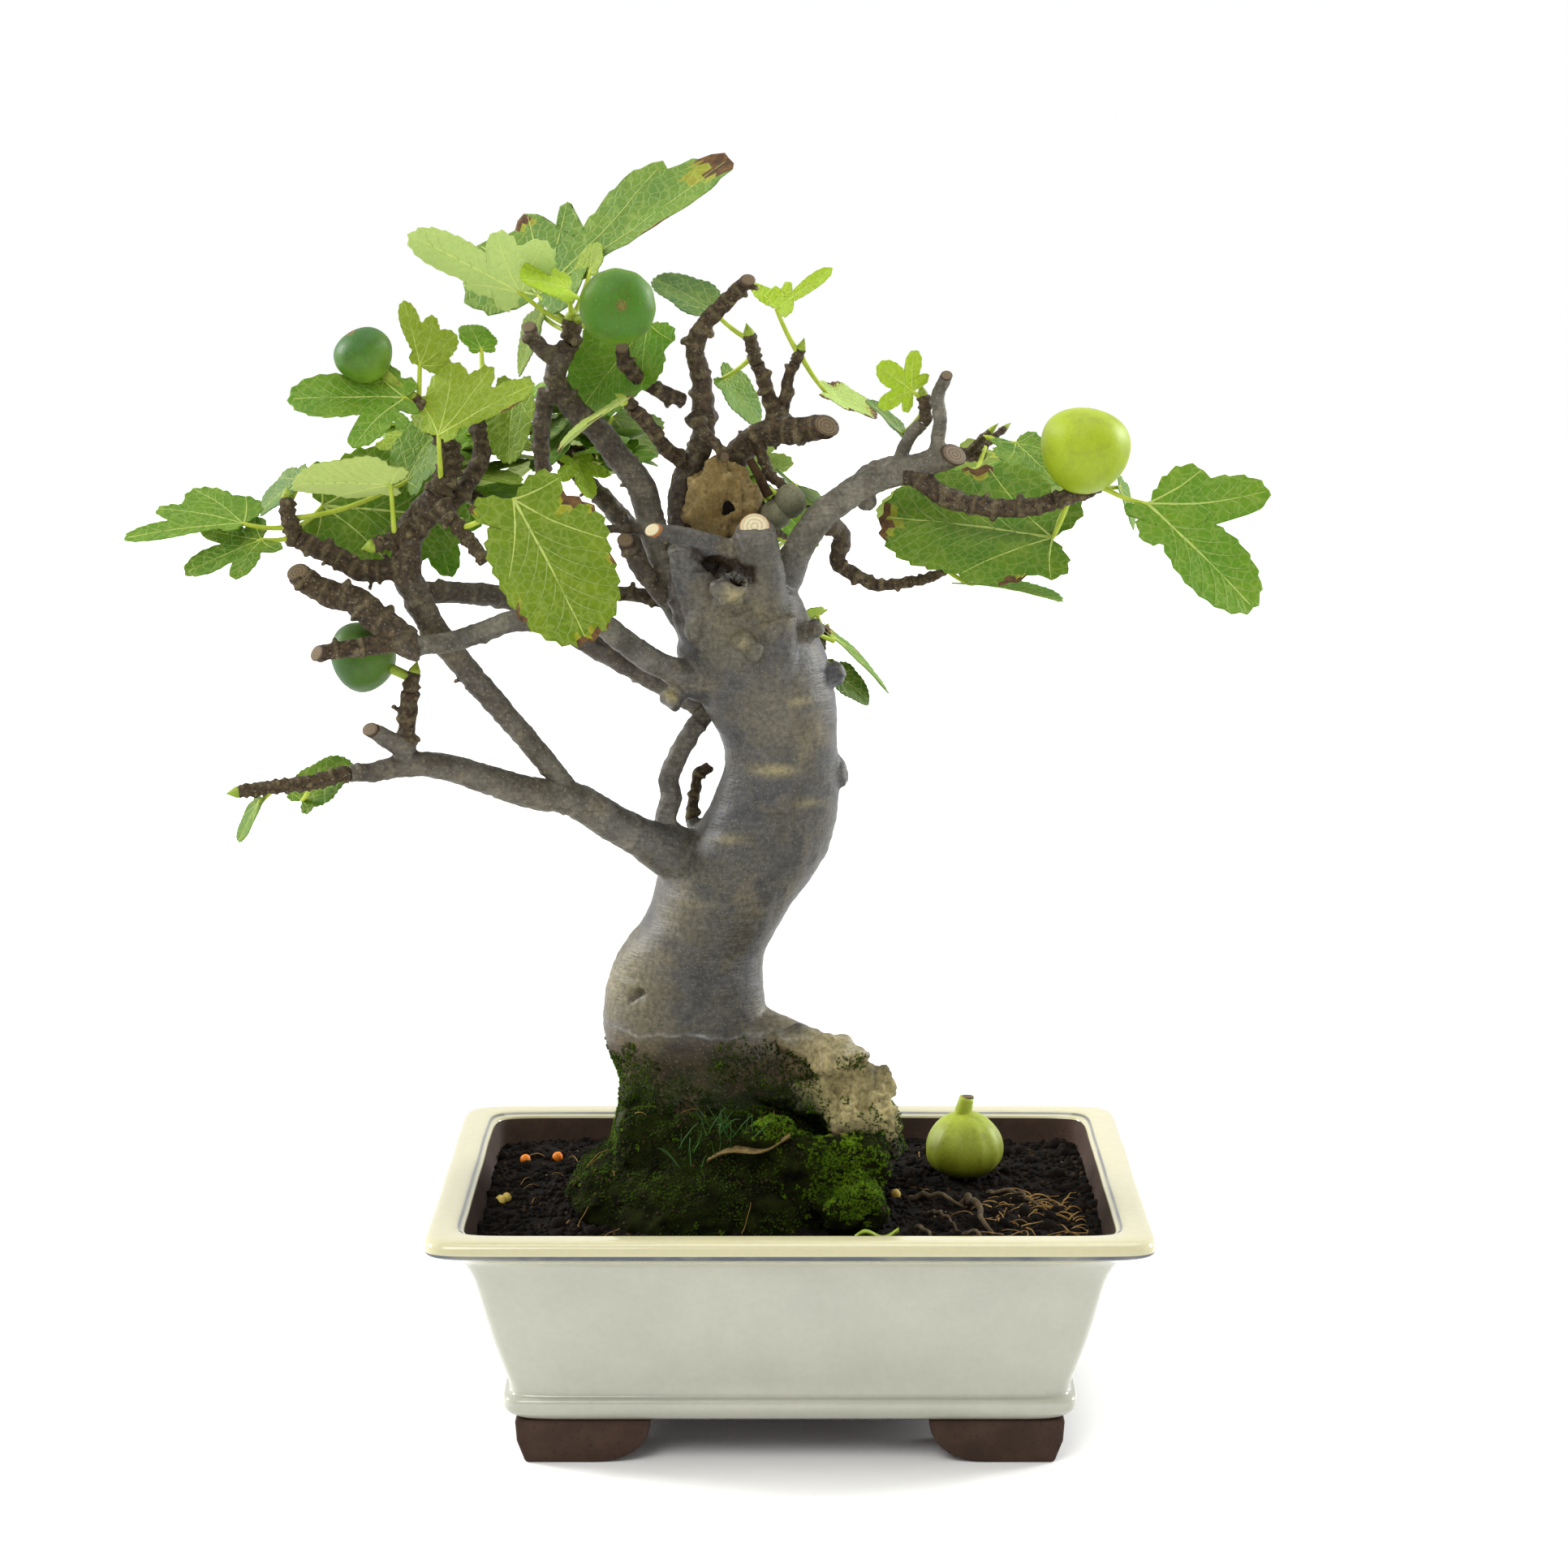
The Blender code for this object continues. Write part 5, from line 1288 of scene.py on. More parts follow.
@dataclass
class Strands:
    """Thin lines that are swept into roots, fibres or grass."""

    points: list[Vector] = field(default_factory=list)
    edges: list[tuple[int, int]] = field(default_factory=list)
    thick: list[float] = field(default_factory=list)

    def bow(self, start: Vector, end: Vector, bend: float, radius: float, steps: int = 8) -> None:
        """Adds a line that bows upwards between two places and thins toward its end.

        Args:
            start: its thick end.
            end: its thin end.
            bend: how far it bows.
            radius: its radius at the start.
            steps: its pieces.
        """
        first = len(self.points)
        stray = (end - start).length * 0.06
        for i in range(steps + 1):
            t = i / steps
            place = start.lerp(end, t) + Vector((0, 0, bend * math.sin(math.pi * t)))
            self.points.append(place + noise.noise_vector(place / 6) * stray)
            self.thick.append(radius * (1 - 0.6 * t) * MM)
        self.edges += [(first + i, first + i + 1) for i in range(steps)]

    def make(self, name: str, finish: Finish, slot: str, sides: int = 6) -> None:
        """Sweeps the lines and settles the piece.

        Args:
            name: its name.
            finish: its finish.
            slot: its slot.
            sides: the points round each strand.
        """
        lines = bpy.data.meshes.new(name)
        lines.from_pydata([(point + POT_PLACE) * MM for point in self.points], self.edges, [])
        lines.attributes.new("thick", "FLOAT", "POINT").data.foreach_set("value", self.thick)
        settle(ruled("swept strands", lines, finish, Sides=sides), name, slot)


@dataclass
class Growth:
    """Every limb's line and tip, by the source's rule."""

    coarse: int = 2
    fine: int = 10
    dice: random.Random = field(default_factory=lambda: random.Random(SEED))
    tips: dict = field(default_factory=dict)
    lines: dict = field(default_factory=dict)

    def grow(self) -> None:
        """Walks all limbs and stubs in order, and notes their tips and their fine lines."""
        for limb in LIMBS:
            line = line_of(limb.start, limb.legs, self.tips, self.coarse)
            fine = self.lines[limb.name] = line_of(limb.start, limb.legs, self.tips, self.fine)
            if limb.name in GROWN_ON:
                fine.append(fine[-1] + (fine[-1] - fine[-2]).normalized() * GROWN_ON[limb.name])
            self.tips[limb.name] = (line[-1], (line[-1] - line[-2]).normalized())
            for number, (start, legs, _) in enumerate(limb.stubs):
                line = smooth(walk(start, legs), self.coarse)
                self.lines[f"{limb.name}/{number}"] = smooth(walk(start, legs), self.fine)
                self.tips[f"{limb.name}/{number}"] = (line[-1], (line[-1] - line[-2]).normalized())


@dataclass(frozen=True)
class Mark:
    """A scar or knob on the trunk's front: place across and up, half sizes, how far it rises, how pale."""

    x: float
    z: float
    wide: float
    high: float
    rise: float
    pale: float


@dataclass(frozen=True)
class Hollow:
    """A hollow in the trunk's front between two places (across and up): half width, depth, and how dark its painted
    shade is.
    """

    start: tuple
    end: tuple
    radius: float
    depth: float
    rot: float

    def near(self, x: float, z: float) -> float:
        """How deep in the hollow a place lies, from 0 outside to 1 at its middle.

        Args:
            x: the place across.
            z: its height.

        Returns:
            The share of the hollow's depth.
        """
        place, start, end = Vector((x, z)), Vector(self.start), Vector(self.end)
        run = end - start
        foot = start + run * limited((place - start).dot(run) / run.length_squared)
        uneven = 1 + 0.5 * noise.noise(Vector((x / 5, z / 5, 0)))
        return limited(1.25 - ((place - foot).length / self.radius / uneven) ** 2)


@dataclass
class Trunk:
    """The trunk's rings, roots, lumps, columns, marks and hollows."""

    sides: int = 72
    steps: int = 10
    lumps: tuple = (
        ((22, -6, 381), (6, 6, 6)), ((13, -12, 404), (5, 5, 5)), ((-27, -33, 424), (5, 5, 6)),
        ((-23, -32, 400), (6, 5, 5)), ((-58, -14, 370), (6, 6, 6)), ((-17, -36, 396), (5, 4, 5)),
        ((6, -22, 196), (14, 12, 9)), ((22, -30, 190), (15, 12, 11)), ((38, -34, 176), (13, 12, 13)),
        ((30, -44, 160), (13, 9, 12)), ((45, -36, 159), (10, 10, 14)), ((14, -36, 172), (14, 9, 9)),
        ((-80, -6, 168), (7, 9, 11)), ((-30, -40, 428), (9, 5, 8)), ((-36, -8, 436), (10, 8, 10)),
        ((24, 2, 330), (5, 6, 9)), ((-44, -22, 408), (8, 7, 12)),
    )
    # Swellings that run down from the prongs: places, and the radii at both ends
    columns: tuple = (
        (((-9, -21, 410), (-4, -23, 376), (3, -18, 336)), (12.5, 4)),
        (((-46, -15, 432), (-40, -19, 404), (-32, -16, 372)), (11, 4)),
    )
    marks: tuple = (
        Mark(-6.9, 335.3, 11, 3.6, 0.9, 0.6), Mark(4.7, 370.2, 9, 3.0, 0.8, 0.45),
        Mark(-77.6, 218.3, 5, 3.0, -1.6, 0.1), Mark(-77.6, 223.0, 7, 2.2, 1.2, 0.35),
        Mark(-23, 400, 4, 4, 0.5, 0.4), Mark(-27, 425, 7, 6, 0.5, 0.6), Mark(-50, 268, 13, 3.0, 0.7, 0.2),
        Mark(-30, 300, 9, 2.6, 0.7, 0.3), Mark(10, 318, 8, 2.4, 0.6, 0.3), Mark(-59, 372, 4, 4, 0.5, 0.7),
        Mark(22, 190, 20, 9, 0.6, 0.4), Mark(44, 166, 14, 13, 0.5, 0.45), Mark(2, 199, 14, 6, 0.5, 0.3),
    )
    # the last value of each hollow is how dark its painted shade is
    hollows: tuple = (
        Hollow((-38, 438), (-21, 433), 4.6, 5.0, 0.95), Hollow((-63, 437), (-55, 409), 3.0, 3.6, 0.9),
        Hollow((-46, 443), (-41, 437), 2.4, 2.0, 0.7), Hollow((-80, 216), (-75, 220), 1.7, 1.7, 0.6),
    )
    spots: tuple = (((22, -34, 190), 26, 0.8), ((46, -40, 168), 22, 0.95), ((30, -46, 172), 20, 0.9),
                    ((-30, -40, 428), 8, 0.4), ((-88, -10, 226), 36, 0.26), ((-78, -26, 206), 24, 0.2),
                    ((-30, -36, 414), 30, 0.18), ((-2, -30, 364), 30, 0.12), ((-60, -20, 262), 24, 0.12))

    def rings(self) -> list[list[Vector]]:
        """The trunk's rings, by the source's rule with finer steps.

        Returns:
            Its rings from the soil upwards.
        """
        rows = smooth([Vector((z, x, y)) for z, x, y, _, _ in TRUNK], self.steps)
        sizes = smooth([Vector((a, b, 0)) for _, _, _, a, b in TRUNK], self.steps)
        rings = []
        for (z, x, y), size in zip(rows, sizes):
            ring = []
            for i in range(self.sides):
                angle = i * math.tau / self.sides
                ripple = 1 + 0.03 * math.sin(3 * angle + z / 21) + 0.02 * math.sin(2 * angle - z / 13)
                ring.append(Vector((
                    x + size.x * ripple * math.cos(angle), y + size.y * ripple * math.sin(angle), z
                )))
            rings.append(ring)
        return rings

    def fill(self, shell: Shell) -> None:
        """Adds the trunk's body, roots, lumps and columns to a shell.

        Args:
            shell: what they are added to.
        """
        shell.loft(self.rings(), BARK)
        for start, legs, radii in ROOTS:
            line = smooth(walk(start, legs), 6)
            shell.tube(line, taper(radii, len(line)), 20, BARK)
        for middle, radii in self.lumps:
            shell.blob(Vector(middle), radii, BARK, rough=0.5, sides=14, bands=9)
        for places, radii in self.columns:
            line = smooth([Vector(place) for place in places], 8)
            shell.tube(line, taper(radii, len(line)), 20, BARK)

    def relief(self, place: Vector, normal: Vector) -> tuple[float, float, float]:
        """Finds the bark's relief at a place.

        Args:
            place: the place, in the pot's millimetres.
            normal: where the bark faces there.

        Returns:
            How far it stands out, in millimetres, how pale it is, and how dark the painted shade of a hollow makes it.
        """
        x, y, z = place
        gnarl = limited((202 - z) / 18) * limited((x + 16) / 20)
        shift = 0.9 * noise.noise(place / 26) + 0.35 * noise.noise(place / 9)
        shift += 0.36 * noise.noise(Vector((x / 30, y / 30, z / 3.2 + 0.9 * noise.noise(place / 20))))
        shift += 0.12 * noise.noise(place / 2.4)
        if gnarl:
            crease = 1 - min(1.0, abs(noise.noise(place / 6.5)) * 5)
            shift += gnarl * (1.6 * noise.noise(place / 7) + 0.7 * noise.noise(place / 2.8) - 1.5 * crease)
        pale, rot = 0.0, 0.0
        if normal.y < 0.2:
            for mark in self.marks:
                away = ((x - mark.x) / mark.wide) ** 2 + ((z - mark.z) / mark.high) ** 2
                if away < 6:
                    near = math.exp(-away * 1.2)
                    shift += mark.rise * near
                    pale = max(pale, mark.pale * near)
            for hollow in self.hollows:
                near = hollow.near(x, z)
                shift -= hollow.depth * near
                # the hollow sinks in and gets painted shade that darkens it
                rot = max(rot, hollow.rot * limited(near * 1.6))
        for middle, radius, strength in self.spots:
            away = (place - Vector(middle)).length / radius
            pale = max(pale, strength * max(0.0, 1 - away**2))
        return shift, pale * (1 - 0.6 * gnarl * max(0.0, noise.noise(place / 5))), rot


def toward_viewer(way: Vector) -> Vector:
    """The slant of a cut across a limb, so that its face is seen from the front and above."""
    lean = Vector((0, -0.72, 0.42))
    return lean - way * lean.dot(way)


def cut_face(shell: Shell, tip: Vector, way: Vector, radius: float, finish: Finish) -> None:
    """Adds the pale face of a cut.

    Args:
        shell: what it is added to.
        tip: the limb's tip.
        way: where the limb leads.
        radius: the limb's radius.
        finish: its finish.
    """
    steps = ((-1.6, 0.92), (0.6, 0.92), (0.95, 0.84), (1.06, 0.62), (1.1, 0.4), (1.12, 0.2), (1.13, 0.03))
    high = min(1.0, radius / 4)
    shell.tube([tip + way * step * high for step, _ in steps], [radius * share for _, share in steps], 28, finish,
               [share / 0.9 for _, share in steps], slant=toward_viewer(way), slant_from=0)


def search_tree(places: list[Vector]) -> KDTree:
    """Makes a tree that finds the nearest of some places.

    Args:
        places: the places.

    Returns:
        The tree, which numbers them in their order.
    """
    tree = KDTree(len(places))
    for number, place in enumerate(places):
        tree.insert(place, number)
    tree.balance()
    return tree


@dataclass
class Grown:
    """A limb as its skin needs it: line, radii, runs along it, ages, frames and nodes."""

    line: list[Vector]
    sizes: list[float]
    ages: tuple[float, float]
    frames: list
    runs: list[float] = field(default_factory=lambda: [0.0])
    nodes: list = field(default_factory=list)

    def age(self, run: float) -> float:
        """How young the bark is at a run along the line."""
        return self.ages[0] + (self.ages[1] - self.ages[0]) * limited(run / self.runs[-1])

    def relief(self, place: Vector, i: int) -> tuple[float, float, float, float]:
        """Finds the limb's relief at a place.

        Args:
            place: the place, in the pot's millimetres.
            i: the number of the line's point nearest to it.

        Returns:
            How far the bark stands out, how young and how pale it is, and how much all that counts.
        """
        beside = place - self.line[i]
        hold = limited(1 - (beside.length - self.sizes[i] * 1.25) / 3)
        if not hold:
            return 0.0, 0.0, 0.0, 0.0
        run = self.runs[i] + beside.dot(self.frames[i][0])
        age, pale, shift = self.age(run), 0.0, 0.0
        number = bisect_left(self.nodes, (run,))
        for at, size, out, wide in self.nodes[max(number - 1, 0):number + 1]:
            away = (run - at) / wide
            side = max(0.0, 0.5 + beside.normalized().dot(out))
            shift += 1.3 * size * side * (math.exp(-away * away) - 0.35 * math.exp(-(away - 1.7) ** 2))
            pale = max(pale, 0.2 * age * math.exp(-(away * 1.3) ** 2))
        shift += (0.3 + 0.9 * age) * noise.noise(place / 5.0) + (0.22 + 0.2 * age) * noise.noise(place / 2.2)
        shift += (1 - age) * 0.22 * noise.noise(Vector((run / 2.2, place.x / 14, place.z / 14)))
        return shift * hold, age * hold, pale * hold, hold


@dataclass
class Wood:
    """Limbs run together into one skin, which then gets the bark's relief."""

    name: str
    cell: float
    limbs: tuple[str, ...]
    growth: Growth
    cuts: Shell
    trunk: Trunk | None = None
    shell: Shell = field(default_factory=Shell)
    grown: list[Grown] = field(default_factory=list)
    scars: list = field(default_factory=list)
    # Places on the boughs' feet, how light the bark is there and how far that reaches
    fades: list = field(default_factory=list)

    def limb(self, name: str, radii: tuple, ages: tuple, dice: random.Random) -> None:
        """Adds a limb or stub with its nodes, and its cut if it has one.

        Args:
            name: its name.
            radii: its radii at both ends.
            ages: its ages at both ends.
            dice: what decides where its nodes are.
        """
        line = self.growth.lines[name]
        grown = Grown(line, taper(radii, len(line)), ages, carried(line))
        for a, b in zip(line, line[1:]):
            grown.runs.append(grown.runs[-1] + (b - a).length)
        whole, sizes, way = grown.runs[-1], grown.sizes, grown.frames[-1][0]
        kept, slant = list(range(len(line))), None
        if name in NARROWED:
            sizes[:] = [size * (1 - (1 - NARROWED[name]) * run / whole) for size, run in zip(sizes, grown.runs)]
        if name in CUTS:
            slant = toward_viewer(way)
            back = sizes[-1] * slant.length
            kept = [i for i in kept if whole - grown.runs[i] > back * 1.05] + [len(line) - 1]
            cut_face(self.cuts, line[-1], way, sizes[-1], CUT if name in FRESH_CUTS else CUT_OLD)
        self.shell.tube([line[i] for i in kept], [sizes[i] for i in kept], 16, BARK, slant=slant)
        self.grown.append(grown)
        run, turn = dice.uniform(3, 8), dice.uniform(0, math.tau)
        while run < whole - 3:
            number = min(bisect_left(grown.runs, run), len(line) - 1)
            way, side, over = grown.frames[number]
            age, radius = grown.age(run), sizes[number]
            out = side * math.cos(turn) + over * math.sin(turn)
            grown.nodes.append((run, dice.uniform(0.15, 0.75) * (0.4 + age), out, dice.uniform(0.8, 2.0)))
            if dice.random() < 0.26 * age:
                self.spur(line[number], (out + way * 0.6).normalized(), radius, dice)
            else:
                size = radius * (0.24 + 0.26 * age)
                self.shell.blob(line[number] + out * radius * (0.76 + 0.12 * age), (size, size, size * 1.1),
                                BARK, rough=0.5)
                self.scars.append((line[number] + out * radius * 1.08, size * 0.8, 0.15 + 0.25 * age))
            turn += math.radians(137.5) + dice.uniform(-0.4, 0.4)
            run += dice.uniform(4, 11) + 15 * (1 - age)

    def spur(self, root: Vector, way: Vector, radius: float, dice: random.Random) -> None:
        """Adds a short pruned spur with a pale end.

        Args:
            root: where it leaves the limb's middle.
            way: where it leads.
            radius: the limb's radius.
            dice: what decides its length.
        """
        tip = root + way * (radius + dice.uniform(2.6, 4.6))
        thick = dice.uniform(1.1, 1.4)
        self.shell.tube([root, root.lerp(tip, 0.6), tip], [thick * 1.35, thick * 1.1, thick], 12, BARK)
        cut_face(self.cuts, tip, way, thick * 0.95, CUT_OLD)

    def collar(self, name: str, radius: float, solid: BVHTree) -> None:
        """Adds the swollen foot of a limb where it leaves the trunk.

        Args:
            name: the limb's name.
            radius: its radius there.
            solid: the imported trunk.
        """
        line = self.growth.lines[name]
        outside = next((i for i, p in enumerate(line) if self.clear_of(p, solid)), None)
        if not outside:
            return
        start = line[outside]
        kept, sizes = [], []
        for number, point in enumerate(line[:outside + 24]):
            away = (point - start).length / radius
            if away < 2.6:
                kept.append(point)
                sizes.append(radius * (1.32 if number <= outside else max(0.9, 1.32 - 0.2 * away)))
                self.fades.append((point, limited(away / 2.2) if number > outside else 0.0, sizes[-1] * 1.4))
        self.shell.tube(kept, sizes, 18, BARK)

    @staticmethod
    def clear_of(point: Vector, solid: BVHTree) -> bool:
        """Whether a place in the pot's millimetres lies outside a solid."""
        near, normal, _, _ = solid.find_nearest((point + POT_PLACE) * MM)
        return ((point + POT_PLACE) * MM - near).dot(normal) > 0

    def skin(self, nodes: tuple[str, ...]) -> bpy.types.Mesh:
        """Runs the shell into one skin, gives it the bark's relief, and settles the piece.

        Args:
            nodes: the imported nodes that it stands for.

        Returns:
            Its mesh.
        """
        mesh = run_together(self.shell.mesh(self.name), self.cell, 3 if self.trunk else 2)
        samples = [(limb, i) for limb in self.grown for i in range(len(limb.line))]
        near = search_tree([limb.line[i] for limb, i in samples])
        scars = search_tree([place for place, _, _ in self.scars])
        normals = [normal.vector.copy() for normal in mesh.vertex_normals]
        feet = search_tree([place for place, _, _ in self.fades])
        # one of these values holds the painted shade of the trunk's hollows
        values = {"age": [], "scar": [], "rot": [], "light": []}
        for vertex, normal in zip(mesh.vertices, normals):
            place = vertex.co / MM - POT_PLACE
            limb, i = samples[near.find(place)[1]]
            shift, age, pale, hold = limb.relief(place, i)
            _, number, away = scars.find(place)
            _, size, strength = self.scars[number]
            if away < size:
                pale = max(pale, strength * (1 - (away / size) ** 2))
            rot = light = 0.0
            if self.trunk:
                _, number, away = feet.find(place)
                _, share, reach = self.fades[number]
                light = share * limited(3 - 3 * away / reach)
                rise, paler, rot = self.trunk.relief(place, normal)
                shift += rise * (1 - 0.6 * hold)
                pale = max(pale, paler)
            vertex.co += normal * shift * MM
            for key, value in zip(values, (age, limited(pale), rot, light)):
                values[key].append(value)
        for key, found in values.items():
            mesh.attributes.new(key, "FLOAT", "POINT").data.foreach_set("value", found)
        mesh.materials.clear()
        mesh.materials.append((TRUNK_BARK if self.trunk else BARK).material())
        mesh.polygons.foreach_set("material_index", [0] * len(mesh.polygons))
        mesh.shade_smooth()
        settle(mesh, self.name, "bark", nodes)
        return mesh


@dataclass
class Timber:
    """All the wood: trunk and limbs in their skins, and the pale faces of the cuts."""

    growth: Growth
    nodes: dict
    cuts: Shell = field(default_factory=Shell)

    def make(self) -> bpy.types.Mesh:
        """Makes every skin and the cuts.

        Returns:
            The trunk's mesh.
        """
        dice = random.Random(SEED + 1)
        by_name = {limb.name: limb for limb in LIMBS}
        solid = tree_of(self.nodes["trunk"].data)
        made = {}
        for name, cell, limbs in SKINS:
            wood = Wood(name, cell, limbs, self.growth, self.cuts, Trunk() if name == "trunk_bark" else None)
            for title in limbs:
                first, last = AGES[title]
                wood.limb(title, by_name[title].radii, (first, last), dice)
                for number, (_, _, radii) in enumerate(by_name[title].stubs):
                    wood.limb(f"{title}/{number}", radii, (last * 0.7, last), dice)
            if wood.trunk:
                wood.trunk.fill(wood.shell)
                for limb in LIMBS:
                    if not isinstance(limb.start, str):
                        wood.collar(limb.name, limb.radii[0], solid)
            made[name] = wood.skin((("trunk",) if wood.trunk else ()) + limbs)
        settle(self.cuts.mesh("cut_faces"), "cut_faces", "bark")
        return made["trunk_bark"]


def facing(leaf: Leaf) -> Matrix:
    """The turn of a leaf's blade: its columns are the midrib, the side and the upper face's normal."""
    axis = heading(*leaf.blade[1:])
    up = (Vector((0, 0, 1)) - axis * axis.z).normalized()
    normal = Matrix.Rotation(math.radians(leaf.roll), 3, axis) @ up
    return Matrix((axis, normal.cross(axis), normal)).transposed()


@dataclass(frozen=True)
class BladeForm:
    """How finely a blade is made: spokes, hoops, teeth, thickness and veins."""

    spokes: int = 96
    hoops: tuple = (0.14, 0.3, 0.45, 0.58, 0.7, 0.8, 0.88, 0.94, 0.975, 1.0)
    bite: float = 0.024
    thickness: float = 0.5
    blunt: float = 0.7
    middle: float = 0.3
    arch: float = 0.1
    fold: float = 0.14
    vein_step: float = 0.12
    vein_pieces: int = 10

    def reach(self, form: tuple, angle: float) -> float:
        """Finds how far the edge lies from the stalk.

        Args:
            form: the blade's lobes.
            angle: the angle from the midrib.

        Returns:
            The distance, as a share of the blade's length.
        """
        total = 0.0
        for at, far, spread in form:
            share = math.cos(math.radians(min(abs(angle - at) / spread * 90, 90)))
            total += (far * max(share, 0.0) ** self.blunt) ** 12
        return total ** (1 / 12)

    def outline(self, leaf: Leaf) -> list[Vector]:
        """Draws the edge with small teeth.

        Args:
            leaf: the leaf.

        Returns:
            Points evenly far apart, counterclockwise from the stalk round to the stalk.
        """
        low = min(at - spread for at, _, spread in leaf.form)
        high = max(at + spread for at, _, spread in leaf.form)
        count = 360
        rough = []
        for i in range(count + 1):
            angle = low + (high - low) * i / count
            far, way = self.reach(leaf.form, angle), math.radians(angle)
            rough.append(Vector((far * math.cos(way), far * math.sin(way) * leaf.breadth)))
        lengths = [0.0]
        for a, b in zip(rough, rough[1:]):
            lengths.append(lengths[-1] + (b - a).length)
        edge = []
        for i in range(self.spokes):
            left = lengths[-1] * (i + 0.5) / self.spokes
            number = min(max(bisect_left(lengths, left), 1), count)
            share = (left - lengths[number - 1]) / max(lengths[number] - lengths[number - 1], 1e-6)
            point = rough[number - 1].lerp(rough[number], share)
            inward = (Vector((self.middle, 0)) - point).normalized()
            edge.append(point + inward * self.bite * (0.0, 0.5, 1.0)[i % 3])
        return edge if leaf.breadth > 0 else edge[::-1]


@dataclass
class Foliage:
    """One mass of foliage: its twigs, leaves and figs, each kind a piece."""

    mass: Mass
    growth: Growth
    solid: BVHTree
    others: BVHTree
    dice: random.Random
    form: BladeForm = BladeForm()
    twigs: Shell = field(default_factory=Shell)
    leaves: Shell = field(default_factory=Shell)
    fruit: Shell = field(default_factory=Shell)

    def height(self, x: float, y: float, wave: tuple) -> float:
        """Finds how high a blade's middle surface lies.

        Args:
            x: the place along the midrib, in shares of the blade's length.
            y: the place across it.
            wave: size, count and phase of the edge's waves.

        Returns:
            The height, in shares of the length.
        """
        far = math.hypot(x - self.form.middle, y)
        turn = math.atan2(y, x - self.form.middle)
        size, count, phase = wave
        crease = math.sqrt(y * y + 0.0006) - 0.0245
        quilt = 0.0016 * math.cos(math.tau * (x - 0.9 * abs(y)) / self.form.vein_step)
        crinkle = 0.009 * noise.noise(Vector((x * 5, y * 5, phase)))
        return (self.form.fold * crease + self.form.arch * x * (1 - x) + quilt + crinkle
                + size * far * far * math.sin(count * turn + phase))

    def blade(self, start: Vector, leaf: Leaf, tone: Tone, dry: float, burnt: float) -> None:
        """Adds a blade: two faces, a toothed edge that may be dry, and raised veins on both faces.

        Args:
            start: where the stalk ends.
            leaf: the leaf.
            tone: its colour.
            dry: the share of its edge that is dry.
            burnt: the share of its length that is dry at its tip.
        """
        form, dice, length, turn = self.form, self.dice, leaf.blade[0], facing(leaf)
        wave = (dice.uniform(0.02, 0.07), dice.choice((3, 4, 5)), dice.uniform(0, math.tau))
        edge = form.outline(leaf)
        middle = Vector((form.middle, 0))
        count, half = len(edge), form.thickness / 2 / length

        def lay(point: Vector, lift: float) -> Vector:
            """A point of the blade's plan, in its place and lifted off its middle surface."""
            return start + turn @ Vector((point.x, point.y, self.height(point.x, point.y, wave) + lift)) * length

        points = []
        for lift in (half, -half):
            points.append(lay(middle, lift))
            for hoop in form.hoops:
                points += [lay(middle.lerp(point, hoop), lift) for point in edge]
        under, last = len(points) // 2, 1 + (len(form.hoops) - 1) * count
        shift = dice.uniform(0, 60)
        upper, lower, margin, vein = tone.faces()
        groups = {finish: [] for finish in (upper, lower, margin, DRY_EDGE)}
        for i, point in enumerate(edge):
            j = (i + 1) % count
            worn = noise.noise(Vector((point.x * 3.2, point.y * 3.2, shift))) * 0.5 + 0.5
            worn += 0.14 * noise.noise(Vector((point.x * 17, point.y * 17, shift)))
            wear = max(0.0, worn - 1 + 0.9 * dry) * 0.8
            if burnt:
                wear = max(wear, (middle.lerp(point, 1).x - 1 + burnt * (0.6 + worn)) / 0.7)
            groups[upper].append((0, 1 + i, 1 + j))
            groups[lower].append((under, under + 1 + j, under + 1 + i))
            for row, hoop in enumerate(form.hoops[1:]):
                a, b = 1 + row * count, 1 + (row + 1) * count
                top, bottom = upper, lower
                if wear and hoop >= 1 - wear:
                    top = bottom = DRY_EDGE
                elif wear and hoop >= 1 - 1.8 * wear:
                    top = margin
                groups[top].append((a + i, b + i, b + j, a + j))
                groups[bottom].append((under + a + j, under + b + j, under + b + i, under + a + i))
            groups[DRY_EDGE if wear else upper].append((last + i, under + last + i, under + last + j, last + j))
        whole = len(self.leaves.points)
        self.leaves.points += points
        self.leaves.shares += [0.0] * len(points)
        for finish, faces in groups.items():
            self.leaves.faces += [tuple(whole + i for i in face) for face in faces]
            self.leaves.slots += [self.leaves.slot_of(finish)] * len(faces)
        self.veins(leaf, lay, vein, lower)

    def veins(self, leaf: Leaf, lay: object, main: Finish, thin: Finish) -> None:
        """Adds a blade's veins: one to each lobe, and pairs that leave them for the edge.

        Args:
            leaf: the leaf.
            lay: a function that puts a point of the blade's plan in its place, lifted by a share.
            main: the lobes' veins' finish.
            thin: the side veins' finish.
        """
        length, form = leaf.blade[0], self.form
        scale = limited(length / 70, 0.5)

        def run(first: Vector, last: Vector, wide: float, bend: float, finish: Finish) -> None:
            """Adds a flat rib between two points of the plan."""
            side = Vector((first.y - last.y, last.x - first.x))
            rings = []
            for step in range(form.vein_pieces + 1):
                t = step / form.vein_pieces
                point = first.lerp(last, t) + side * bend * math.sin(t * math.pi)
                out = side.normalized() * (wide * scale * (1 - 0.6 * t) / length)
                high = (form.thickness / 2 + 0.4 * scale * (1 - 0.5 * t)) / length
                rings.append([lay(point + out, 0), lay(point, high), lay(point - out, 0), lay(point, -high)])
            self.leaves.loft(rings, finish)

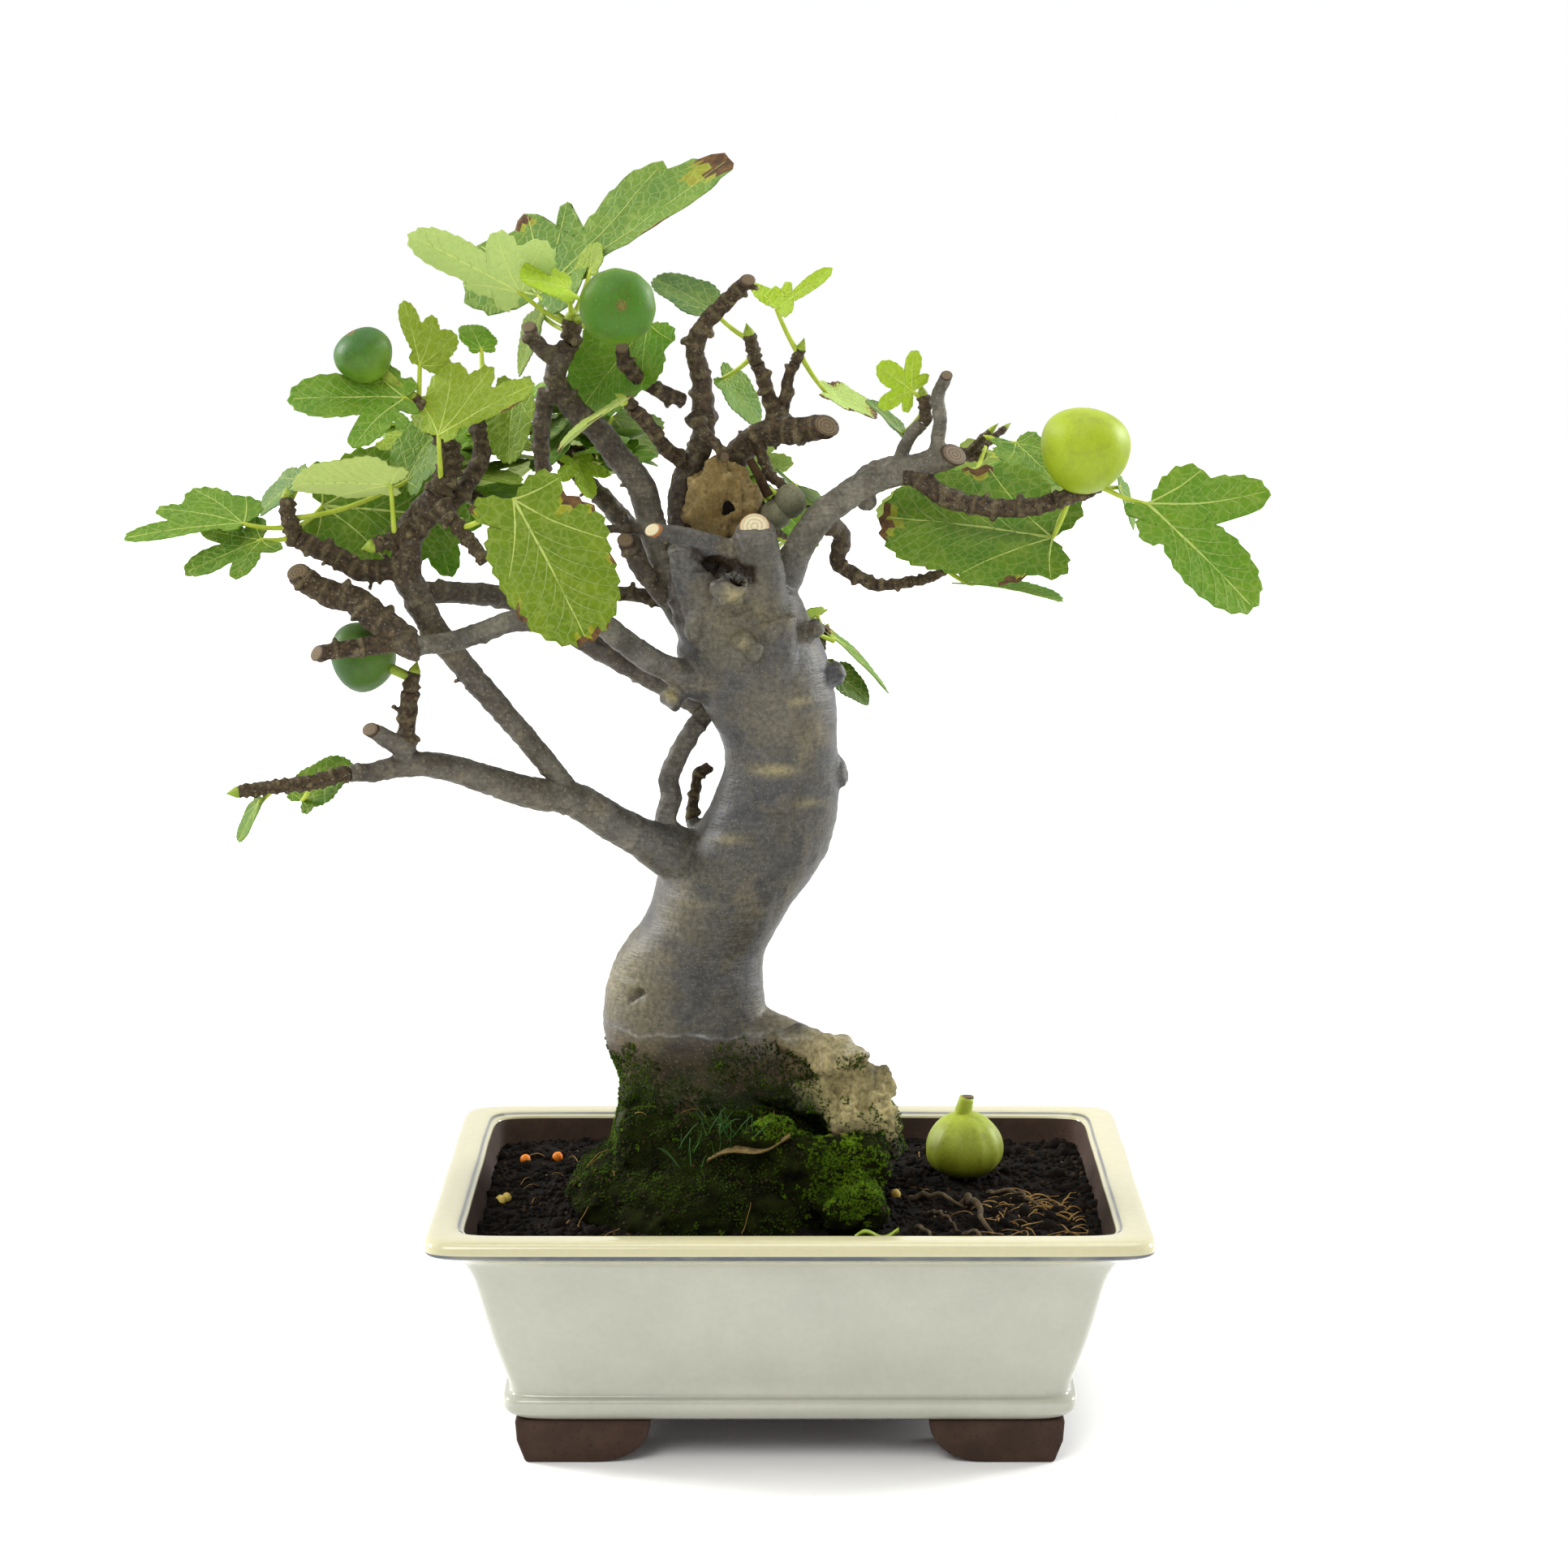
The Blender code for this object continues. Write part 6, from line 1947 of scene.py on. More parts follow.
        for at, far, spread in leaf.form:
            if far < 0.35:
                continue
            way = math.radians(at)
            tip = Vector((math.cos(way), math.sin(way) * leaf.breadth)) * far * 0.95
            run(Vector((0.0, 0.0)), tip, 1.3 if at == 0 else 0.9, 0.0 if at == 0 else -0.04 * math.copysign(1, at),
                main)
            share = 0.22
            while share < 0.88 and (at == 0 or (far > 0.7 and abs(at) > 25)):
                root = tip * share
                for hand in (-1, 1):
                    aim = math.atan2(tip.y, tip.x) + hand * math.radians(48 - 10 * share)
                    ray = Vector((math.cos(aim), math.sin(aim)))
                    out = 0.0
                    while out < 0.6 and self.inside(leaf, root + ray * (out + 0.02), at, spread):
                        out += 0.02
                    if out > 0.07:
                        run(root, root + ray * out, 0.55, -0.08 * hand, thin)
                share += form.vein_step if at == 0 else form.vein_step / far

    def inside(self, leaf: Leaf, point: Vector, at: float, spread: float) -> bool:
        """Whether a side vein may go on.

        Args:
            leaf: the leaf.
            point: the place of the plan that it comes to.
            at: the angle of the lobe that it lies in.
            spread: how wide that lobe is.

        Returns:
            Whether the place is within the edge and the lobe's own part.
        """
        angle = math.degrees(math.atan2(point.y / leaf.breadth, point.x))
        if math.hypot(point.x, point.y / leaf.breadth) > self.form.reach(leaf.form, angle) * 0.96:
            return False
        if at:
            return abs(angle - at) <= spread * 0.72
        return not (len(leaf.form) > 2 and abs(angle) > 34 and point.x < 0.4)

    def leaf(self, leaf: Leaf, stem: list[Vector], tone: Tone, dry: float, burnt: float = 0.0) -> None:
        """Adds a leaf: a bowed stalk with a swollen foot, and its blade."""
        root = along(stem, leaf.at)
        base = root + heading(*leaf.petiole[1:]) * leaf.petiole[0]
        into = heading(*leaf.blade[1:])
        sag = Vector((0, 0, -0.05 * leaf.petiole[0]))
        line = []
        steps = 8
        for step in range(steps + 1):
            t = step / steps
            line.append(root.lerp(base, t) + sag * math.sin(t * math.pi))
        line.append(base + into * 2.5)
        radii = [1.35 - 0.3 * step / steps + 0.5 * math.exp(-step * 1.4) for step in range(steps + 1)] + [0.6]
        self.leaves.tube(line, radii, 8, PETIOLE)
        self.blade(base, leaf, tone, dry, burnt)

    def stem(self, line: list[Vector], radii: tuple, bud: bool) -> None:
        """Adds a knobbly twig with ring scars, pale leaf scars, and perhaps a green bud at its end.

        Args:
            line: its points.
            radii: its radii at both ends.
            bud: whether it ends in a bud.
        """
        dice = self.dice
        length = sum((b - a).length for a, b in zip(line, line[1:]))
        count = max(6, round(length / 0.8))
        fine = [along(line, i / (count - 1)) for i in range(count)]
        sizes, knots, frames = taper(radii, count), [0.0] * count, carried(fine)
        run, turn = dice.uniform(2, 4), dice.uniform(0, math.tau)
        while run < length - 0.5:
            at = run / length * (count - 1)
            for i in range(count):
                knots[i] += 0.24 * math.exp(-((i - at) * length / (count - 1) / 0.9) ** 2)
            _, side, over = frames[int(at)]
            out = (side * math.cos(turn) + over * math.sin(turn)) * sizes[int(at)]
            size = sizes[int(at)] * 0.46
            self.twigs.blob(fine[int(at)] + out * 0.86, (size, size, size), BARK, 0.4, 8, 5, share=0.3)
            turn += math.radians(137.5)
            run += dice.uniform(3.5, 6.5)
        shift = dice.uniform(0, 90)

        def swell(number: int, angle: float) -> float:
            """The factor of the twig's radius at a point and angle."""
            way = Vector((math.cos(angle), math.sin(angle), number * 0.3 + shift))
            return 1 + knots[number] + 0.3 * noise.noise(way * 1.3)

        self.twigs.tube(fine, sizes, 12, BARK, [0.04] * count, swell=swell)
        if bud:
            way, tip, size = frames[-1][0], fine[-1], sizes[-1]
            steps = ((-0.6, 0.8), (0.4, 0.95), (1.6, 0.9), (3.2, 0.6), (5.0, 0.25), (6.2, 0.05))
            self.twigs.tube([tip + way * high for high, _ in steps], [size * share for _, share in steps], 10, BUD)

    def fig(self, fig: Fig, stem: list[Vector], skin: Skin) -> None:
        """Adds a fig on its stalk."""
        root = along(stem, fig.at)
        middle = root + heading(*fig.stalk[1:]) * fig.stalk[0]
        self.fruit.tube([root, root.lerp(middle, 0.35), middle], [2.3, 2.5, 2.8], 12, BUD)
        turned_fig(self.fruit, middle, fig.width, fig.height, heading(*fig.axis), skin.value)

    def kept_twigs(self, line: list[Vector]) -> list[list[Vector]]:
        """Repeats the source's draws for twigs and leaves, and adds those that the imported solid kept."""
        mass, dice = self.mass, self.growth.dice
        lines, kept = [line], []
        for number in range(TWIGS):
            root = along(line, 0.25 + 0.75 * number / TWIGS)
            way = heading(dice.uniform(-20, 200), dice.uniform(-35, 60))
            tip = root + way * dice.uniform(*TWIG_LENGTH)
            lines.append([root, tip])
            if self.shows(tip, 0.5):
                kept.append([root, tip])
        offers = []
        for _ in range(TRIES):
            bearing = dice.uniform(0, 360)
            offers.append((dice.choice(lines), Leaf(
                dice.uniform(0.3, 1.0),
                (dice.uniform(*MORE_PETIOLE), bearing, dice.uniform(-25, 60)),
                (dice.uniform(*MORE_BLADE), bearing + dice.uniform(-50, 50), dice.uniform(*MORE_RISE)),
                dice.uniform(-30, 30),
                dice.choice((OVAL, OVAL, LOBED, MITTEN)),
                dice.uniform(0.75, 1.0),
                MORE_APART,
            )))
        grown = 0
        for stem, leaf in offers:
            base = along(stem, leaf.at) + heading(*leaf.petiole[1:]) * leaf.petiole[0]
            if grown < mass.more and all(self.shows(point, 0.85) for point in self.corners(base, leaf)):
                self.leaf(leaf, stem, self.dice.choice(MORE_TONES), self.dice.choice((0.0, 0.0, 0.2, 0.35)))
                grown += 1
        log.info("%s: %d leaves and %d twigs of the rule", mass.name, grown, len(kept))
        return kept

    def corners(self, base: Vector, leaf: Leaf) -> list[Vector]:
        """Finds the tips of a blade's three longest lobes.

        Args:
            base: where the stalk ends.
            leaf: the leaf.

        Returns:
            The tips, in the pot's millimetres.
        """
        turn, found = facing(leaf), []
        for at, _, _ in leaf.form[:3]:
            far = max(
                reach * max(math.cos(math.radians(min(abs(at - lobe) / spread * 90, 90))), 0) ** self.form.blunt
                for lobe, reach, spread in leaf.form
            )
            x, y = far * math.cos(math.radians(at)), far * math.sin(math.radians(at)) * leaf.breadth
            z = self.form.fold * abs(y) + self.form.arch * x * (1 - x)
            found.append(base + turn @ Vector((x, y, z)) * leaf.blade[0])
        return found

    def shows(self, point: Vector, within: float) -> bool:
        """Whether the mass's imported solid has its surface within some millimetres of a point."""
        return self.solid.find_nearest((point + POT_PLACE) * MM, within * MM)[0] is not None

    def finer(self, lines: list[list[Vector]]) -> None:
        """Adds small young leaves near the twigs' ends, where they stay clear of every solid."""
        centre, radii = self.mass.space
        dice = self.dice
        for line in lines:
            grown = 0
            for _ in range(40):
                leaf = Leaf(
                    dice.uniform(0.5, 1.0), (dice.uniform(9, 18), dice.uniform(0, 360), dice.uniform(-10, 60)),
                    (dice.uniform(20, 34), 0, 0), dice.uniform(-30, 30), dice.choice((OVAL, LOBED)),
                    dice.uniform(0.8, 1.0),
                )
                blade = (leaf.blade[0], leaf.petiole[1] + dice.uniform(-40, 40), dice.uniform(-50, 20))
                leaf = Leaf(leaf.at, leaf.petiole, blade, leaf.roll, leaf.form, leaf.breadth)
                base = along(line, leaf.at) + heading(*leaf.petiole[1:]) * leaf.petiole[0]
                places = [base, *self.corners(base, leaf)]
                inner = all(sum(((p[i] - centre[i]) / radii[i]) ** 2 for i in range(3)) < 1 for p in places)
                if inner and all(self.free(p) for p in places):
                    self.leaf(leaf, line, dice.choice((Tone.YOUNG, Tone.FRESH, Tone.BRIGHT)), 0.0)
                    grown += 1
                if grown == 3:
                    break

    def free(self, point: Vector) -> bool:
        """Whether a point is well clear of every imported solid."""
        return self.others.find_nearest((point + POT_PLACE) * MM, 5 * MM)[0] is None

    def make(self) -> None:
        """Grows the mass and settles its pieces."""
        mass = self.mass
        line = line_of(mass.start, mass.legs, self.growth.tips, 1)
        fine = line_of(mass.start, mass.legs, self.growth.tips, 8)
        self.stem(fine, mass.radii, bud=mass.name not in ("leaves_front", "figs_spent"))
        for leaf, dress in zip(mass.leaves, DRESS.get(mass.name, ())):
            self.leaf(leaf, line, *dress)
        for fig in mass.figs:
            self.fig(fig, line, FIG_SKINS[mass.name])
        if mass.space:
            kept = self.kept_twigs(line)
            for twig in kept:
                self.stem(twig, TWIG_RADII, bud=True)
            self.finer([line, *kept])
        word = mass.name.removeprefix("leaves_")
        for shell, kind, slot in ((self.twigs, "twigs", "bark"), (self.leaves, "leaves", "foliage"),
                                  (self.fruit, "figs", "fruit")):
            if shell.points:
                settle(self.named(shell, f"{kind}_of_{word}"), f"{kind}_of_{word}", slot, (mass.name,))

    @staticmethod
    def named(shell: Shell, name: str) -> bpy.types.Mesh:
        """Makes a shell's mesh with the bark's values for its twigs.

        Args:
            shell: the shell, whose shares say how pale its bark is.
            name: the mesh's name.

        Returns:
            The mesh.
        """
        mesh = shell.mesh(name)
        mesh.attributes.new("age", "FLOAT", "POINT").data.foreach_set("value", [0.95] * len(mesh.vertices))
        mesh.attributes.new("scar", "FLOAT", "POINT").data.foreach_set("value", shell.shares)
        return mesh


def turned_fig(shell: Shell, middle: Vector, width: float, height: float, axis: Vector, skin: Finish,
               ribs: float = 0.01) -> None:
    """Adds a fig: a ribbed pear shape with an eye of small scales.

    Args:
        shell: what it is added to.
        middle: its middle.
        width: its width.
        height: its height along its axis.
        axis: where its eye points.
        skin: its finish.
        ribs: how far its ribs stand out, as a share of its width.
    """
    bands = 28
    line, radii, shares = [], [], []
    for band in range(bands + 1):
        angle = math.pi * limited(band / bands, 0.012, 0.988)
        line.append(middle - axis * height * math.cos(angle) * 0.5)
        radii.append(math.sin(angle) ** 0.94 * 0.5 * (1 - 0.14 * math.cos(angle)) * width)
        shares.append(band / bands)

    def swell(number: int, angle: float) -> float:
        """The factor of the fig's radius at a band and angle."""
        out = math.sin(math.pi * number / bands)
        way = Vector((math.cos(angle), math.sin(angle), number * 0.1)) + middle * 0.1
        return 1 + out * (ribs * math.cos(11 * angle) + 0.05 * noise.noise(way * 1.1))

    shell.tube(line, radii, 44, skin, shares, swell)
    side = axis.orthogonal().normalized()
    over = axis.cross(side)
    eye = middle + axis * height * 0.485
    for number in range(9):
        turn = number * math.tau / 8
        out = (side * math.cos(turn) + over * math.sin(turn)) * (1.9 if number else 0)
        shell.blob(eye + out, (1.0, 1.0, 0.6), FIG_EYE, 0.3, 8, 5, axis)


@dataclass
class Pot:
    """The glazed pot: a squared bowl with a rolled lip, on bracket feet of bare clay."""

    narrower: float = 45.0
    squareness: float = 22.0
    # Height, half length and how far the glaze breaks there, which also paints shade under the lip, inside the rim and
    # in the grooves, up the outside and down to the soil
    outside: tuple = (
        (22, 135, 0), (25, 139.5, 0.1), (29, 142, 0), (34, 141.5, 0), (37, 138.5, 0.3), (60, 145.5, 0),
        (79, 150.5, 0), (97, 155, 0), (107, 160, 0), (111, 164.6, 0.1), (113.6, 171, 0.6),
        (115.6, 175.6, 1), (117, 176.9, 1), (117.9, 177, 0.9), (118.6, 177, 0), (122, 176, 0), (124, 173, 0),
    )
    inside: tuple = ((124.3, 167, 0), (124, 162.6, 0.2), (123.2, 161, 0.95), (122.2, 159.6, 0.4), (121, 158.4, 0), (111, 155.5, 0),
                     (30, 130, 0))
    bare_below: float = 119.5
    foot_height: float = 22.0
    foot_length: float = 67.0
    foot_sole: float = 36.0
    foot_depth: float = 42.0
    foot_inset: float = -0.5

    def plan(self, half: float, height: float, uneven: float = 0.0) -> list[Vector]:
        """A ring of the pot's plan with points close together round the corners.

        Args:
            half: half of its length.
            height: its height.
            uneven: how far it strays, in millimetres.

        Returns:
            Its points, counterclockwise from above.
        """
        power = self.squareness
        rough = []
        for i in range(2880):
            angle = (i + 0.5) * math.tau / 2880
            x, y = math.cos(angle), math.sin(angle)
            rough.append(Vector((x, y, 0)) * (abs(x) ** power + abs(y) ** power) ** (-1 / power))
        weights = [0.0]
        for a, b, c in zip(rough, rough[1:] + rough[:1], rough[2:] + rough[:2]):
            bend = (b - a).angle(c - b, 0.0)
            weights.append(weights[-1] + (b - a).length * 28 + bend * 12)
        ring = []
        count = 288
        for i in range(count):
            place = rough[min(bisect_left(weights, weights[-1] * i / count), len(rough) - 1)]
            point = Vector((place.x * half, place.y * (half - self.narrower), height))
            stray = noise.noise(point / 40) * uneven
            ring.append(point * (1 + stray / half) if uneven else point)
            ring[-1].z = height + stray * 0.3
        return ring

    def make_wall(self) -> None:
        """The wall and lip, smoothed over the profile's places."""
        steps = 3
        profile = smooth([Vector(place) for place in (*self.outside, *self.inside[:-1])], steps)
        profile.append(Vector(self.inside[-1]))
        shell = Shell()
        rings = [self.plan(half, height, 0.35) for height, half, _ in profile]
        shares = [limited(edge) for _, _, edge in profile]
        inner = steps * len(self.outside)
        bands = [CLAY if z < 23.4 or (i > inner and z < self.bare_below) else GLAZE
                 for i, (z, _, _) in enumerate(profile)]
        shell.loft(rings, GLAZE, shares, [CLAY, *bands[1:], CLAY])
        settle(shell.mesh("pot_wall"), "pot_wall", "glaze", ("pot",))

    def make_feet(self) -> None:
        """The four feet: a straight sole whose inner end curves up to the pot."""
        outline = [(0.0, self.foot_height), (0.8, self.foot_height * 0.5), (5.0, 0.0), (self.foot_sole, 0.0)]
        steps = 14
        for step in range(1, steps + 1):
            t = step / steps * math.pi / 2
            outline.append((
                self.foot_sole + (self.foot_length - self.foot_sole) * math.sin(t),
                self.foot_height * (1 - math.cos(t)) ** 1.2,
            ))
        shell = Shell()
        half = self.outside[0][1] - self.foot_inset
        for side in (-1, 1):
            for front in (-1, 1):
                middle = Vector((side * half, front * (half - self.narrower - self.foot_depth / 2), 0))
                rings = []
                for depth in (self.foot_depth / 2, -self.foot_depth / 2):
                    ring = [middle + Vector((-side * x, depth, z)) for x, z in outline]
                    rings.append(ring if side == 1 else list(reversed(ring)))
                shell.loft(rings, CLAY)
        mesh = shell.mesh("feet")
        item = loose(mesh, "feet")
        edge = item.modifiers.new("worn edge", "BEVEL")
        edge.width = 1.4 * MM
        edge.segments = 3
        edge.limit_method = "ANGLE"
        edge.angle_limit = math.radians(35)
        done = worked(item)
        settle(done, "pot_feet", "clay", ("foot_front_left", "foot_back_left", "foot_front_right", "foot_back_right"))


@dataclass
class Bed:
    """What fills the pot: soil with crumbs and grit, a moss mound, pellets, roots, rootlets and tufts."""

    pot: Pot
    half: float = 154.5
    low: float = 100.0
    top: float = 109.6
    mound_place: tuple = (-32, 3)
    # Half lengths to the right, to the left and in depth
    mound_radii: tuple = (74, 82, 78)
    mound_foot: float = 110.3
    mound_height: float = 50.0
    # How far the mound narrows toward its top, as a share of a quarter turn
    mound_turn: float = 0.82
    ground: BVHTree | None = None
    # Place across and in depth, radius, whether it is orange
    pellets: tuple = (
        (-139.5, 64, 2.8, True), (-122.8, 70, 2.8, True), (-111.4, -4.5, 2.1, True), (-147, -12, 2.8, False),
        (-144.5, -4, 2.6, False), (54, -4, 2.8, False), (22, -88, 1.6, True),
    )
    # Lumps of moss over the roots: middle and half sizes
    cushions: tuple = (((36, -46, 142), (14, 13, 17)), ((22, -52, 138), (18, 13, 17)), ((-9, -46, 152), (15, 11, 11)),
                       ((30, -60, 122), (18, 18, 14)), ((-70, -28, 144), (17, 18, 20)), ((-38, -40, 148), (16, 14, 14)),
                       ((6, -50, 142), (16, 13, 13)), ((-54, -36, 144), (16, 14, 18)), ((-90, -30, 118), (22, 28, 14)))
    # Where moss has crept up the trunk: place across and up, half width and half height
    patches: tuple = ((-80, 174, 20, 18), (-58, 166, 20, 14), (-17, 184, 26, 14), (4, 176, 12, 16), (30, 190, 8, 5))

    def make(self, trunk: bpy.types.Mesh) -> None:
        """Makes all of it.

        Args:
            trunk: the trunk's mesh, in metres and in place.
        """
        soil, mound = self.make_soil(), self.make_mound()
        solid = bmesh.new()
        solid.from_mesh(soil)
        solid.from_mesh(mound)
        self.ground = BVHTree.FromBMesh(solid)
        solid.free()
        self.make_moss(trunk, mound)
        self.make_bits()
        self.make_strands()

    def on_top(self, x: float, y: float, rise: float = 0.0) -> Vector:
        """Finds the place on the soil or moss at a point of the plan.

        Args:
            x: the point across.
            y: its depth.
            rise: how far above it the place lies.

        Returns:
            The place, in the pot's millimetres.
        """
        hit, *_ = self.ground.ray_cast((Vector((x, y, 300)) + POT_PLACE) * MM, Vector((0, 0, -1)))
        return Vector((x, y, (hit.z / MM if hit else self.top) + rise))

    def make_soil(self) -> bpy.types.Mesh:
        """Makes the soil's body, and three kinds of crumbs strewn on it.

        Returns:
            The body's mesh.
        """
        outer = self.pot.plan(self.half, 0)[::2]
        rings = [[Vector((p.x * 0.97, p.y * 0.97, self.low)) for p in outer]]
        rows = 44
        for row in range(rows):
            share = 1 - row / (rows - 0.5)
            rings.append([Vector((p.x * share, p.y * share, self.top)) for p in outer])
        shell = Shell()
        shell.loft(rings, SOIL)
        body = ruled("uneven ground", shell.mesh("soil"), SOIL, Height=3.4 * MM, Scale=42.0, Seed=SEED)
        settle(body, "soil_surface", "soil", ("soil",))
        surface = part_of(body, lambda place, normal: normal.z > 0.4)
        for name, finish, density, low, high, seed in (
            ("crumbs_dark", CRUMB_DARK, 62000.0, 0.5, 2.6, 3), ("crumbs_brown", CRUMB_BROWN, 12000.0, 0.4, 1.8, 5),
            ("clods", CRUMB_DARK, 3000.0, 2.5, 5.0, 6), ("grit_pale", CRUMB_PALE, 1500.0, 0.4, 1.0, 8),
        ):
            settle(ruled("strewn parts", surface.copy(), finish, Part=self.lump(seed), Density=density,
                         Smallest=low, Largest=high, Lean=2.6, Seed=seed), name, "soil")
        return body

    @staticmethod
    def lump(seed: int) -> bpy.types.Mesh:
        """An uneven grain of twenty faces, a millimetre in radius."""
        form = bmesh.new()
        bmesh.ops.create_icosphere(form, subdivisions=1, radius=MM)
        for vertex in form.verts:
            vertex.co *= 1 + 0.35 * noise.noise(vertex.co.normalized() * 1.9 + Vector((seed, 0, 0)))
            vertex.co.z *= 0.8
        mesh = bpy.data.meshes.new("lump")
        form.to_mesh(mesh)
        form.free()
        return mesh

    @staticmethod
    def sprig(leaves: int = 4) -> bpy.types.Mesh:
        """A moss sprig of three-sided spikes, about two millimetres high."""
        shell = Shell()
        for number in range(leaves):
            turn = number * math.tau / leaves + 0.3
            out = Vector((math.cos(turn), math.sin(turn), 0))
            side = Vector((-out.y, out.x, 0))
            lean = 0.75 if number else 0.1
            foot = out * 0.15
            tip = out * 1.3 * lean + Vector((0, 0, 2.1 - 0.7 * lean))
            points = [foot + side * 0.32, foot - side * 0.32, foot + out * 0.3 + Vector((0, 0, -0.25)), tip]
            shell.add(points, [(0, 1, 2), (1, 0, 3), (2, 1, 3), (0, 2, 3)], MOSS_DARK)
        mesh = shell.mesh("sprig", Vector((0, 0, 0)))
        mesh.materials.clear()
        return mesh

    def make_mound(self) -> bpy.types.Mesh:
        """Makes the moss mound's body.

        Returns:
            Its mesh.
        """
        sides, levels = 120, 30
        rings = []
        for level in range(-1, levels + 1):
            t = max(level, 0) / levels
            shrink = math.cos(t * math.pi / 2 * self.mound_turn) ** 0.8
            ring = []
            for i in range(sides):
                angle = i * math.tau / sides
                wide, steep = (self.mound_radii[0], 1) if math.cos(angle) > 0 else (self.mound_radii[1], 2)
                ripple = 1 + (0.05 * math.sin(3 * angle + 1) + 0.03 * math.sin(5 * angle)) * (1 - 0.5 * t)
                ring.append(Vector((
                    self.mound_place[0] + wide * shrink ** steep * ripple * math.cos(angle),
                    self.mound_place[1] + self.mound_radii[2] * shrink * ripple * math.sin(angle),
                    self.mound_foot + self.mound_height * t - (5 if level < 0 else 0),
                )))
            rings.append(ring)
        shell = Shell()
        shell.loft(rings, MOSS_BED)
        for middle, radii in self.cushions:
            shell.blob(Vector(middle), radii, MOSS_BED, 0.3, 30, 20)
        body = ruled("uneven ground", run_together(shell.mesh("mound"), 2.2, 12), MOSS_BED, Height=3.2 * MM,
                     Scale=95.0, Seed=SEED)
        settle(body, "moss_bed", "moss", ("moss_mound",))
        return body

    def make_moss(self, trunk: bpy.types.Mesh, mound: bpy.types.Mesh) -> None:
        """Grows sprigs on the mound and on the trunk's foot, brighter at the front right.

        Args:
            trunk: the trunk's mesh, in metres and in place.
            mound: the mound's mesh.
        """
        def green(place: Vector, normal: Vector) -> bool:
            """Whether moss grows on the mound, thinner low on the left and in the middle of the front."""
            bare = 0.4 * math.exp(-((place.x + 15) / 28) ** 2 - ((place.z - 124) / 15) ** 2)
            share = noise.noise(place / 11) + (place.z - 112) / 45 + (0.3 if place.x > -60 else 0) - bare
            return normal.z > -0.1 and share + 0.3 * noise.noise(place * 1.7) > 0.1

        def bright(place: Vector, normal: Vector) -> bool:
            """Whether bright moss grows on the mound: at the front right and on a cushion in the middle."""
            right = math.exp(-((place.x - 28) / 20) ** 2 - ((place.z - 138) / 22) ** 2)
            middle = math.exp(-((place.x + 8) / 12) ** 2 - ((place.z - 160) / 7) ** 2)
            share = 0.75 * right + 0.65 * middle + 0.25 * noise.noise(place / 6) + 0.5 * noise.noise(place * 1.7)
            return place.y < -20 and normal.z > -0.1 and share > 0.38

        def lit(place: Vector, normal: Vector) -> bool:
            """Whether bright moss grows on the trunk: on its left foot and here and there."""
            left = 1.2 * math.exp(-((place.x + 82) / 14) ** 2 - ((place.z - 172) / 16) ** 2)
            return left + noise.noise(place / 8) + 0.4 * noise.noise(place * 1.7) > 0.3

        def crept(place: Vector, normal: Vector) -> bool:
            """Whether moss covers a place of the trunk."""
            near = (166 - place.z) / 40
            if normal.y < 0.3:
                near = max(near, *(1 - ((place.x - x) / wide) ** 2 - ((place.z - z) / high) ** 2
                                   for x, z, wide, high in self.patches))
            return 112 < place.z < 200 and near + 0.8 * noise.noise(place / 7) > 0.15

        upper = part_of(mound, lambda place, normal: normal.z > -0.1)
        foot = part_of(trunk, crept)
        for name, surface, finish, count, low, high in (
            ("moss_dark", part_of(mound, green), MOSS_DARK, 11500, 0.35, 1.0),
            ("moss_bright", part_of(mound, bright), MOSS_LIGHT, 5200, 0.35, 1.0),
            ("moss_on_trunk", foot, MOSS_DARK, 11000, 0.35, 1.0),
            ("moss_on_trunk_bright", part_of(foot, lit), MOSS_LIGHT, 2400, 0.35, 0.8),
        ):
            settle(ruled("strewn parts", surface, finish, Part=self.sprig(), Smallest=low, Largest=high, Lean=0.7,
                         Density=count / sum(face.area for face in surface.polygons), Seed=SEED), name, "moss")
        settle(ruled("strewn parts", upper, CRUMB_BROWN, Part=self.lump(4), Density=14000.0, Smallest=0.3,
                     Largest=1.3, Lean=2.6, Seed=SEED), "crumbs_on_moss", "soil")

    def make_bits(self) -> None:
        """Makes the pellets, a dry leaf strip and a green scrap."""
        bits = Shell()
        for x, y, radius, orange in self.pellets:
            bits.blob(self.on_top(x, y, radius * 0.7), (radius, radius * 0.92, radius),
                      PELLET if orange else PELLET_PALE, 0.12, 14, 10)
        self.strip(bits, self.on_top(-41, -55.5, 3), self.on_top(0, -58, 3), 6.0, HUSK)
        self.strip(bits, self.on_top(31.6, -92, 5), self.on_top(53.1, -90, 6), 2.6, BUD)
        settle(bits.mesh("bits_on_soil"), "bits_on_soil", "soil")

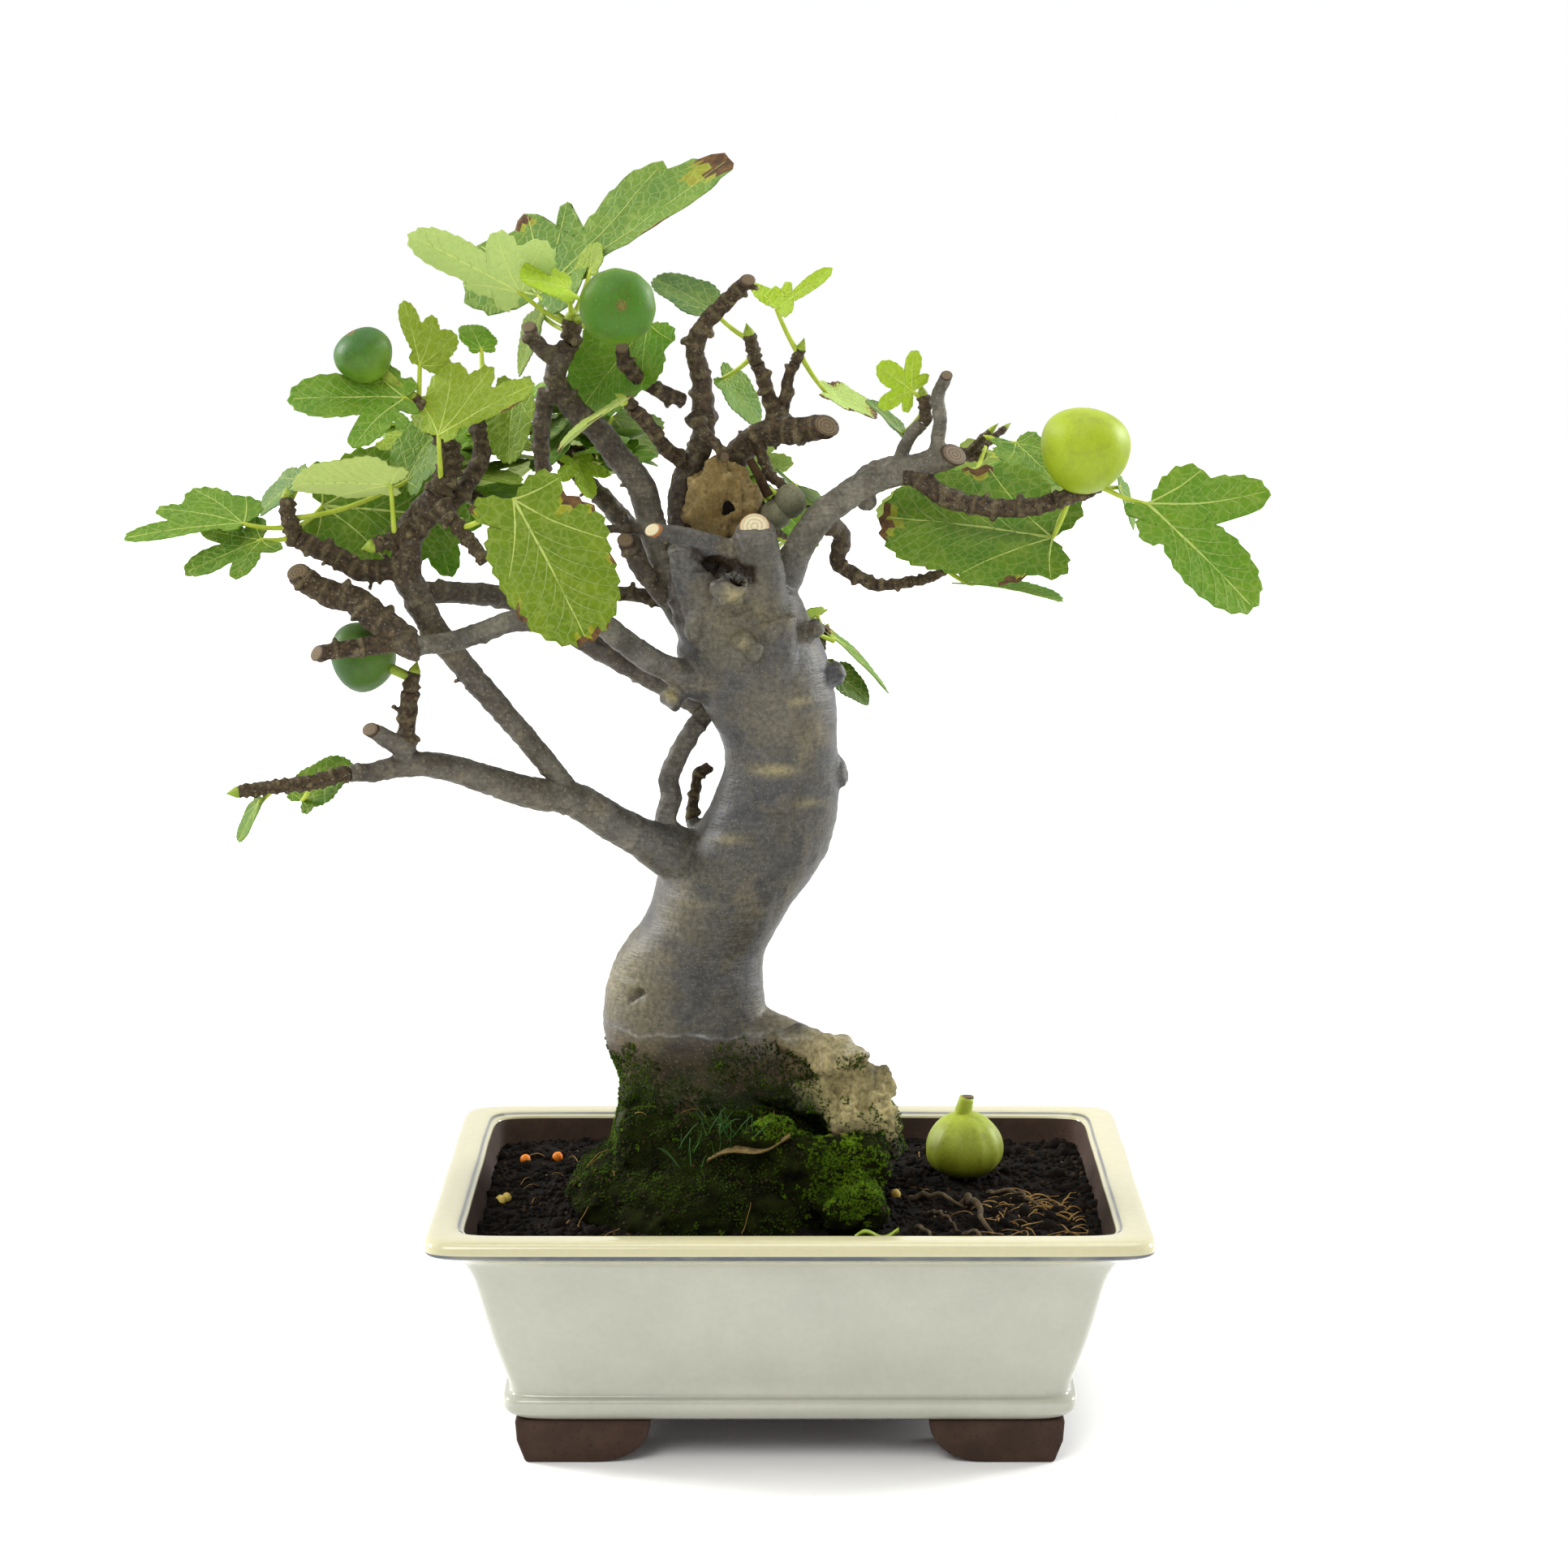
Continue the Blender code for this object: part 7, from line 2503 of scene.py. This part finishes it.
    def make_strands(self) -> None:
        """Makes the surface roots, dry rootlets and grass."""
        dice = random.Random(SEED + 2)
        roots, fibres, grass = Strands(), Strands(), Strands()
        for start, end, bend, thick in (((88, -12), (99, -74), 9, 2.5), ((62, -4), (90, -22), 4, 1.7),
                                        ((70, -30), (84, -64), 4, 1.2), ((84, -72), (97, -90), 6, 1.4),
                                        ((62, -58), (72, -92), 5, 1.3), ((102, 10), (128, -24), 4, 1.3)):
            roots.bow(self.on_top(*start), self.on_top(*end), bend, thick, 14)
        for count, across, deep, long, thick in ((70, (104, 148), (-84, 6), (7, 20), (0.25, 0.55)),
                                                 (46, (-146, 92), (-100, 92), (5, 14), (0.2, 0.4))):
            for _ in range(count):
                start = self.on_top(dice.uniform(*across), dice.uniform(*deep), 0.8)
                way = Vector((dice.uniform(-1, 1), dice.uniform(-0.7, 0.7), 0)).normalized() * dice.uniform(*long)
                end = self.on_top(limited(start.x + way.x, -148, 148), limited(start.y + way.y, -104, 104), 0.8)
                fibres.bow(start, end, dice.uniform(0.5, 3), dice.uniform(*thick))
        for _ in range(30):
            foot = self.on_top(dice.uniform(-58, -16), dice.uniform(-56, -44), -1)
            tip = foot + Vector((dice.uniform(-12, 12), dice.uniform(-8, 2), dice.uniform(7, 17)))
            grass.bow(foot, tip, dice.uniform(-2, 2), 0.42)
        roots.make("surface_roots", ROOT, "bark", 10)
        fibres.make("dry_rootlets", FIBRE, "soil")
        grass.make("grass_blades", BLADE_GRASS, "moss")

    @staticmethod
    def strip(shell: Shell, start: Vector, end: Vector, wide: float, finish: Finish) -> None:
        """Adds a curled strip of dry or fallen leaf."""
        steps, across = 12, 4
        way = end - start
        side = way.cross(Vector((0, 0, 1))).normalized()
        rings = []
        for i in range(steps + 1):
            t = i / steps
            half = wide * (0.35 + 0.65 * math.sin(math.pi * min(max(t, 0.06), 0.94)))
            middle = start + way * t + Vector((0, 0, 2.2 * math.sin(t * 7)))
            top = [middle + side * half * (2 * j / across - 1) + Vector((0, 0, 1.6 * (2 * j / across - 1) ** 2))
                   for j in range(across + 1)]
            bottom = [point - Vector((0, 0, 0.5)) for point in reversed(top)]
            rings.append([*reversed(bottom), *reversed(top)])
        shell.loft(rings, finish)


@dataclass
class Husk:
    """The dried fig skin that is stuck behind the trunk's head, and the fallen fig on the soil."""

    middle: tuple = (-33.8, 18, 463.3)
    radii: tuple = (17, 11, 20)
    fallen: tuple = (91, 36, 127.8)
    fallen_width: float = 40.0
    fallen_height: float = 35.0

    def make_husk(self) -> None:
        """A hollow, folded, dry skin with a dark inside and a dark twig on it."""
        shell = Shell()
        sides, bands = 40, 22
        rings = []
        for band in range(bands + 1):
            tilt = math.pi * (0.03 + 0.94 * band / bands)
            ring = []
            for i in range(sides):
                angle = i * math.tau / sides
                way = Vector((math.sin(tilt) * math.cos(angle), math.sin(tilt) * math.sin(angle), -math.cos(tilt)))
                folds = 0.12 * math.sin(5 * angle + 2.5 * way.z) + 0.3 * noise.noise(way * 2.4)
                folds += 0.16 * noise.noise(way * 6)
                open_front = 0.5 * math.exp(-((way - Vector((0.35, -0.9, 0.1))).length / 0.42) ** 2)
                size = 1 + folds - open_front
                ring.append(Vector(self.middle) + Vector([w * r * size for w, r in zip(way, self.radii)]))
            rings.append(ring)
        shell.loft(rings, HUSK)
        shell.blob(Vector(self.middle) + Vector((3, -5, -3)), (4, 3, 5), CRUMB_DARK, 0.6, 14, 9)
        twig = smooth([Vector((-19.9, 10, 486)), Vector((-16, 9, 479)), Vector((-10.6, 10, 468))], 5)
        shell.tube(twig, taper((2.0, 2.6), len(twig)), 10, CRUMB_BROWN)
        shell.blob(Vector((-7, 15, 458.1)), (7.4, 7.4, 7.2), Skin.SPENT.value, 0.1, 24, 14)
        settle(shell.mesh("dry_husk"), "dry_husk", "bark")

    def make_fallen(self) -> None:
        """The fallen fig, stalk upwards, with its cut end."""
        shell = Shell()
        middle = Vector(self.fallen)
        turned_fig(shell, middle, self.fallen_width, self.fallen_height, Vector((0, 0, -1)), Skin.DULL.value, 0.03)
        line = smooth([middle, middle + Vector((-1, 0, 15)), middle + Vector((1, 0, 25))], 5)
        shell.tube(line, taper((5.6, 3.8), len(line)), 16, Skin.DULL.value, [0.1] * len(line))
        shell.blob(line[-1], (3.9, 3.9, 0.9), CUT_OLD, 0.2, 14, 6)
        settle(shell.mesh("fallen_fig_skin"), "fallen_fig_skin", "fruit", ("fallen_fig",))


@dataclass
class Studio:
    """A pale floor, soft light and the camera at the photograph's angle."""

    lens: float = 87.6
    place: tuple = (0.0391, -1.906, 0.653)
    down: float = 9.89
    # How bright the surround is in front of the plant and behind it
    front: float = 0.6
    back: float = 1.0
    # Name, where the light comes from, strength, angle of its disc in degrees, colour
    suns: tuple = (
        ("key", (-0.45, -1.0, 1.15), 1.2, 30, (1.0, 0.985, 0.95)),
        ("rim left", (-1.0, 0.35, 0.5), 3.2, 20, (1.0, 1.0, 1.0)),
        ("rim right", (1.0, 0.5, 0.4), 2.8, 20, (0.97, 0.99, 1.0)),
        ("top", (0.1, 0.1, 1.0), 0.9, 40, (1.0, 1.0, 1.0)),
    )

    def make_floor(self) -> None:
        """The floor, wide enough for every view."""
        shell = Shell()
        size = 6000
        points = [Vector((x * size, y * size, z)) for z in (-20, -0.05) for x, y in ((-1, -1), (1, -1), (1, 1), (-1, 1))]
        shell.loft([points[:4], points[4:]], FLOOR)
        floor = loose(shell.mesh("floor", Vector((0, 0, 0))), "floor")
        floor.data.shade_flat()

    def make_lights(self) -> None:
        """Makes the lamps, and a white surround that is darker in front of the plant."""
        for name, source, strength, angle, colour in self.suns:
            data = bpy.data.lights.new(name, "SUN")
            data.energy = strength
            data.angle = math.radians(angle)
            data.color = colour
            lamp = bpy.data.objects.new(name, data)
            lamp.rotation_euler = Vector(source).to_track_quat("Z", "Y").to_euler()
            bpy.context.scene.collection.objects.link(lamp)
        world = bpy.data.worlds.new("white surround")
        world.use_nodes = True
        graph = Graph(world.node_tree)
        seen = graph.node("ShaderNodeTexCoord").outputs["Generated"]
        depth = graph.node("ShaderNodeSeparateXYZ", None, Vector=seen).outputs["Y"]
        sky = world.node_tree.nodes["Background"]
        sky.inputs["Color"].default_value = (1, 1, 1, 1)
        world.node_tree.links.new(graph.spread(depth, -0.7, 0.4, self.front, self.back), sky.inputs["Strength"])
        bpy.context.scene.world = world

    def make_camera(self) -> None:
        """The camera."""
        data = bpy.data.cameras.new("camera")
        data.lens = self.lens
        data.sensor_width = 36
        camera = bpy.data.objects.new("camera", data)
        camera.location = self.place
        camera.rotation_euler = (math.radians(90 - self.down), 0, 0)
        bpy.context.scene.collection.objects.link(camera)
        bpy.context.scene.camera = camera
        bpy.context.scene.view_settings.view_transform = "Standard"


def main() -> None:
    """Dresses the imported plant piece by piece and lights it."""
    logging.basicConfig(level=logging.INFO, format="%(message)s")
    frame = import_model()
    growth = Growth()
    growth.grow()
    nodes = frame["nodes"]
    every = bmesh.new()
    for node in nodes.values():
        every.from_mesh(node.data)
    others = BVHTree.FromBMesh(every)
    every.free()
    pot = Pot()
    pot.make_wall()
    pot.make_feet()
    trunk = Timber(growth, nodes).make()
    Bed(pot).make(trunk)
    husk = Husk()
    husk.make_husk()
    husk.make_fallen()
    dice = random.Random(SEED + 3)
    for mass in MASSES:
        Foliage(mass, growth, tree_of(nodes[mass.name].data), others, dice).make()
    studio = Studio()
    studio.make_floor()
    studio.make_lights()
    studio.make_camera()
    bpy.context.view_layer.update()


if __name__ == "__main__":
    main()
